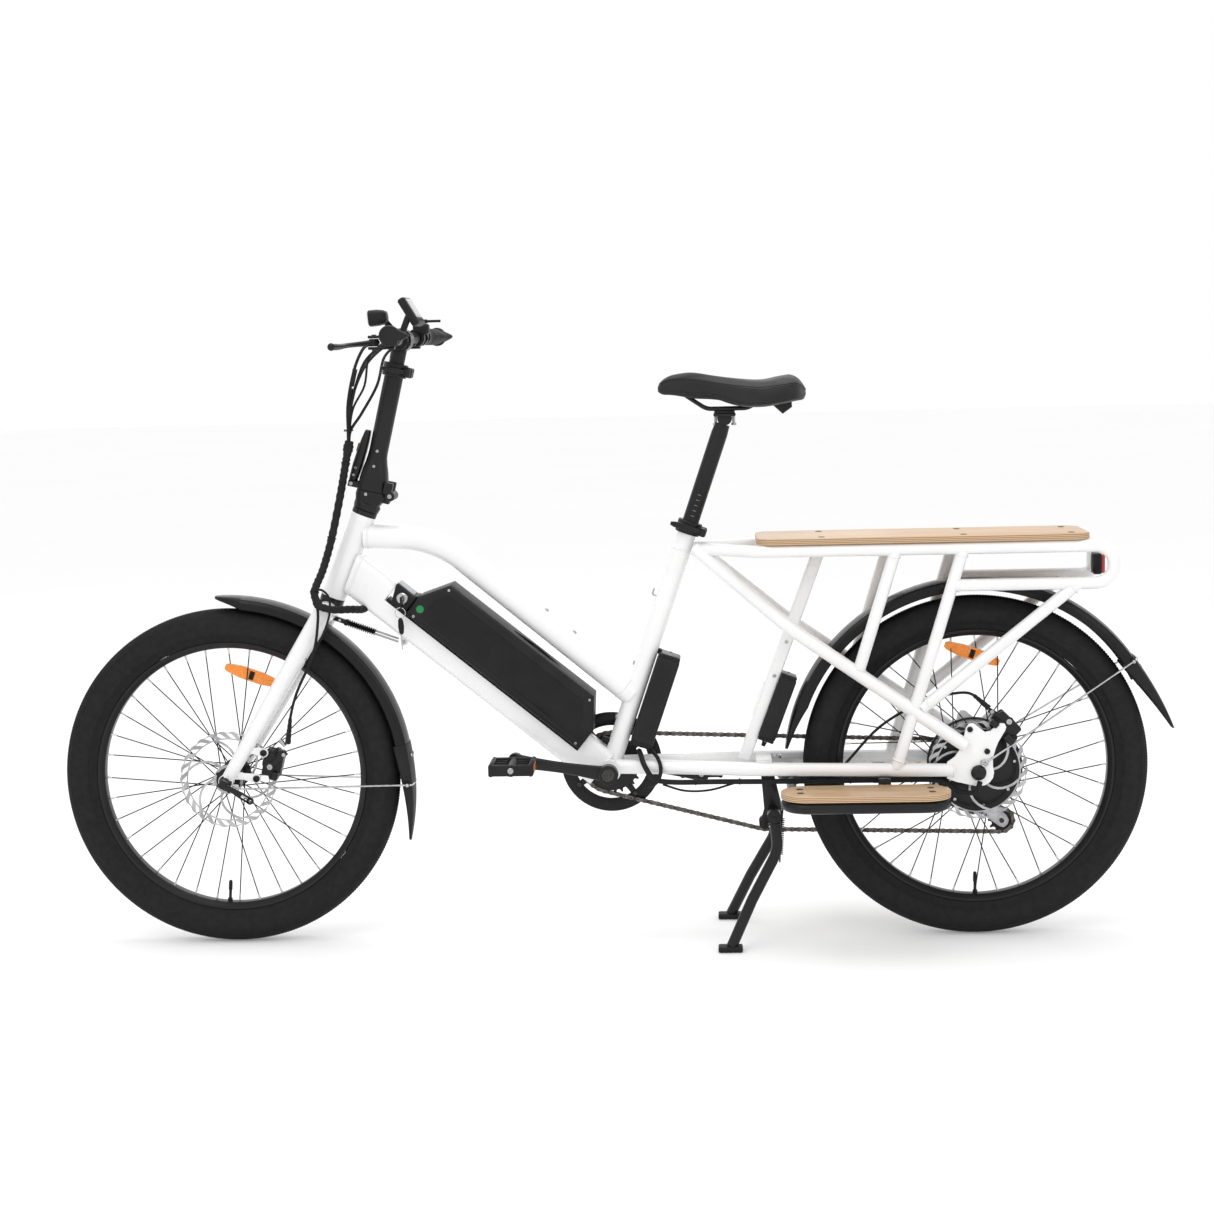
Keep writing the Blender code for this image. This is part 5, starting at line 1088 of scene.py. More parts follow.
def make_board(name, node, outline, low, high, bolts):
    """A varnished plywood board: veneer on both faces, sawn plies round its edge and recessed bolts."""
    shape = bmesh.new()
    places = [at(behind, side, low) for behind, side in outline]
    part = bmesh.new()
    face = part.faces.new([part.verts.new(place) for place in places])
    made = bmesh.ops.extrude_face_region(part, geom=[face])
    moved = [item for item in made["geom"] if isinstance(item, bmesh.types.BMVert)]
    bmesh.ops.translate(part, vec=UPWARDS * (high - low), verts=moved)
    rims = [edge for edge in part.edges if abs(edge.verts[0].co.z - edge.verts[1].co.z) < 0.0001]
    bmesh.ops.bevel(part, geom=rims, offset=0.0016, segments=3, profile=0.5, affect="EDGES")
    bmesh.ops.recalc_face_normals(part, faces=part.faces)
    mesh = bpy.data.meshes.new("part")
    for board_face in part.faces:
        board_face.material_index = 0 if abs(board_face.normal.z) > 0.6 else 1
    part.to_mesh(mesh)
    part.free()
    shape.from_mesh(mesh)
    bpy.data.meshes.remove(mesh)
    for behind, side in bolts:
        dish = [(0.0062, -0.0006), (0.0062, 0.0006), (0.0050, 0.0009), (0.0032, 0.0004), (0.0, 0.0004)]
        add_lathe(shape, dish, at(behind, side, high - 0.0002), UPWARDS, 24, 2, False)
    return make_piece(shape, name, "frame", [WOOD, WOOD_EDGE, DARK_STEEL], [node])


def make_boards():
    low = RAIL_UP + RAIL_RADIUS + 0.0004
    outline = round_outline(0.977, 1.567, -0.088, 0.088, 0.030)
    bolts = [(behind, side * 0.060) for behind in (1.093, 1.345, 1.535) for side in (-1, 1)]
    make_board("deck_board_look", "deck_board", outline, low, low + 0.0116, bolts)
    for side, node in ((-1, "footboard_left"), (1, "footboard_right")):
        inner, outer = sorted((side * 0.088, side * 0.190))
        outline = round_outline(1.012, 1.312, inner, outer, 0.049)
        bolts = [(1.046, side * 0.122), (1.046, side * 0.156), (1.278, side * 0.122), (1.278, side * 0.156)]
        make_board(node + "_look", node, outline, 0.2842, 0.2958, bolts)


def make_footboard_frame():
    shape = bmesh.new()
    tube_radius, up = 0.0105, 0.2731
    front, rear, inner, outer = 1.022, 1.302, 0.098, 0.180
    turn, middle = (outer - inner) / 2, (outer + inner) / 2
    for side in (-1, 1):
        path = []
        for degrees in range(-90, 91, 9):
            angle = math.radians(degrees)
            path.append(at(rear - turn + turn * math.cos(angle),
                side * (middle + turn * math.sin(angle)), up))
        for degrees in range(90, 271, 9):
            angle = math.radians(degrees)
            path.append(at(front + turn + turn * math.cos(angle),
                side * (middle + turn * math.sin(angle)), up))
        add_tube(shape, path, tube_radius, 0, 24, closed=True)
        add_block(shape, at(1.200, side * 0.084, up), (0.022, 0.034, 0.012), bevel=0.001)
        add_block(shape, at(1.200, side * 0.077, up + 0.013), (0.022, 0.018, 0.036), bevel=0.001)
        add_bolt(shape, at(1.200, side * 0.0858, up + 0.0120), SIDEWAYS * side, 0.0045, 0.003, 1)
    cross = [at(1.060, -inner, up), at(1.036, -inner + 0.03, up), at(1.036, inner - 0.03, up),
        at(1.060, inner, up)]
    add_tube(shape, rounded(cross, 0.03, math.radians(6)), 0.0090, 0, 20)
    make_piece(shape, "footboard_frame_look", "frame", [BLACK_GLOSS, STEEL], ["footboard_frame"])


def make_boxes():
    """The motor controller behind the seat tube and the converter behind the middle strut."""
    shape = bmesh.new()
    centre = CRANK_AXIS + SEAT_LINE * 0.1475 + SEAT_REAR * 0.0405
    add_block(shape, centre, (0.166, 0.060, 0.042), SEAT_LINE, 0.006, 0, 4)
    for end in (-1, 1):
        add_block(shape, centre + SEAT_LINE * end * 0.0825, (0.013, 0.058, 0.040), SEAT_LINE, 0.004, 1, 3)
        for side in (-1, 1):
            place = centre + SEAT_LINE * end * 0.0888 + SIDEWAYS * side * 0.022
            add_bolt(shape, place, SEAT_LINE * end, 0.0026, 0.0010, 2)
    for row in range(-3, 4):
        rib = centre + SEAT_REAR * (0.0040 * row) - SIDEWAYS * 0.0300
        add_block(shape, rib, (0.140, 0.0008, 0.0016), SEAT_LINE, 0.0003, 0)
    make_piece(shape, "motor_controller_look", "frame", [ANODISED, PLASTIC_SMOOTH, STEEL],
        ["motor_controller"])
    shape = bmesh.new()
    foot, head = at(0.9485, 0, 0.3380), at(1.093, 0, RAIL_UP)
    line = (head - foot).normalized()
    across = Vector((line.z, 0, -line.x))
    middle = foot + line * 0.104 + across * 0.0273
    add_block(shape, middle, (0.118, 0.048, 0.032), line, 0.003, 0, 3)
    for end in (-1, 1):
        add_block(shape, middle + line * end * 0.0615, (0.0070, 0.046, 0.030), line, 0.002, 1, 2)
        for side in (-1, 1):
            place = middle + line * end * 0.0650 + SIDEWAYS * side * 0.017
            add_bolt(shape, place, line * end, 0.0024, 0.0010, 2)
    for row in range(-2, 3):
        add_block(shape, middle + across * (0.0052 * row) - SIDEWAYS * 0.0240, (0.112, 0.0008, 0.0022),
            line, 0.0003, 0)
    gland = middle - line * 0.0640 - SIDEWAYS * 0.006
    add_rod(shape, gland, gland - line * 0.012, 0.0050, 0.0036, 3)
    make_piece(shape, "power_converter_look", "frame", [ANODISED, PLASTIC_SMOOTH, STEEL, RUBBER],
        ["power_converter"])


def battery_outline():
    return [
        (BATTERY_START, 0.0055), (BATTERY_END, 0.0055), (BATTERY_END, 0.050), (0.489, 0.1005),
        (0.158, 0.0990),
        (BATTERY_START, 0.046),
    ]


def make_battery():
    """The pack: a two-part case with a seam, a recessed handle, a charging flap and a status light."""
    shape = bmesh.new()
    outline = [down_tube_place(along, above, -BATTERY_HALF_WIDTH) for along, above in battery_outline()]
    add_plate(shape, outline, SIDEWAYS * 2 * BATTERY_HALF_WIDTH, 0.006, 0, 4)
    inner = [
        (0.152, 0.020), (0.500, 0.020), (0.500, 0.050), (0.478, 0.083), (0.168, 0.083), (0.152, 0.056),
    ]
    for side in (-1, 1):
        panel = [down_tube_place(along, above, side * (BATTERY_HALF_WIDTH - 0.0004)) for along,
            above in inner]
        add_plate(shape, panel, SIDEWAYS * side * 0.0010, 0.0007, 1, 2)
    add_block(shape, down_tube_place(0.326, 0.0118), (0.392, 0.0826, 0.0012), DOWN_LINE, 0.0003, 2)
    light = down_tube_place(0.1415, 0.0300, -BATTERY_HALF_WIDTH + 0.0004)
    add_lathe(shape, [(0.0070, 0.0), (0.0070, 0.0008), (0.0056, 0.0011), (0.0, 0.0011)], light,
        -SIDEWAYS, 28, 3, False)
    flap = down_tube_place(0.512, 0.0300, -BATTERY_HALF_WIDTH + 0.0002)
    add_block(shape, flap, (0.018, 0.0018, 0.024), DOWN_LINE, 0.0007, 4, 2)
    grip = [down_tube_place(0.300 + 0.110 * i / 10,
        0.0985 + 0.0035 * math.sin(math.pi * i / 10)) for i in range(11)]
    add_tube(shape, grip, 0.0030, 4, 12, flatten=0.6)
    for along, above in ((0.162, 0.0900), (0.486, 0.0910), (0.515, 0.0120), (0.140, 0.0120)):
        add_bolt(shape, down_tube_place(along, above, -BATTERY_HALF_WIDTH + 0.0003), -SIDEWAYS, 0.0024,
            0.0008, 5)
    paints = [PLASTIC, PLASTIC_SMOOTH, RUBBER, GREEN_DOT, RUBBER, STEEL]
    make_piece(shape, "battery_look", "battery_pack", paints, ["battery"])


def make_battery_cradle():
    shape = bmesh.new()
    add_block(shape, down_tube_place(0.3040, 0.0027), (0.445, 0.044, 0.0046), DOWN_LINE, 0.0010, 0)
    housing = [
        (0.0930, 0.003), (0.1245, 0.003), (0.1245, 0.044), (0.1180, 0.040), (0.0800, 0.040),
        (0.0790, 0.036),
    ]
    outline = [down_tube_place(along, above, -0.030) for along, above in housing]
    add_plate(shape, outline, SIDEWAYS * 0.060, 0.004, 0, 3)
    add_block(shape, down_tube_place(0.0985, 0.0405), (0.0360, 0.0400, 0.0020), DOWN_LINE, 0.0008, 2)
    lock = down_tube_place(0.104, 0.024)
    barrel = [(0.0044, 0.037), (0.0090, 0.037), (0.0105, 0.0355), (0.0105, 0.0), (0.0044, 0.0)]
    add_lathe(shape, barrel, lock, -SIDEWAYS, 36, 1)
    make_piece(shape, "battery_cradle_look", "frame", [PLASTIC, BRIGHT_STEEL, GREY_PLASTIC],
        ["battery_cradle"])


def make_battery_key():
    """The key, with its moulded grip, the split ring through it and the spare key that hangs on the ring."""
    shape = bmesh.new()
    lock = down_tube_place(0.104, 0.024)
    add_cross_rod(shape, lock, -0.0410, -0.0160, 0.0032, 0, 16)
    add_block(shape, lock + Vector((0, -0.0478, -0.0055)), (0.0200, 0.0170, 0.0030), (0, 0, 1), 0.0012,
        1, 3)
    ring_centre = lock + Vector((-0.002, -0.0520, -0.0240))
    ring = [ring_centre + Vector((0.0095 * math.cos(a), 0, 0.0095 * math.sin(a))) for a in turn_angles(28)]
    add_tube(shape, ring, 0.0007, 0, 8, closed=True)
    spare = []
    for share, half_width in ((0.0, 0.0020), (0.15, 0.0046), (0.55, 0.0056), (0.90, 0.0044), (1.0, 0.0024)):
        centre = ring_centre + Vector((0.0015 * share, 0, -0.0090 - 0.0300 * share))
        spare.append(flat_ring(centre, Vector((1, 0, 0)), half_width, 0.0022))
    add_rings(shape, spare, 1)
    blade = ring_centre + Vector((0.0015, 0, -0.0520))
    add_block(shape, blade, (0.0300, 0.0014, 0.0024), (0.03, 0, -1), 0.0003, 0)
    make_piece(shape, "battery_key_look", "lock_key", [BRIGHT_STEEL, PLASTIC_SMOOTH], ["battery_key"])


def make_rear_light():
    """A red lens in a black housing, clipped to the rear bracket."""
    shape = bmesh.new()
    centre = at(1.5900, 0, 0.6800)
    add_block(shape, centre - Vector((0.0030, 0, 0)), (0.0160, 0.0580, 0.0380), bevel=0.004, paint=1,
        segments=3)
    add_block(shape, centre + Vector((0.0060, 0, 0)), (0.0098, 0.0540, 0.0340), bevel=0.004, paint=0,
        segments=4)
    for up in (-0.0085, 0.0085):
        add_block(shape, centre + Vector((0.0104, 0, up)), (0.0012, 0.0440, 0.0016), bevel=0.0004, paint=1)
    make_piece(shape, "rear_light_look", "frame", [RED_LENS, PLASTIC_SMOOTH], ["rear_light"])


def make_equipment():
    make_boards()
    make_footboard_frame()
    make_boxes()
    make_battery()
    make_battery_cradle()
    make_battery_key()
    make_rear_light()


# ---------------------------------------------------------------- mudguards
def guard_ring(centre, degrees, radius, half, depth=1.0):
    """The rolled section of a mudguard: a crowned channel with a deep skirt on each side."""
    shape = [(-1.0, -0.0215), (-0.995, -0.0140), (-0.96, -0.0078), (-0.85, -0.0040), (-0.6, -0.0020),
        (-0.3, -0.0006), (0.0, 0.0)]
    shape += [(-across, drop) for across, drop in shape[-2::-1]]
    outer = [on_circle(centre, radius + drop * depth, degrees, half * across) for across, drop in shape]
    inner = [
        on_circle(centre, radius + drop * depth - 0.0020, degrees, half * across * 0.94) for across,
        drop in shape
    ]
    return outer + inner[::-1]


def add_guard(shape, centre, start, end, radius, flap_end):
    """The long strip and the flared flap that is riveted over its end."""
    half, steps = 0.031, 60
    strip = []
    for i in range(steps + 1):
        tip = min(1.0, i / 6)
        strip.append(guard_ring(
            centre, start + (end - start) * i / steps, radius, half * (0.35 + 0.65 * math.sqrt(tip)),
            0.15 + 0.85 * tip
        ))
    add_rings(shape, strip, 0)
    flap = []
    for i in range(13):
        share = i / 12
        degrees = end + 8 - (end + 8 - flap_end[0]) * share
        flare = radius + 0.0014 + (flap_end[1] - radius - 0.0014) * share**1.8
        width = half * (1.06 - 0.84 * share**2.4)
        flap.append(guard_ring(centre, degrees, flare, width, 1.22 - 1.12 * share**1.5))
    add_rings(shape, flap, 1)
    for side in (-0.012, 0.012):
        place = on_circle(centre, radius + 0.0006, end + 4, side)
        add_bolt(shape, place, place - Vector((centre.x, side, centre.z)), 0.0034, 0.0016, 2)


def add_stay(shape, centre, radius, degrees, foot, paint):
    """The wire stay: two legs and the bend that clips round the back of the guard."""
    half = 0.0325
    legs = []
    for side in (-1, 1):
        start = Vector((foot.x, side * foot.y, foot.z))
        rim_place = on_circle(centre, radius - 0.0060, degrees, side * half)
        legs.append([start, rim_place])
        eye = [start + Vector((0.0055 * math.cos(a), 0, 0.0055 * math.sin(a))) for a in
               [2 * math.pi * i / 12 for i in range(12)]]
        add_tube(shape, eye, 0.0016, paint, 8, closed=True)
        clip = on_circle(centre, radius - 0.0070, degrees, side * 0.0322)
        out = (clip - Vector((centre.x, clip.y, centre.z))).normalized()
        add_block(shape, clip, (0.0090, 0.0050, 0.0100), out, 0.0010, 3)
        add_bolt(shape, clip + SIDEWAYS * side * 0.0024, SIDEWAYS * side, 0.0032, 0.0020, 2)
    bend = [
        on_circle(centre, radius - 0.0035, degrees, -half),
        on_circle(centre, radius + 0.0008, degrees, -0.0290),
        on_circle(centre, radius + 0.0022, degrees, -0.0150),
        on_circle(centre, radius + 0.0026, degrees, 0),
        on_circle(centre, radius + 0.0022, degrees, 0.0150),
        on_circle(centre, radius + 0.0008, degrees, 0.0290),
        on_circle(centre, radius - 0.0035, degrees, half),
    ]
    wire = [legs[0][0], legs[0][1], *smooth_path(bend, 5), legs[1][1], legs[1][0]]
    add_tube(shape, wire, 0.0018, paint, 10)


def make_mudguards():
    paints = [PLASTIC_SMOOTH, PLASTIC, BRIGHT_STEEL, PLASTIC]
    shape = bmesh.new()
    add_guard(shape, FRONT_AXLE, 93, 2, 0.337, (-21, 0.353))
    add_stay(shape, FRONT_AXLE, 0.337, -3, at(0.018, 0.0695, 0.3000), 2)
    make_piece(shape, "front_mudguard_look", "steering", paints, ["front_mudguard"])
    shape = bmesh.new()
    add_guard(shape, REAR_AXLE, 174, 27, 0.347, (10, 0.366))
    add_stay(shape, REAR_AXLE, 0.347, 34, at(1.3790, 0.0800, 0.3300), 2)
    make_piece(shape, "rear_mudguard_look", "frame", paints, ["rear_mudguard"])


# ---------------------------------------------------------------- fork and brakes
def make_fork():
    shape = bmesh.new()
    crown = HEAD_CENTRE - STEERING * (HEAD_TUBE_HALF + 0.0265)
    add_rod(shape, crown, HEAD_CENTRE + STEERING * (HEAD_TUBE_HALF + 0.020), 0.0143, paint=2, sides=24)
    race_low = -(HEAD_TUBE_HALF + 0.0265)
    race = [
        (0.0140, race_low), (0.0215, race_low + 0.004), (0.0215, race_low + 0.0170),
        (0.0222, race_low + 0.0185),
        (0.0222, race_low + 0.0258), (0.0140, race_low + 0.0258),
    ]
    add_lathe(shape, race, HEAD_CENTRE, STEERING, 48, 1)
    crown_path = []
    crown_sizes = []
    for i in range(17):
        side = -0.056 + 0.112 * i / 16
        crown_path.append(Vector((crown.x, side, crown.z)))
        ends = math.sqrt(max(0.0, 1 - (abs(side) / 0.0585) ** 10))
        crown_sizes.append(0.0190 * ends)
    add_tube(shape, crown_path, crown_sizes, 0, 32)
    for side in (-1, 1):
        top = Vector((crown.x, side * 0.0540, crown.z)) + STEERING * 0.006
        foot = at(0.004, side * 0.0615, 0.3190)
        path = [top + STEERING * 0.008, top + STEERING * 0.006, top]
        sizes = [0.0140, 0.0172, 0.0180]
        for i in range(1, 13):
            share = i / 12
            path.append(top.lerp(foot, share))
            sizes.append(0.0180 - 0.0060 * share**1.6)
        add_tube(shape, path, sizes, 0, 32)
        ring = [
            (0.0054, side * 0.0500), (0.0125, side * 0.0500), (0.0135, side * 0.0510),
            (0.0135, side * 0.0668),
            (0.0125, side * 0.0680), (0.0054, side * 0.0680),
        ]
        add_lathe(shape, ring, FRONT_AXLE, SIDEWAYS, 40, 0)
        eyelet = at(0.014, side * 0.0640, 0.3020)
        add_block(shape, eyelet, (0.018, 0.006, 0.011), bevel=0.002, segments=3)
        add_bolt(shape, at(0.018, side * 0.0668, 0.3000), SIDEWAYS * side, 0.0042, 0.0036, 2)
    for root, tip in (((0.034, 0.374), (0.0720, 0.3655)), ((0.010, 0.326), (0.0570, 0.3180))):
        add_lug(shape, at(root[0], 0, root[1]), at(tip[0], 0, tip[1]), 0.0085, -0.0640, -0.0585, 0)
        add_bolt(shape, at(tip[0], -0.0640, tip[1]), -SIDEWAYS, 0.0062, 0.0044, 1)
    add_cross_rod(shape, FRONT_AXLE, -0.080, 0.080, 0.005, 2)
    nut = [(0.0045, 0.0682), (0.0120, 0.0682), (0.0120, 0.0700), (0.0095, 0.0715), (0.0088, 0.0780),
        (0.0045, 0.0790)]
    add_lathe(shape, nut, FRONT_AXLE, SIDEWAYS, 36, 1)
    near = [(radius, -along) for radius, along in nut[:4]] + [(0.0088, -0.0790), (0.0045, -0.0795)]
    add_lathe(shape, near, FRONT_AXLE, SIDEWAYS, 36, 1)
    bracket = at(0.2115, 0, 0.6002)
    add_block(shape, bracket, (0.0260, 0.0130, 0.0080), (0.939, 0, -0.345), 0.0015, 1)
    add_bolt(shape, bracket - SIDEWAYS * 0.0065, -SIDEWAYS, 0.0028, 0.0020, 2)
    clip = at(0.1540, -0.0640, 0.5350)
    add_block(shape, clip, (0.0100, 0.0060, 0.0070), STEERING, 0.0015, 2)
    make_piece(shape, "fork_look", "steering", [WHITE, BLACK_GLOSS, BRIGHT_STEEL], ["fork"])


def add_caliper(shape, centre, inner, outer, slot, slope):
    """A mechanical disc caliper: two halves either side of the rotor, pad adjusters and mounting ears."""
    line = Vector((math.cos(slope), 0, math.sin(slope)))
    rise = line.cross(SIDEWAYS) * -1
    towards = 1 if inner > outer else -1
    for face, edge in ((inner, slot + 0.0022 * towards), (slot - 0.0022 * towards, outer)):
        middle = Vector((centre.x, (face + edge) / 2, centre.z))
        add_block(shape, middle, (0.050, abs(face - edge), 0.034), line, 0.0045, 0, 3)
    bridge = Vector((centre.x, (inner + outer) / 2, centre.z)) + rise * 0.0130
    add_block(shape, bridge, (0.030, abs(outer - inner) - 0.004, 0.0090), line, 0.0030, 0, 3)
    face = Vector((centre.x, outer, centre.z))
    adjuster = [(0.0130, -0.001), (0.0130, 0.0016), (0.0118, 0.0026), (0.0075, 0.0026),
        (0.0070, 0.0008), (0.0, 0.0008)]
    add_lathe(shape, adjuster, face - line * 0.002, SIDEWAYS * (-1 if outer < 0 else 1), 28, 0, False)
    add_bolt(shape, face - line * 0.002, -SIDEWAYS, 0.0036, 0.0018, 1)
    add_block(shape, face + line * 0.0200 + rise * 0.0120, (0.0200, 0.0200, 0.0140), line, 0.0035, 0, 3)
    add_block(shape, face - line * 0.0200 + rise * 0.0100, (0.0160, 0.0220, 0.0120), line, 0.0035, 0, 3)
    add_lathe(shape, [(0.0185, 0.0), (0.0185, 0.0016), (0.0160, 0.0030), (0.0, 0.0030)], face,
        -SIDEWAYS, 32, 2, False)
    for number in range(10):
        notch = on_circle(face, 0.0165, number * 36, outer - 0.0024)
        add_cross_rod(shape, notch, outer - 0.0036, outer, 0.0020, 0, 10)
    for share in (-1, 1):
        ear = Vector((centre.x, outer + 0.0080, centre.z)) + line * share * 0.0240 + rise * 0.0040
        add_lathe(shape, [(0.0066, -0.007), (0.0066, 0.006), (0.0058, 0.007), (0.0, 0.007)], ear,
            -SIDEWAYS, 24, 0, False)
        add_bolt(shape, ear - SIDEWAYS * 0.0066, -SIDEWAYS, 0.0046, 0.0034, 2)
        rib = face + line * share * 0.0150 + rise * 0.0050
        add_block(shape, rib, (0.0040, 0.0030, 0.0180), line + rise * 0.35 * share, 0.0008, 0)


def make_calipers():
    paints = [BLACK_GLOSS, STEEL, ANODISED]
    shape = bmesh.new()
    add_caliper(shape, at(0.0860, 0, 0.3440), -0.0270, -0.0580, -0.0430, math.radians(75))
    add_rod(shape, at(0.1030, -0.0640, 0.3900), at(0.1130, -0.0650, 0.3780), 0.0045, 0.0034, 1)
    make_piece(shape, "front_caliper_look", "steering", paints, ["front_caliper"])
    shape = bmesh.new()
    add_caliper(shape, at(1.4180, 0, 0.3940), -0.0370, -0.0680, -0.0520, math.radians(-45))
    make_piece(shape, "rear_caliper_look", "frame", paints, ["rear_caliper"])


def make_caliper_arm(name, node, body, pivot, end, left, right):
    """The forged arm that the cable pulls, with its boss and the bolt that pinches the cable."""
    shape = bmesh.new()
    middle = (left + right) / 2
    boss = [(0.0075, left), (0.0085, left + 0.0008), (0.0085, right - 0.0008), (0.0075, right)]
    add_lathe(shape, boss + [(0.0002, right), (0.0002, left)], pivot, SIDEWAYS, 32, 0)
    start = Vector((pivot.x, middle, pivot.z))
    tip = Vector((end.x, middle, end.z))
    line = (tip - start).normalized()
    size = ((tip - start).length + 0.008, right - left - 0.0004, 0.0090)
    add_block(shape, (start + tip) / 2, size, line, 0.0014, 0, 3)
    add_bolt(shape, Vector((pivot.x, left, pivot.z)), -SIDEWAYS, 0.0050, 0.0016, 1)
    add_bolt(shape, Vector((tip.x, left, tip.z)) - line * 0.003, -SIDEWAYS, 0.0036, 0.0018, 1)
    make_piece(shape, name, body, [ANODISED, STEEL], [node])


def make_quick_release():
    """The front axle's lever: a cam head and a curved blade with a slot near its tip."""
    shape = bmesh.new()
    start = QUICK_RELEASE - SIDEWAYS * 0.0025
    end = start + Vector((0.054, 0, -0.034))
    line = (end - start).normalized()
    cam_axis = line.cross(SIDEWAYS)
    cam = [(0.0060, -0.0080), (0.0075, -0.0070), (0.0075, 0.0070), (0.0060, 0.0080), (0.0, 0.0080),
        (0.0, -0.0080)]
    add_lathe(shape, cam, QUICK_RELEASE, cam_axis, 32, 0)
    rings = []
    for share, half_width, half_thick in ((0.04, 0.0042, 0.0028), (0.25, 0.0046, 0.0024),
        (0.45, 0.0058, 0.0020), (0.62, 0.0066, 0.0018)):
        rings.append(flat_ring(start.lerp(end, share), cam_axis, half_width, half_thick))
    add_rings(shape, rings, 0)
    for side in (-1, 1):
        arm = [start.lerp(end, 0.58) + cam_axis * side * 0.0044,
            start.lerp(end, 0.90) + cam_axis * side * 0.0044]
        add_strip(shape, arm, 0.0032, 0.0036, 0)
    tip = [(0.0066, -0.0018), (0.0066, 0.0018), (0.0024, 0.0018), (0.0024, -0.0018)]
    add_lathe(shape, tip, start.lerp(end, 0.91), SIDEWAYS, 28, 0)
    make_piece(shape, "front_quick_release_look", "axle_lever", [BLACK_GLOSS], ["front_quick_release"])


def flat_ring(centre, across, half_width, half_thick, deep=None, sides=16, power=0.7):
    """A squarish oval ring of points, for the sections of a lever or a moulded part."""
    deep = SIDEWAYS if deep is None else deep
    ring = []
    for i in range(sides):
        angle = 2 * math.pi * i / sides
        cosine, sine = math.cos(angle), math.sin(angle)
        wide = math.copysign(abs(cosine) ** power, cosine) * half_width
        thick = math.copysign(abs(sine) ** power, sine) * half_thick
        ring.append(centre + across * wide + deep * thick)
    return ring


def make_brakes():
    make_calipers()
    make_caliper_arm(
        "front_caliper_arm_look", "front_caliper_arm", "front_brake_arm", FRONT_ARM_PIVOT,
        at(0.1120, 0, 0.3640), -0.0680, -0.0644,
    )
    make_caliper_arm(
        "rear_caliper_arm_look", "rear_caliper_arm", "rear_brake_arm", REAR_ARM_PIVOT,
        at(1.3900, 0, 0.4240), -0.0735, -0.0690,
    )
    make_quick_release()


# ---------------------------------------------------------------- folding handlepost
def stem_place(level):
    return POST_FOOT + POST_LINE * level


def make_handlepost_base():
    shape = bmesh.new()
    start = HEAD_CENTRE + STEERING * (HEAD_TUBE_HALF + 0.0003)
    collar = [
        (0.0148, 0.0), (0.0222, 0.0), (0.0228, 0.0008), (0.0228, 0.0070), (0.0218, 0.0080),
        (0.0236, 0.0095),
        (0.0248, 0.0180), (0.0235, 0.0210), (0.0148, 0.0210),
    ]
    add_lathe(shape, collar, start, STEERING, 44, 0)
    top = POST_FOOT - POST_LINE * 0.0006
    low = start + STEERING * 0.014
    rings = []
    for share, half_depth, half_width in ((0.0, 0.020, 0.0200), (0.35, 0.024, 0.0222),
        (0.75, 0.0285, 0.0228), (1.0, 0.0290, 0.0230)):
        centre = low.lerp(top, share) + POST_REAR * 0.0050 * share
        rings.append(flat_ring(centre, POST_REAR, half_depth, half_width, sides=28, power=0.55))
    add_rings(shape, rings, 0)
    knuckle = [(0.0041, -0.011), (0.0086, -0.011), (0.0090, -0.0106), (0.0090, 0.0106), (0.0086, 0.011),
        (0.0041, 0.011)]
    add_lathe(shape, knuckle, FOLD_PIVOT, SIDEWAYS, 32, 0)
    add_block(shape, FOLD_PIVOT - POST_REAR * 0.010 - POST_LINE * 0.010, (0.012, 0.0216, 0.018),
        POST_LINE, 0.001, 0)
    bolt_place = low.lerp(top, 0.80) - SIDEWAYS * 0.0222 - POST_REAR * 0.004
    add_bolt(shape, bolt_place, -SIDEWAYS, 0.0030, 0.0024, 1)
    make_piece(shape, "handlepost_base_look", "steering", [ANODISED, STEEL], ["handlepost_base"])


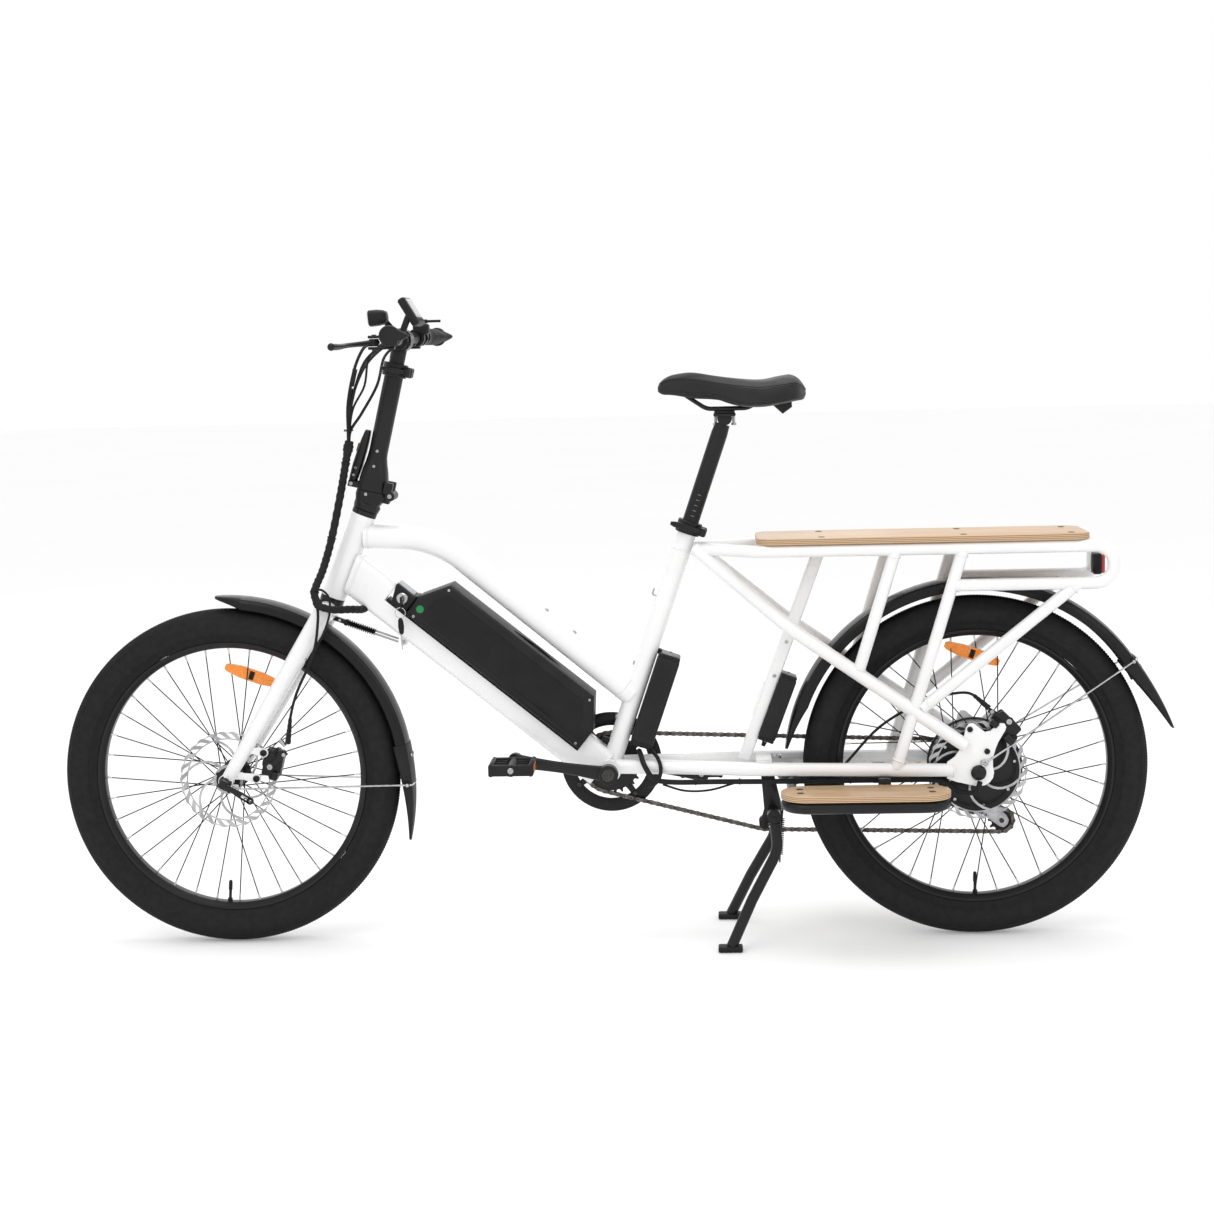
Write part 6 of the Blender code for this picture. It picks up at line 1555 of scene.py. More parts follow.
def make_handlepost():
    shape = bmesh.new()
    tube_part = [(0.0172, 0.060), (0.0172, POST_TOP - 0.001), (0.0144, POST_TOP - 0.001), (0.0144, 0.060)]
    add_lathe(shape, tube_part, POST_FOOT, POST_LINE, 40, 0)
    rings = []
    for level, half_depth, half_width in (
        (0.0006, 0.0270, 0.0230), (0.0200, 0.0265, 0.0230), (0.0380, 0.0235, 0.0222),
        (0.0520, 0.0200, 0.0195),
        (0.0640, 0.0178, 0.0176), (0.0700, 0.0174, 0.0174),
    ):
        centre = stem_place(level) + POST_REAR * 0.0040 * max(0.0, 1 - level / 0.064)
        rings.append(flat_ring(centre, POST_REAR, half_depth, half_width, sides=32,
            power=0.5 + 0.5 * min(1.0, level / 0.064)))
    add_rings(shape, rings, 0)
    for side in (-1, 1):
        hinge = [
            (0.0040, side * 0.0117), (0.0090, side * 0.0117), (0.0090, side * 0.0245),
            (0.0082, side * 0.0253),
            (0.0040, side * 0.0253),
        ]
        add_lathe(shape, hinge, FOLD_PIVOT, SIDEWAYS, 32, 0)
        centre = FOLD_PIVOT + SIDEWAYS * side * 0.0185 - POST_REAR * 0.006 + POST_LINE * 0.0130
        add_block(shape, centre, (0.022, 0.0134, 0.016), POST_LINE, 0.002, 0)
        add_bolt(shape, FOLD_PIVOT + SIDEWAYS * side * 0.0250, SIDEWAYS * side, 0.0040, 0.0020, 2)
    collar = [
        (0.0144, POST_TOP - 0.002), (0.0215, POST_TOP - 0.002), (0.0225, POST_TOP - 0.001),
        (0.0225, POST_TOP + 0.021),
        (0.0215, POST_TOP + 0.022), (0.0144, POST_TOP + 0.022),
    ]
    add_lathe(shape, collar, POST_FOOT, POST_LINE, 44, 1)
    ear = stem_place(POST_TOP + 0.010) + POST_REAR * 0.024
    for side in (-1, 1):
        add_block(shape, ear + SIDEWAYS * side * 0.0085, (0.018, 0.0130, 0.018), POST_LINE, 0.0030, 1, 3)
    add_cross_rod(shape, ear, -0.0148, 0.0190, 0.0034, 2)
    for side in (-1, 1):
        ear = LATCH_PIVOT + SIDEWAYS * side * 0.0139 + POST_REAR * 0.0055
        add_block(shape, ear, (0.0220, 0.0026, 0.0110), POST_REAR, 0.0008, 0)
        add_bolt(shape, LATCH_PIVOT + SIDEWAYS * side * 0.0152, SIDEWAYS * side, 0.0036, 0.0018, 2)
    for level, side in ((0.074, -0.0171), (0.046, -0.0205)):
        add_bolt(shape, stem_place(level) + SIDEWAYS * side, -SIDEWAYS, 0.0028, 0.0020, 2)
    make_piece(shape, "handlepost_look", "folding_column", [ANODISED, BLACK_GLOSS, STEEL], ["handlepost"])


def make_handlepost_latch():
    """The long locking lever on the front of the column, thick at its hinge and slim at its tip."""
    shape = bmesh.new()
    top = at(0.2765, 0, 0.9480)
    stations = [
        (0.0, 0.0108, 0.0050), (0.04, 0.0120, 0.0062), (0.20, 0.0138, 0.0074), (0.35, 0.0150, 0.0080),
        (0.60, 0.0150, 0.0075), (0.80, 0.0140, 0.0064), (0.93, 0.0115, 0.0050), (0.98, 0.0098, 0.0042),
        (1.0, 0.0070, 0.0030),
    ]
    rings = []
    for share, half_width, half_depth in stations:
        centre = LATCH_PIVOT.lerp(top, share) + POST_REAR * 0.0005
        rings.append(flat_ring(centre, SIDEWAYS, half_width, half_depth + 0.0012, POST_REAR, 24, 0.62))
    add_rings(shape, rings, 0)
    catch = LATCH_PIVOT.lerp(top, 0.66) - POST_REAR * 0.0085
    add_block(shape, catch, (0.0160, 0.0100, 0.0030), top - LATCH_PIVOT, 0.0012, 1, 3)
    for share in (0.16, 0.30):
        place = LATCH_PIVOT.lerp(top, share) - SIDEWAYS * 0.0132
        add_bolt(shape, place, -SIDEWAYS, 0.0024, 0.0014, 2)
    make_piece(shape, "handlepost_latch_look", "column_latch", [BLACK_GLOSS, RED_PLASTIC, STEEL],
        ["handlepost_latch"])


def make_handlebar_stem():
    shape = bmesh.new()
    stem = [(0.0126, 0.100), (0.0138, 0.100), (0.0140, 0.102), (0.0140, BAR_LEVEL - 0.008),
        (0.0002, BAR_LEVEL - 0.008), (0.0002, 0.102)]
    add_lathe(shape, stem, POST_FOOT, POST_LINE, 40, 0)
    clamp = [(0.0130, -0.0220), (0.0196, -0.0220), (0.0210, -0.0206), (0.0210, 0.0206),
        (0.0196, 0.0220), (0.0130, 0.0220)]
    add_lathe(shape, clamp, BAR_CENTRE, SIDEWAYS, 44, 1)
    for side in (-0.0140, 0.0140):
        for up in (-1, 1):
            place = BAR_CENTRE + Vector((-0.0120, side, 0.0130 * up))
            add_bolt(shape, place, (-1, 0, 0.4 * up), 0.0036, 0.0075, 2)
    mark_path = [stem_place(level) - POST_REAR * 0.0139 for level in (0.2440, 0.2600)]
    add_rod(shape, mark_path[0], mark_path[1], 0.0008, paint=2, sides=8)
    make_piece(shape, "handlebar_stem_look", "bars", [ANODISED, BLACK_GLOSS, DARK_STEEL],
        ["handlebar_stem"])


def make_clamp_lever(name, node, body, pivot, tip, line, half_widths):
    """A flat lever that swings about a line, with its round cam and a dished tip."""
    shape = bmesh.new()
    boss = [(0.0052, -0.0075), (0.0060, -0.0067), (0.0060, 0.0067), (0.0052, 0.0075), (0.0002, 0.0075),
        (0.0002, -0.0075)]
    add_lathe(shape, boss, pivot, line, 28, 0)
    rings = []
    for i in range(9):
        share = i / 8
        if share < 0.5:
            half_width = half_widths[0] + (half_widths[1] - half_widths[0]) * share * 2
        else:
            half_width = half_widths[1] + (half_widths[2] - half_widths[1]) * (share * 2 - 1)
        if i == 8:
            half_width *= 0.6
        bow = SIDEWAYS * -0.0020 * math.sin(math.pi * share)
        rings.append(flat_ring(pivot.lerp(tip, share) + bow, line, half_width, 0.0022, sides=16))
    add_rings(shape, rings, 0)
    make_piece(shape, name, body, [BLACK_GLOSS], [node])


def make_column():
    make_handlepost_base()
    make_handlepost()
    make_handlepost_latch()
    make_handlebar_stem()
    pivot = stem_place(POST_TOP + 0.010) + POST_REAR * 0.025 + SIDEWAYS * -0.0220
    tip = pivot - POST_REAR * 0.046 + SIDEWAYS * -0.012
    widths = (0.0035, 0.0050, 0.0040)
    make_clamp_lever("stem_clamp_lever_look", "stem_clamp_lever", "column_clamp_lever", pivot, tip,
        POST_LINE, widths)


# ---------------------------------------------------------------- handlebar
def swept_place(side):
    """A place on the bar's centre line outside its inner bends, where it sweeps back."""
    return BAR_CENTRE + Vector((0.012 + 0.11 * (abs(side) - BAR_BEND), side, 0.006))


def brake_lever_pivot(side):
    return BAR_CENTRE + Vector((-0.024, side * 0.166, -0.004))


def make_handlebar():
    shape = bmesh.new()
    half = HANDLE_HALF - 0.004
    corners = [
        swept_place(-half), swept_place(-BAR_BEND), BAR_CENTRE - SIDEWAYS * 0.060,
        BAR_CENTRE + SIDEWAYS * 0.060, swept_place(BAR_BEND), swept_place(half),
    ]
    add_tube(shape, rounded(corners, 0.12, math.radians(3)), 0.0111, 0, 32)
    add_cross_rod(shape, BAR_CENTRE, -0.045, 0.045, 0.0127, 0, 32)
    for side in (-1, 1):
        centre = BAR_CENTRE + Vector((0.0105, side * 0.172, 0.005))
        band = [(0.0112, -0.008), (0.0158, -0.008), (0.0165, -0.0072), (0.0165, 0.0072),
            (0.0158, 0.008), (0.0112, 0.008)]
        add_lathe(shape, band, centre, SIDEWAYS, 36, 1)
        pivot = brake_lever_pivot(side)
        for up in (-0.0098, 0.0098):
            arm = pivot + Vector((0.013, -side * 0.001, up))
            add_block(shape, arm, (0.046, 0.016, 0.0050), bevel=0.0016, paint=1, segments=3)
        for up in (-0.0123, 0.0123):
            add_bolt(shape, pivot + Vector((0, 0, up)), (0, 0, up), 0.0042, 0.0016, 2)
        barrel_start = pivot + Vector((0.004, side * -0.0090, 0))
        barrel_end = pivot + Vector((-0.005, side * 0.0 - side * 0.0240, -0.001))
        add_rod(shape, barrel_start, barrel_end, 0.0052, 0.0044, 1, 20)
        add_bolt(shape, centre + Vector((0.0150, 0, -0.003)), (1, 0, -0.2), 0.0034, 0.0020, 2)
    pod = BAR_CENTRE + Vector((0.008, 0.142, 0.004))
    band = [(0.0112, -0.010), (0.0157, -0.010), (0.0165, -0.0092), (0.0165, 0.0092), (0.0157, 0.010),
        (0.0112, 0.010)]
    add_lathe(shape, band, pod, SIDEWAYS, 36, 3)
    add_block(shape, pod + Vector((0.010, 0, 0.016)), (0.030, 0.026, 0.020), bevel=0.005, paint=3,
        segments=4)
    paints = [ANODISED, BLACK_GLOSS, DARK_STEEL, PLASTIC]
    make_piece(shape, "handlebar_look", "bars", paints, ["handlebar"])


def make_grip(side, node):
    """An ergonomic rubber grip: a knurled sleeve, a palm rest and a clamp ring at each end."""
    shape = bmesh.new()
    start, end = swept_place(side * GRIP_INNER), swept_place(side * HANDLE_HALF)
    back = (end - start).normalized().cross(UPWARDS) * side
    rings = []
    steps = 48
    for i in range(steps + 1):
        share = i / steps
        wing = 0.017 * min(1.0, max(0.0, share - 0.05) / 0.80) ** 1.5
        if share > 0.90:
            wing *= 1 - 0.35 * ((share - 0.90) / 0.10) ** 2
        ridge = 0.0004 * math.cos(2 * math.pi * share * 22) if 0.10 < share < 0.88 else 0.0
        size = 0.0155 + ridge - (0.0012 if i in (0, steps) else 0.0)
        rings.append(grip_ring(start.lerp(end, share), back, size, wing))
    add_rings(shape, rings, 0)
    line = (end - start).normalized()
    band = [(0.0118, 0.0), (0.0150, 0.0), (0.0160, 0.0010), (0.0160, 0.0070), (0.0150, 0.0080),
        (0.0118, 0.0080)]
    add_lathe(shape, band, start, line, 36, 1)
    add_bolt(shape, start + line * 0.004 - UPWARDS * 0.0152, -UPWARDS, 0.0026, 0.0012, 2)
    cap = [(0.0165, -0.0090), (0.0178, -0.0076), (0.0178, -0.0022), (0.0160, -0.0002), (0.0100, 0.0004),
        (0.0096, 0.0010), (0.0, 0.0012)]
    add_lathe(shape, cap, end - line * 0.0014, line, 40, 1, False)
    make_piece(shape, node + "_look", "bars", [GRIP_RUBBER, BLACK_GLOSS, STEEL], [node])


def grip_ring(centre, back, size, wing):
    points = []
    for i in range(40):
        angle = 2 * math.pi * i / 40
        rearward = max(0.0, math.cos(angle))
        reach = (size + rearward**3 * wing) * math.cos(angle)
        height = (size - 0.14 * rearward * wing) * math.sin(angle)
        points.append(centre + back * reach + UPWARDS * height)
    return points


def make_brake_lever(side, node, body):
    """A forged lever blade: flat and tall at the pivot, slim in the middle and round at its tip."""
    shape = bmesh.new()
    pivot = brake_lever_pivot(side)
    corners = [
        pivot,
        pivot + Vector((-0.022, side * 0.016, -0.002)),
        pivot + Vector((-0.040, side * 0.048, -0.004)),
        pivot + Vector((-0.046, side * 0.090, -0.006)),
        pivot + Vector((-0.054, side * 0.118, -0.006)),
    ]
    path = smooth_path(corners, 6)
    sizes = []
    for i in range(len(path)):
        share = i / (len(path) - 1)
        sizes.append(0.0062 - 0.0014 * math.sin(math.pi * min(1.0, share * 1.15)))
    add_tube(shape, path, sizes, 0, 20, flatten=0.9)
    boss = [(0.0020, -0.0065), (0.0078, -0.0065), (0.0085, -0.0058), (0.0085, 0.0058), (0.0078, 0.0065),
        (0.0020, 0.0065)]
    add_lathe(shape, boss, pivot, UPWARDS, 32, 0)
    tip = corners[-1] + Vector((-0.0005, side * 0.002, 0))
    ball = [(0.0066 * math.sin(math.radians(a)), -0.0040 * math.cos(math.radians(a))) for a in range(10,
        180, 20)]
    add_lathe(shape, ball, tip, (-0.2, side, 0), 28, 0, False)
    make_piece(shape, node + "_look", body, [BLACK_GLOSS], [node])


def make_display():
    """The display: a slim housing with a dark screen under glass and a row of buttons below it."""
    shape = bmesh.new()
    centre = BAR_CENTRE + Vector((0.0200, 0, 0.0500))
    tilt = Vector((-0.51, 0, 0.86)).normalized()
    face = tilt.cross(SIDEWAYS)
    face = face if face.x > 0 else -face
    add_block(shape, centre, (0.056, 0.086, 0.015), tilt, 0.005, 0, 4)
    add_block(shape, centre + face * 0.0071 + tilt * 0.004, (0.038, 0.070, 0.0014), tilt, 0.0005, 1, 2)
    add_block(shape, centre + face * 0.0077 + tilt * 0.004, (0.031, 0.060, 0.0008), tilt, 0.0002, 2, 1)
    for side in (-1, 0, 1):
        button = centre + face * 0.0074 - tilt * 0.0210 + SIDEWAYS * side * 0.022
        add_block(shape, button, (0.0065, 0.0160, 0.0020), tilt, 0.0009, 3, 2)
    arm_foot = BAR_CENTRE + Vector((0.006, -0.034, 0.010))
    add_rod(shape, arm_foot, centre + Vector((-0.001, -0.034, -0.008)), 0.0060, paint=0, sides=20)
    add_clamp_band(shape, -0.034)
    paints = [PLASTIC, GREY_PLASTIC, SCREEN, RUBBER]
    make_piece(shape, "display_look", "bars", paints, ["display"])


def add_clamp_band(shape, side):
    band = [(0.0128, -0.006), (0.0165, -0.006), (0.0175, -0.005), (0.0175, 0.005), (0.0165, 0.006),
        (0.0128, 0.006)]
    add_lathe(shape, band, BAR_CENTRE + SIDEWAYS * side, SIDEWAYS, 36, 0)
    lug = BAR_CENTRE + Vector((0.0170, side, -0.0080))
    add_block(shape, lug, (0.0090, 0.0110, 0.0060), (1, 0, -0.45), 0.0015, 0)


def make_headlight():
    """The front lamp: a boxy housing with a clear lens and reflector cells behind it."""
    shape = bmesh.new()
    centre = BAR_CENTRE + Vector((-0.0410, 0, 0.0412))
    line = Vector((1, 0, 0.08)).normalized()
    rise = SIDEWAYS.cross(line) * -1
    rings = []
    for along, half_width, half_height in (
        (-0.0150, 0.0238, 0.0138), (-0.0140, 0.0248, 0.0148), (0.0, 0.0246, 0.0146),
        (0.0100, 0.0225, 0.0130),
        (0.0155, 0.0185, 0.0100), (0.0168, 0.0150, 0.0075),
    ):
        rings.append(flat_ring(centre + line * along, SIDEWAYS, half_width, half_height, rise, 28, 0.45))
    add_rings(shape, rings, 0)
    add_block(shape, centre - line * 0.0152, (0.0030, 0.0440, 0.0240), line, 0.0012, 1, 3)
    for side in (-0.0110, 0.0110):
        bowl = [(0.0088, 0.0), (0.0088, 0.0008), (0.0076, 0.0012), (0.0040, 0.0012), (0.0, 0.0016)]
        add_lathe(shape, bowl, centre - line * 0.0163 + SIDEWAYS * side, -line, 28, 2, False)
    arm_foot = BAR_CENTRE + Vector((-0.012, 0.032, 0.010))
    add_rod(shape, arm_foot, centre + Vector((0.010, 0.018, -0.006)), 0.0055, paint=0, sides=20)
    add_clamp_band(shape, 0.032)
    make_piece(shape, "headlight_look", "bars", [PLASTIC, CLEAR_LENS, BRIGHT_STEEL], ["headlight"])


def make_shifter_lever():
    shape = bmesh.new()
    pivot = BAR_CENTRE + Vector((0.020, 0.142, 0.031))
    hub = [(0.0002, -0.0005), (0.0098, -0.0005), (0.0105, 0.0004), (0.0105, 0.0058), (0.0094, 0.0070),
        (0.0002, 0.0070)]
    add_lathe(shape, hub, pivot, UPWARDS, 32, 0)
    rings = []
    for share, half_width in ((0.0, 0.0042), (0.5, 0.0038), (0.85, 0.0050), (1.0, 0.0036)):
        centre = pivot + Vector((0.004 + 0.030 * share, 0.004, 0.0035))
        rings.append(flat_ring(centre, SIDEWAYS, half_width, 0.0025, UPWARDS, 16))
    add_rings(shape, rings, 0)
    add_bolt(shape, pivot + UPWARDS * 0.0070, UPWARDS, 0.0034, 0.0012, 1)
    make_piece(shape, "shifter_lever_look", "gear_lever", [PLASTIC, STEEL], ["shifter_lever"])


def make_cockpit():
    make_handlebar()
    make_grip(-1, "grip_left")
    make_grip(1, "grip_right")
    make_brake_lever(-1, "brake_lever_left", "left_brake_lever")
    make_brake_lever(1, "brake_lever_right", "right_brake_lever")
    make_display()
    make_headlight()
    make_shifter_lever()


# ---------------------------------------------------------------- seat
def make_seat_clamp():
    shape = bmesh.new()
    low, high = SEAT_TUBE_LENGTH - 0.020, SEAT_TUBE_LENGTH + 0.003
    collar = [
        (0.0178, low), (0.0215, low), (0.0225, low + 0.001), (0.0225, high - 0.001), (0.0215, high),
        (0.0153, high), (0.0153, SEAT_TUBE_LENGTH + 0.0004), (0.0178, SEAT_TUBE_LENGTH + 0.0003),
    ]
    add_lathe(shape, collar, CRANK_AXIS, SEAT_LINE, 44, 0)
    ear = seat_place(SEAT_TUBE_LENGTH - 0.0085) + SEAT_REAR * 0.024
    for side in (-1, 1):
        add_block(shape, ear + SIDEWAYS * side * 0.0085, (0.016, 0.0130, 0.019), SEAT_LINE, 0.0030, 0, 3)
    add_cross_rod(shape, ear, -0.0148, 0.0190, 0.0034, 1)
    add_cross_rod(shape, ear, 0.0152, 0.0215, 0.0060, 0)
    make_piece(shape, "seat_collar_look", "frame", [ANODISED, STEEL], ["seat_collar"])
    pivot = seat_place(SEAT_TUBE_LENGTH - 0.0085) + SEAT_REAR * 0.026 + SIDEWAYS * -0.0220
    tip = pivot - SEAT_REAR * 0.060 + SIDEWAYS * -0.012
    widths = (0.0035, 0.0060, 0.0050)
    make_clamp_lever("seat_collar_lever_look", "seat_collar_lever", "seat_lever", pivot, tip, SEAT_LINE,
        widths)


def make_seatpost():
    shape = bmesh.new()
    post = [(0.0136, 0.300), (0.0150, 0.300), (0.0150, 0.646), (0.0142, 0.655), (0.0136, 0.664),
        (0.0002, 0.664), (0.0002, 0.302)]
    add_lathe(shape, post, CRANK_AXIS, SEAT_LINE, 44, 0)
    head = seat_place(SEATPOST_TOP)
    cradle = [(0.0002, -0.017), (0.0125, -0.017), (0.0135, -0.016), (0.0135, 0.016), (0.0125, 0.017),
        (0.0002, 0.017)]
    add_lathe(shape, cradle, head, SIDEWAYS, 40, 0)
    add_block(shape, head + Vector((0, 0, 0.0060)), (0.040, 0.052, 0.0056), bevel=0.002, paint=0,
        segments=3)
    add_block(shape, head + Vector((0, 0, 0.0112)), (0.036, 0.050, 0.0040), bevel=0.0015, paint=0,
        segments=3)
    for along in (-0.0165, 0.0165):
        bolt_top = head + Vector((along, 0, 0.0130))
        add_rod(shape, bolt_top, bolt_top - UPWARDS * 0.0230, 0.0026, paint=1, sides=14)
        add_bolt(shape, bolt_top - UPWARDS * 0.0225, -UPWARDS, 0.0046, 0.0042, 1)
    for level in range(0, 5):
        tick = seat_place(0.490 + 0.010 * level) - SIDEWAYS * 0.0149
        add_block(shape, tick, (0.0005, 0.0004, 0.0060), SEAT_LINE, 0, 1)
    make_piece(shape, "seatpost_look", "seat", [ANODISED, STEEL], ["seatpost"])


SADDLE_STATIONS = [
    (0.804, 0.012, 1.0170, 1.0070, 0.006),
    (0.812, 0.022, 1.0280, 1.0010, 0.016),
    (0.832, 0.027, 1.0370, 1.0000, 0.024),
    (0.870, 0.031, 1.0370, 0.9930, 0.026),
    (0.910, 0.040, 1.0300, 0.9900, 0.026),
    (0.950, 0.058, 1.0240, 0.9780, 0.026),
    (0.990, 0.078, 1.0210, 0.9740, 0.026),
    (1.025, 0.088, 1.0270, 0.9790, 0.032),
    (1.052, 0.080, 1.0300, 0.9850, 0.034),
    (1.066, 0.055, 1.0180, 0.9880, 0.026),
    (1.071, 0.030, 1.0080, 0.9920, 0.012),
]


def blend_stations(share):
    """The saddle's (behind, half width, top, low, edge drop) at a share of its length."""
    place = share * (len(SADDLE_STATIONS) - 1)
    i = min(int(place), len(SADDLE_STATIONS) - 2)
    t = place - i
    rows = [SADDLE_STATIONS[max(0, min(len(SADDLE_STATIONS) - 1, k))] for k in (i - 1, i, i + 1, i + 2)]
    values = []
    for p0, p1, p2, p3 in zip(*rows):
        straight = 2 * p1 + (p2 - p0) * t
        curved = (2 * p0 - 5 * p1 + 4 * p2 - p3) * t**2
        values.append((straight + curved + (3 * p1 - p0 - 3 * p2 + p3) * t**3) / 2)
    return values


def saddle_cover_ring(share):
    """One section of the padded cover: a dished middle, full sides and an edge that tucks under."""
    behind, half, top, low, edge_drop = blend_stations(share)
    relief = 0.0040 * math.exp(-((share - 0.55) / 0.30) ** 2)
    points = []
    for i in range(25):
        angle = math.pi * i / 24
        across = half * math.copysign(abs(math.cos(angle)) ** 0.92, math.cos(angle))
        rise = math.sin(angle) ** 0.55
        groove = relief * math.exp(-(across / 0.011) ** 2)
        points.append(at(behind, across, top - edge_drop + edge_drop * rise - groove - 0.0008))
    for across, level in ((-0.985, 0.50), (-0.93, 0.22), (-0.80, 0.05), (-0.5, 0.10), (0.5, 0.10),
        (0.80, 0.05), (0.93, 0.22), (0.985, 0.50)):
        points.append(at(behind, half * across, low + (top - edge_drop - low) * level))
    return points


def soften_pad(piece, limit):
    """Lets the cover swell like foam under vinyl, with each point's move capped; make_saddle smooths it
    afterwards.
    """
    rest = [vertex.co.copy() for vertex in piece.data.vertices]
    cloth = piece.modifiers.new("swell", "CLOTH")
    cloth.settings.use_pressure = True
    cloth.settings.uniform_pressure_force = SWELL_PRESSURE
    cloth.settings.effector_weights.gravity = 0.0
    cloth.settings.tension_stiffness = 25.0
    cloth.settings.compression_stiffness = 25.0
    cloth.collision_settings.use_collision = False
    scene = bpy.context.scene
    for number in range(1, SWELL_STEPS + 1):
        scene.frame_set(number)
    graph = bpy.context.evaluated_depsgraph_get()
    swollen = [vertex.co.copy() for vertex in piece.evaluated_get(graph).data.vertices]
    piece.modifiers.remove(cloth)
    scene.frame_set(1)
    for vertex, start, end in zip(piece.data.vertices, rest, swollen):
        move = end - start
        if move.length > limit:
            move = move.normalized() * limit
        vertex.co = start + move


def make_saddle():
    """The padded vinyl cover over a plastic shell, with a sewn seam, on two steel rails."""
    shape = bmesh.new()
    steps = 60
    add_rings(shape, [saddle_cover_ring(i / steps) for i in range(steps + 1)], 0)
    cover = make_piece(shape, "saddle_cover", "seat", [VINYL], ["saddle"], sharp=60)
    soften_pad(cover, SADDLE_SWELL)
    smooth = cover.modifiers.new("smooth", "SUBSURF")
    smooth.levels = 1
    smooth.render_levels = 1
    trim_shape = bmesh.new()
    for side in (-1, 1):
        seam = []
        for i in range(4, steps - 2):
            ring = saddle_cover_ring(i / steps)
            spot = ring[3] if side > 0 else ring[21]
            seam.append(spot + Vector((0, 0.0006 * side, 0.0006)))
        add_tube(trim_shape, seam, 0.0008, 1, 8)
    shell = []
    for i in range(25):
        behind, half, _, low, _ = blend_stations(0.04 + 0.92 * i / 24)
        ring = []
        for k in range(24):
            angle = 2 * math.pi * k / 24
            cosine = math.cos(angle)
            across = half * 0.955 * math.copysign(abs(cosine) ** 0.8, cosine)
            level = low + 0.0062 + 0.0052 * math.sin(angle)
            ring.append(at(behind, across, level))
        shell.append(ring)
    add_rings(trim_shape, shell, 2)
    bumper = [(1.003, 0.984), (1.028, 0.961), (1.045, 0.973), (1.044, 0.996), (1.003, 0.996)]
    add_side_plate(trim_shape, bumper, -0.042, 0.042, 0.0040, 2)
    head = seat_place(SEATPOST_TOP)
    rail_up = head.z + 0.0165
    for side in (-1, 1):
        corners = [
            at(0.850, side * 0.010, 1.0000), at(0.892, side * 0.021, rail_up),
            at(0.965, side * 0.021, rail_up),
            at(1.010, side * 0.026, 0.9950),
        ]
        add_tube(trim_shape, rounded(corners, 0.03, math.radians(6)), 0.0035, 3, 16)
    make_piece(trim_shape, "saddle_shell", "seat", [VINYL, RUBBER, PLASTIC, ANODISED], ["saddle"])


def make_seat():
    make_seat_clamp()
    make_seatpost()
    make_saddle()


# ---------------------------------------------------------------- drivetrain
def pedal_centre(side):
    reach = Vector((math.cos(CRANK_RISE), 0, -math.sin(CRANK_RISE))) * CRANK_LENGTH
    return CRANK_AXIS + reach * side


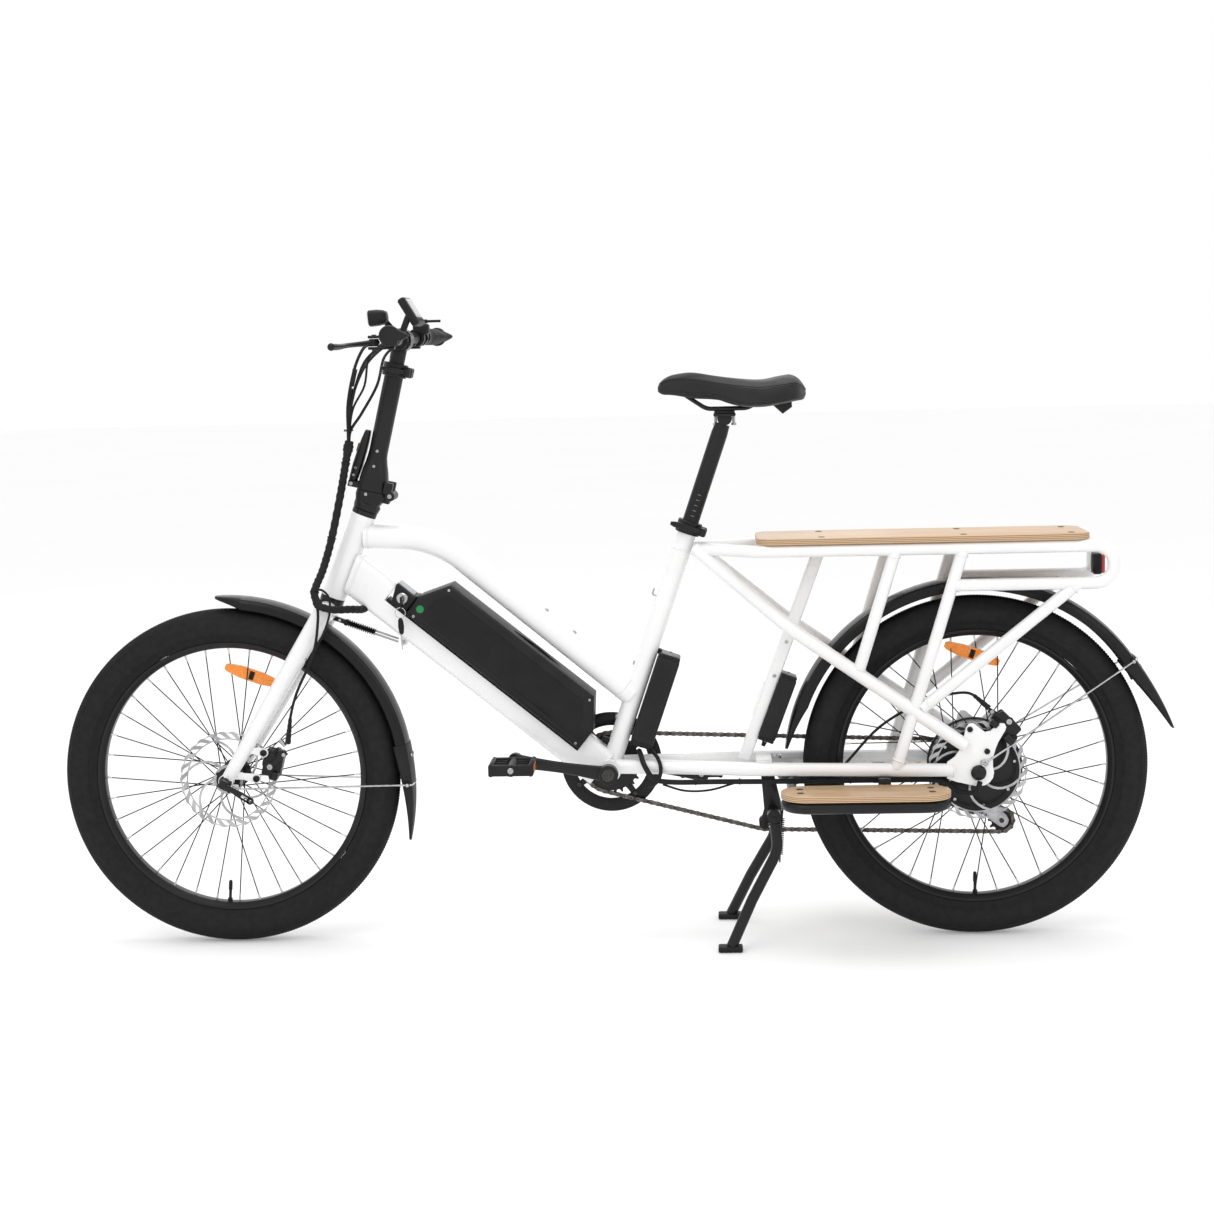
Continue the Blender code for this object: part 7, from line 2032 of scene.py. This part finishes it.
def make_crankset():
    """The axle, forged arms, chainring and the black guard that stands outside the chain."""
    shape = bmesh.new()
    add_cross_rod(shape, CRANK_AXIS, -0.078, 0.078, 0.0120, 1)
    for side in (-1, 1):
        reach = pedal_centre(side) - CRANK_AXIS
        line = reach.normalized()
        up = line.cross(SIDEWAYS)
        near, far = CRANK_AXIS + SIDEWAYS * side * 0.066, CRANK_AXIS + reach + SIDEWAYS * side * 0.078
        rings = []
        for i in range(15):
            share = i / 14
            half_wide = 0.0150 - 0.0042 * math.sin(math.pi * share) - 0.0016 * share
            centre = near.lerp(far, share) - SIDEWAYS * side * 0.0015 * math.sin(math.pi * share)
            rings.append(flat_ring(centre, up, half_wide, 0.0062, sides=24, power=0.6))
        add_rings(shape, rings, 0)
        boss = [(0.0124, 0.060), (0.0177, 0.060), (0.0185, 0.061), (0.0185, 0.0790), (0.0172, 0.080),
            (0.0124, 0.080)]
        add_lathe(shape, [(r, a * side) for r, a in boss], CRANK_AXIS, SIDEWAYS, 44, 0)
        cap = [(0.0126, 0.0), (0.0126, 0.0010), (0.0110, 0.0018), (0.0050, 0.0020), (0.0, 0.0020)]
        add_lathe(shape, cap, CRANK_AXIS + SIDEWAYS * side * 0.0778, SIDEWAYS * side, 36, 2, False)
        eye = [(0.0058, 0.066), (0.0130, 0.066), (0.0140, 0.067), (0.0140, 0.0780), (0.0130, 0.079),
            (0.0058, 0.079)]
        add_lathe(shape, [(r, a * side) for r, a in eye], CRANK_AXIS + reach, SIDEWAYS, 36, 0)
        axle_side = sorted((side * 0.070, side * 0.175))
        add_cross_rod(shape, CRANK_AXIS + reach, axle_side[0], axle_side[1], 0.0055, 1)
    add_cog(shape, CRANK_AXIS, 28, CHAINRING_PITCH, CHAIN_SIDE, 0.0010, 0, 0.0110)
    carrier = [(0.0123, 0.0440), (0.0240, 0.0440), (0.0240, 0.0640), (0.0123, 0.0640)]
    add_lathe(shape, carrier, CRANK_AXIS, SIDEWAYS, 36, 0)
    guard = [
        (0.0690, 0.0580), (0.0700, 0.0574), (0.0925, 0.0574), (0.0940, 0.0580), (0.0940, 0.0600),
        (0.0925, 0.0608),
        (0.0800, 0.0600), (0.0700, 0.0608), (0.0690, 0.0600),
    ]
    add_lathe(shape, guard, CRANK_AXIS, SIDEWAYS, 96, 3)
    for number in range(4):
        degrees = number * 90 + 35
        rings = []
        for share in (0.0, 0.3, 0.7, 1.0):
            centre = on_circle(CRANK_AXIS, 0.018 + 0.056 * share, degrees, CHAIN_SIDE + 0.0072)
            line = (centre - Vector((CRANK_AXIS.x, centre.y, CRANK_AXIS.z))).normalized()
            rings.append(flat_ring(centre, line.cross(SIDEWAYS), 0.0085 - 0.0030 * share, 0.0013, sides=16))
        add_rings(shape, rings, 0)
        add_bolt(shape, on_circle(CRANK_AXIS, 0.0745, degrees, 0.0600), SIDEWAYS, 0.0042, 0.0022, 2)
        add_bolt(shape, on_circle(CRANK_AXIS, 0.0745, degrees, 0.0574), -SIDEWAYS, 0.0042, 0.0022, 2)
    paints = [BLACK_GLOSS, STEEL, DARK_STEEL, PLASTIC_SMOOTH]
    make_piece(shape, "crankset_look", "cranks", paints, ["crankset"])


def make_pedal(side, node, body):
    """A platform pedal: a ribbed cage round its axle tube, with grip pins and amber reflectors."""
    shape = bmesh.new()
    centre = pedal_centre(side) + SIDEWAYS * side * 0.132
    axle = [(0.0059, -0.0415), (0.0100, -0.0415), (0.0108, -0.0405), (0.0090, -0.030), (0.0090, 0.030),
        (0.0108, 0.0405), (0.0100, 0.0415), (0.0059, 0.0415)]
    add_lathe(shape, axle, centre, SIDEWAYS, 28, 0)
    for along in (-0.0355, 0.0355):
        add_block(shape, centre + Vector((along, 0, 0)), (0.0088, 0.084, 0.0215), bevel=0.0030, paint=0,
            segments=3)
        add_block(shape, centre + Vector((along * 1.108, 0, 0)), (0.0018, 0.046, 0.0125), bevel=0.0006,
            paint=1)
    for across in (-0.0375, 0.0375):
        add_block(shape, centre + SIDEWAYS * across, (0.074, 0.0088, 0.0200), bevel=0.0028, paint=0,
            segments=3)
    for across in (-0.0180, 0.0, 0.0180):
        for along in (-0.0205, 0.0205):
            add_block(shape, centre + Vector((along, across, 0)), (0.0240, 0.0030, 0.0160),
                bevel=0.0010, paint=0)
    for across in (-0.036, -0.018, 0.0, 0.018, 0.036):
        for along in (-0.0355, 0.0355):
            for up in (-1, 1):
                place = centre + Vector((along, across, up * 0.0100))
                add_rod(shape, place, place + UPWARDS * up * 0.0014, 0.0022, 0.0016, 0, 12)
    make_piece(shape, node + "_look", body, [PLASTIC, AMBER], [node])


def belt_path(wheels, spacing):
    """Evenly spaced places on the line of a belt round wheels given as (centre, signed radius)."""
    normals = []
    count = len(wheels)
    for i in range(count):
        (c1, s1), (c2, s2) = wheels[i], wheels[(i + 1) % count]
        span = Vector((c2.x - c1.x, c2.z - c1.z))
        normals.append(math.atan2(span.y, span.x) + math.acos((s2 - s1) / span.length))
    path = []
    for i in range(count):
        centre, signed = wheels[i]
        start, end = normals[i - 1], normals[i]
        sweep = (end - start) % (2 * math.pi) if signed > 0 else -((start - end) % (2 * math.pi))
        if abs(sweep) > math.radians(330):
            sweep = 0.0
        steps = max(1, round(abs(sweep) / math.radians(5)))
        for k in range(steps + 1):
            normal = start + sweep * k / steps
            reach = Vector((math.cos(normal), 0, math.sin(normal))) * signed
            path.append(Vector((centre.x, CHAIN_SIDE, centre.z)) - reach)
    path.append(path[0])
    lengths = [0.0]
    for before, after in zip(path, path[1:]):
        lengths.append(lengths[-1] + (after - before).length)
    links = 2 * round(lengths[-1] / spacing / 2)
    places = []
    span = 0
    for number in range(links):
        target = lengths[-1] * number / links
        while lengths[span + 1] < target:
            span += 1
        share = (target - lengths[span]) / max(lengths[span + 1] - lengths[span], 1e-9)
        places.append(path[span].lerp(path[span + 1], share))
    return places


def link_outline(start, end, radius):
    """The figure-of-eight outline of a chain plate between two pins."""
    line = (end - start).normalized()
    rise = line.cross(SIDEWAYS)
    outline = []
    for centre, facing in ((end, 1), (start, -1)):
        for step in range(7):
            angle = math.radians(-90 + 30 * step)
            reach = line * facing * math.cos(angle) + rise * facing * math.sin(angle)
            outline.append(centre + reach * radius)
        outline.append((start + end) / 2 + rise * facing * radius * 0.72)
    return outline


def make_chain():
    """A roller chain, link by link: inner and outer plates in turn, with rollers and pins."""
    wheels = [
        (CRANK_AXIS, CHAINRING_PITCH), (CHAIN_GUIDE, 0.0160), (LOWER_PULLEY, PULLEY_PITCH),
        (UPPER_PULLEY, -PULLEY_PITCH), (REAR_AXLE, COG_PITCH),
    ]
    pins = belt_path(wheels, CHAIN_LINK)
    shape = bmesh.new()
    count = len(pins)
    for i in range(count):
        start, end = pins[i], pins[(i + 1) % count]
        across = 0.0020 if i % 2 else 0.0028
        for side in (-1, 1):
            outline = [place + SIDEWAYS * side * across for place in link_outline(start, end, 0.0040)]
            add_plate(shape, outline, SIDEWAYS * side * 0.0008, 0, i % 2)
        add_cross_rod(shape, start, CHAIN_SIDE - 0.0038, CHAIN_SIDE + 0.0038, 0.0018, 1, 8)
        add_cross_rod(shape, start, CHAIN_SIDE - 0.0020, CHAIN_SIDE + 0.0020, 0.0036, 0, 10)
    make_piece(shape, "chain_look", "frame", [CHAIN_STEEL, DARK_STEEL], ["chain"])


def make_pulley(centre, node, body):
    shape = bmesh.new()
    middle = centre - SIDEWAYS * CHAIN_SIDE
    add_cog(shape, middle, 11, PULLEY_PITCH, CHAIN_SIDE, 0.0016, 0, 0.0030)
    cap = [(0.0030, -0.0030), (0.0085, -0.0030), (0.0095, -0.0022), (0.0095, 0.0022), (0.0085, 0.0030),
        (0.0030, 0.0030)]
    add_lathe(shape, cap, middle + SIDEWAYS * CHAIN_SIDE, SIDEWAYS, 32, 1)
    make_piece(shape, node + "_look", body, [PLASTIC, STEEL], [node])


def make_derailleur():
    """The cage plates, the spring barrel and the arm that bolts to the dropout."""
    shape = bmesh.new()
    cage = [
        (1.360, 0.240), (1.362, 0.230), (1.368, 0.224), (1.376, 0.219), (1.420, 0.187), (1.428, 0.185),
        (1.435, 0.191),
        (1.437, 0.199), (1.433, 0.208), (1.420, 0.220), (1.388, 0.243), (1.376, 0.248), (1.366, 0.247),
    ]
    for side in (CHAIN_SIDE - 0.0070, CHAIN_SIDE + 0.0056):
        add_side_plate(shape, cage, side, side + 0.0014, 0.0004, 0)
    add_cross_rod(shape, UPPER_PULLEY, 0.0450, 0.0850, 0.0025, 0, 16)
    add_cross_rod(shape, LOWER_PULLEY, 0.0450, 0.0600, 0.0025, 0, 16)
    for place in (UPPER_PULLEY, LOWER_PULLEY):
        add_bolt(shape, Vector((place.x, 0.0450, place.z)), -SIDEWAYS, 0.0046, 0.0016, 2)
        add_bolt(shape, Vector((place.x, 0.0590, place.z)), SIDEWAYS, 0.0046, 0.0016, 2)
    barrel = [(0.0028, 0.0592), (0.0092, 0.0592), (0.0100, 0.0600), (0.0100, 0.0770), (0.0092, 0.0780),
        (0.0028, 0.0780)]
    add_lathe(shape, barrel, Vector((UPPER_PULLEY.x, 0, UPPER_PULLEY.z)), SIDEWAYS, 36, 1)
    arm = [
        (1.362, 0.236), (1.368, 0.228), (1.380, 0.229), (1.388, 0.240), (1.398, 0.262), (1.399, 0.276),
        (1.394, 0.285),
        (1.384, 0.288), (1.378, 0.280), (1.374, 0.262), (1.366, 0.250),
    ]
    add_side_plate(shape, arm, 0.0775, 0.0845, 0.0016, 1)
    add_bolt(shape, at(1.388, 0.0845, 0.278), SIDEWAYS, 0.0052, 0.0030, 2)
    link = [at(1.388, 0.0810, 0.278), at(1.386, 0.0790, 0.289), at(1.384, 0.0755, 0.297)]
    add_tube(shape, link, 0.0050, 1, 16)
    make_piece(shape, "derailleur_look", "frame", [STEEL, ANODISED, DARK_STEEL], ["derailleur"])


def make_drive():
    make_crankset()
    make_pedal(-1, "pedal_left", "left_pedal")
    make_pedal(1, "pedal_right", "right_pedal")
    make_chain()
    make_pulley(UPPER_PULLEY, "upper_pulley", "upper_jockey_wheel")
    make_pulley(LOWER_PULLEY, "lower_pulley", "lower_jockey_wheel")
    make_derailleur()


# ---------------------------------------------------------------- stand, spring and cables
def make_kickstand():
    """A barrel across the bicycle, two bent legs with rubber feet, and the pair of springs that hold it."""
    shape = bmesh.new()
    add_cross_rod(shape, KICKSTAND_PIVOT, -0.078, 0.078, 0.0120, 0, 32)
    for side in (-1, 1):
        corners = [
            at(1.001, side * 0.0710, 0.236), at(1.007, side * 0.0760, 0.176),
            at(0.958, side * 0.0950, 0.088),
            at(0.920, side * 0.1160, 0.008),
        ]
        add_tube(shape, rounded(corners, 0.06, math.radians(5)), 0.0100, 0, 28)
        add_weld(shape, at(1.002, side * 0.0719, 0.2235), (0.1, side * 0.08, -1), 0.0102)
        foot = at(0.918, side * 0.1160, 0.0052)
        add_block(shape, foot, (0.044, 0.030, 0.0098), bevel=0.0030, paint=1, segments=3)
        for row in range(-2, 3):
            add_block(shape, foot + Vector((0.008 * row, 0, -0.0044)), (0.0024, 0.026, 0.0014),
                bevel=0.0003, paint=1)
        end_cap = [(0.0121, 0.0), (0.0128, 0.0006), (0.0128, 0.0018), (0.0110, 0.0026), (0.0, 0.0026)]
        add_lathe(shape, end_cap, KICKSTAND_PIVOT + SIDEWAYS * side * 0.0756, SIDEWAYS * side, 32, 2, False)
    for side in (-0.034, 0.034):
        top, low = at(1.016, side, 0.2360), at(1.010, side * 1.9, 0.1500)
        add_helix(shape, top.lerp(low, 0.12), top.lerp(low, 0.86), 0.0048, 0.0012, 20, 0, 10)
        add_rod(shape, top, top.lerp(low, 0.13), 0.0014, paint=0, sides=8)
        add_rod(shape, top.lerp(low, 0.85), low, 0.0014, paint=0, sides=8)
    paints = [BLACK_GLOSS, RUBBER, ANODISED]
    make_piece(shape, "kickstand_look", "stand", paints, ["kickstand"])


def make_steering_spring():
    """The centring spring between the fork crown and the down tube: a bellows over two thin rods."""
    shape = bmesh.new()
    start, end = at(0.2225, 0, 0.5958), at(0.3200, 0, 0.5600)
    line = (end - start).normalized()
    bellows = []
    for i in range(49):
        bellows.append((0.0054 + 0.0020 * math.cos(math.pi * i / 2), 0.006 + 0.050 * i / 48))
    add_lathe(shape, [(0.0020, 0.006), *bellows, (0.0020, 0.056)], start, line, 28, 0)
    add_rod(shape, start, start + line * 0.010, 0.0042, paint=0, sides=16)
    for side in (-0.0026, 0.0026):
        rod_start = start + line * 0.054 + SIDEWAYS * side + UPWARDS * side
        add_rod(shape, rod_start, end + SIDEWAYS * side + UPWARDS * side - line * 0.002, 0.0019,
            paint=1, sides=12)
    add_block(shape, start + line * 0.001, (0.0070, 0.0150, 0.0110), line, 0.0020, 0, 3)
    spring = make_piece(shape, "steering_spring_look", None, [RUBBER, STEEL], ["steering_spring"])
    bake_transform(spring)


def add_cable(shape, corners, radius, paint=0, sides=12):
    add_tube(shape, smooth_path(corners, 6), radius, paint, sides)


def make_handlebar_cables():
    """The housings that leave the levers and the display and run down to one tie."""
    shape = bmesh.new()
    routes = [
        [(-0.030, -0.150, -0.006), (-0.052, -0.112, -0.014), (-0.076, -0.070, -0.050),
            (-0.093, -0.050, -0.110), (-0.0965, -0.040, -0.160)],
        [(-0.030, 0.150, -0.006), (-0.052, 0.108, -0.014), (-0.078, 0.045, -0.050),
            (-0.095, -0.005, -0.110), (-0.0965, -0.022, -0.160)],
        [(-0.007, -0.064, -0.004), (-0.030, -0.060, -0.012), (-0.062, -0.050, -0.040),
            (-0.086, -0.036, -0.100), (-0.0965, -0.031, -0.158)],
        [(-0.006, 0.128, -0.002), (-0.020, 0.110, -0.006), (-0.044, 0.080, -0.030),
            (-0.050, 0.020, -0.080), (-0.074, -0.020, -0.130), (-0.0935, -0.029, -0.160)],
        [(-0.014, -0.018, -0.004), (-0.030, -0.020, -0.006), (-0.056, -0.026, -0.030),
            (-0.066, -0.026, -0.080), (-0.088, -0.026, -0.120), (-0.0955, -0.030, -0.160)],
    ]
    loom_mouth = Vector((-0.0985, -0.0305, -0.1900))
    for route, radius in zip(routes, (0.0028, 0.0028, 0.0024, 0.0026, 0.0020)):
        add_cable(shape, [BAR_CENTRE + Vector(place) for place in [*route, loom_mouth]], radius)
    for side, up in ((-0.050, -0.050), (-0.044, -0.085)):
        joint = BAR_CENTRE + Vector((-0.078 - 0.14 * (-0.050 - up), side, up))
        add_rod(shape, joint, joint + Vector((-0.0080, 0.0060, -0.0300)), 0.0046, 0.0040, 1, 16)
    tie = BAR_CENTRE + Vector((-0.0965, -0.0305, -0.1600))
    band = [tie + Vector((0.0070 * math.cos(a), 0.0125 * math.sin(a), 0)) for a in turn_angles(32)]
    add_tube(shape, band, 0.0013, 1, 8, closed=True)
    add_block(shape, tie + Vector((-0.0078, 0.004, 0)), (0.0040, 0.0050, 0.0040), bevel=0.0008, paint=1)
    cables = make_piece(shape, "handlebar_cables_look", None, [RUBBER, PLASTIC_SMOOTH],
        ["handlebar_cables"])
    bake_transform(cables)


def make_steering_cables():
    """The sleeved loom in front of the head tube and the front brake cable down the fork."""
    shape = bmesh.new()
    loom = [
        at(0.2460, -0.030, 0.9300), at(0.2380, -0.032, 0.8900), at(0.2270, -0.034, 0.8350),
        at(0.2080, -0.036, 0.7550),
        at(0.1920, -0.046, 0.7000), at(0.1780, -0.066, 0.6600), at(0.1880, -0.081, 0.6360),
    ]
    brake = [
        at(0.1800, -0.0720, 0.6500), at(0.1860, -0.0850, 0.6150), at(0.1750, -0.086, 0.5500),
        at(0.1420, -0.084, 0.4800),
        at(0.1260, -0.076, 0.4300), at(0.1180, -0.0665, 0.3820),
    ]
    path = smooth_path(loom, 24)
    sizes = [0.0070 + 0.0005 * math.sin(i * 1.3) for i in range(len(path))]
    for i in range(16):
        sizes[i] += 0.0022 * math.sin(math.pi * i / 16)
    add_tube(shape, path, sizes, 0, 18)
    add_cable(shape, brake, 0.0026, 0)
    loop = [
        at(0.1800, -0.066, 0.6640), at(0.1920, -0.062, 0.6620), at(0.2040, -0.066, 0.6480),
        at(0.2050, -0.074, 0.6200),
        at(0.1960, -0.082, 0.5900), at(0.1780, -0.086, 0.5550),
    ]
    add_cable(shape, loop, 0.0021, 0)
    boot_start, boot_end = at(0.1262, -0.0758, 0.4310), at(0.1182, -0.0668, 0.3835)
    places = [boot_start.lerp(boot_end, i / 10) for i in range(11)]
    add_tube(shape, places, [0.0030 + 0.0022 * (i / 10) + 0.0006 * (i % 2) for i in range(11)], 1, 16)
    for i in (3, 9, 15):
        centre = path[i * 8]
        line = (path[i * 8 + 1] - path[i * 8 - 1]).normalized()
        add_band(shape, centre, line, 0.0084, 0.0034, 1)
    cables = make_piece(shape, "steering_cables_look", None, [RUBBER, PLASTIC_SMOOTH], ["steering_cables"])
    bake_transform(cables)
    make_loom_tail()


def make_loom_tail():
    """The end of the loom, which bends between the fork crown and its hole under the down tube."""
    shape = bmesh.new()
    route = [
        at(0.1820, -0.0765, 0.6440), at(0.1880, -0.081, 0.6360), at(0.2120, -0.080, 0.6290),
        at(0.2400, -0.056, 0.6260),
        at(0.2570, -0.024, 0.6220), at(0.2640, -0.008, 0.6260),
    ]
    path = smooth_path(route, 14)
    add_tube(shape, path, [0.0069 + 0.0004 * math.sin(i * 1.3) for i in range(len(path))], 0, 18)
    tail = make_piece(shape, "loom_tail", None, [RUBBER], ["steering_cables"])
    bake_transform(tail)


def make_rear_cables():
    """The motor lead and the rear brake cable, from the controller back along the left chainstay."""
    shape = bmesh.new()
    lead = [
        at(0.7570, -0.014, 0.3500), at(0.7600, -0.034, 0.3480), at(0.7680, -0.050, 0.3280),
        at(0.7850, -0.053, 0.3050),
        at(0.8200, -0.051, 0.2980), at(0.9000, -0.052, 0.2980), at(0.9750, -0.0560, 0.2980),
        at(1.1000, -0.0580, 0.2980),
        at(1.2200, -0.0585, 0.2980), at(1.3000, -0.0600, 0.2960), at(1.3350, -0.0680, 0.2760),
        at(1.3620, -0.0840, 0.2800),
        at(1.3690, -0.0890, 0.2980),
    ]
    brake = [
        at(1.0900, -0.0550, 0.2960), at(1.1250, -0.0470, 0.3200), at(1.1950, -0.0500, 0.3950),
        at(1.2750, -0.0540, 0.4400),
        at(1.3450, -0.0600, 0.4560), at(1.3770, -0.0700, 0.4400),
    ]
    second = [
        at(0.7750, -0.016, 0.3560), at(0.7920, -0.040, 0.3400), at(0.7970, -0.052, 0.3180),
        at(0.7880, -0.054, 0.2980),
        at(0.7720, -0.047, 0.2900),
    ]
    slack = [
        at(0.8000, -0.0500, 0.2940), at(0.8400, -0.0510, 0.2820), at(0.8850, -0.0530, 0.2830),
        at(0.9300, -0.0530, 0.2950),
    ]
    add_cable(shape, lead, 0.0048, 0, 16)
    add_cable(shape, second, 0.0036, 0, 14)
    add_cable(shape, slack, 0.0020, 0)
    add_cable(shape, brake, 0.0026, 0)
    boot_start, boot_end = at(1.3610, -0.0650, 0.4520), at(1.3880, -0.0712, 0.4285)
    places = [boot_start.lerp(boot_end, i / 10) for i in range(11)]
    add_tube(shape, places, [0.0030 + 0.0020 * (i / 10) + 0.0006 * (i % 2) for i in range(11)], 1, 16)
    for behind in (0.860, 0.940, 1.140, 1.250):
        centre = at(behind, -0.0575 if behind > 1 else -0.0520, 0.2980)
        add_band(shape, centre, (1, 0, 0), 0.0060, 0.0030, 1)
    make_piece(shape, "rear_cables_look", "frame", [RUBBER, PLASTIC_SMOOTH], ["rear_cables"])


def make_stand_and_cables():
    make_kickstand()
    make_steering_spring()
    make_handlebar_cables()
    make_steering_cables()
    make_rear_cables()


# ---------------------------------------------------------------- camera, light and floor
def make_camera():
    """The camera stands 4 m to the bicycle's left and looks across it, level with its saddle."""
    yaw, pitch, roll = math.radians(-3.04), math.radians(6.76), math.radians(-1.40)
    forward = Vector((math.sin(yaw) * math.cos(pitch), math.cos(yaw) * math.cos(pitch), -math.sin(pitch)))
    right = forward.cross(UPWARDS).normalized()
    up = right.cross(forward)
    right_rolled = right * math.cos(roll) + up * math.sin(roll)
    up_rolled = up * math.cos(roll) - right * math.sin(roll)
    camera = bpy.data.objects.new("camera", bpy.data.cameras.new("camera"))
    camera.data.sensor_width = 36.0
    camera.data.lens = 65.42
    camera.data.clip_end = 60
    turn = Matrix((right_rolled, up_rolled, -forward)).transposed().to_4x4()
    camera.matrix_world = Matrix.Translation((0.208, -4.0, 1.090)) @ turn
    bpy.context.scene.collection.objects.link(camera)
    bpy.context.scene.camera = camera


def make_area_light(name, place, target, size, power):
    light = bpy.data.lights.new(name, "AREA")
    light.shape = "SQUARE"
    light.size = size
    light.energy = power
    lamp = bpy.data.objects.new(name, light)
    lamp.location = place
    lamp.rotation_mode = "QUATERNION"
    lamp.rotation_quaternion = (Vector(target) - Vector(place)).to_track_quat("-Z", "Y")
    bpy.context.scene.collection.objects.link(lamp)


def make_lights():
    make_area_light("key_light", (-1.6, -3.0, 3.8), (0, 0, 0.4), 2.2, 30)
    make_area_light("fill_light", (2.6, -3.0, 2.2), (0.2, 0, 0.5), 2.0, 10)
    make_area_light("top_light", (0, 0.2, 3.6), (0, 0, 0), 2.2, 38)
    make_area_light("back_light", (-0.5, 3.8, 2.4), (0, 0, 0.5), 2.6, 12)
    world = bpy.data.worlds.new("studio")
    world.use_nodes = True
    background = world.node_tree.nodes["Background"]
    background.inputs["Color"].default_value = (1, 1, 1, 1)
    background.inputs["Strength"].default_value = 1.0
    bpy.context.scene.world = world
    bpy.context.scene.view_settings.view_transform = "Standard"


def make_floor():
    """A wide pale floor that the shadows fall on."""
    mesh = bpy.data.meshes.new("floor")
    half = 30.0
    mesh.from_pydata(
        [(-half, -half, 0), (half, -half, 0), (half, half, 0), (-half, half, 0)], [], [(0, 1, 2, 3)]
    )
    floor = bpy.data.objects.new("floor", mesh)
    material = new_material("floor", (0.80, 0.80, 0.80), 0.9, specular=0.1)
    mapping = place_texture(material)
    vary_colour(material, noise_of(material, mapping, 0.6), (0.795, 0.795, 0.795), (0.805, 0.805, 0.805))
    surface = material.node_tree.nodes["Principled BSDF"]
    surface.inputs["Emission Color"].default_value = (1, 1, 1, 1)
    surface.inputs["Emission Strength"].default_value = 0.17
    mesh.materials.append(material)
    bpy.context.scene.collection.objects.link(floor)
    floor.location.z = -0.0005


make_camera()
make_lights()
make_floor()
make_wheels()
make_frame()
make_equipment()
make_mudguards()
make_fork()
make_brakes()
make_column()
make_cockpit()
make_seat()
make_drive()
make_stand_and_cables()
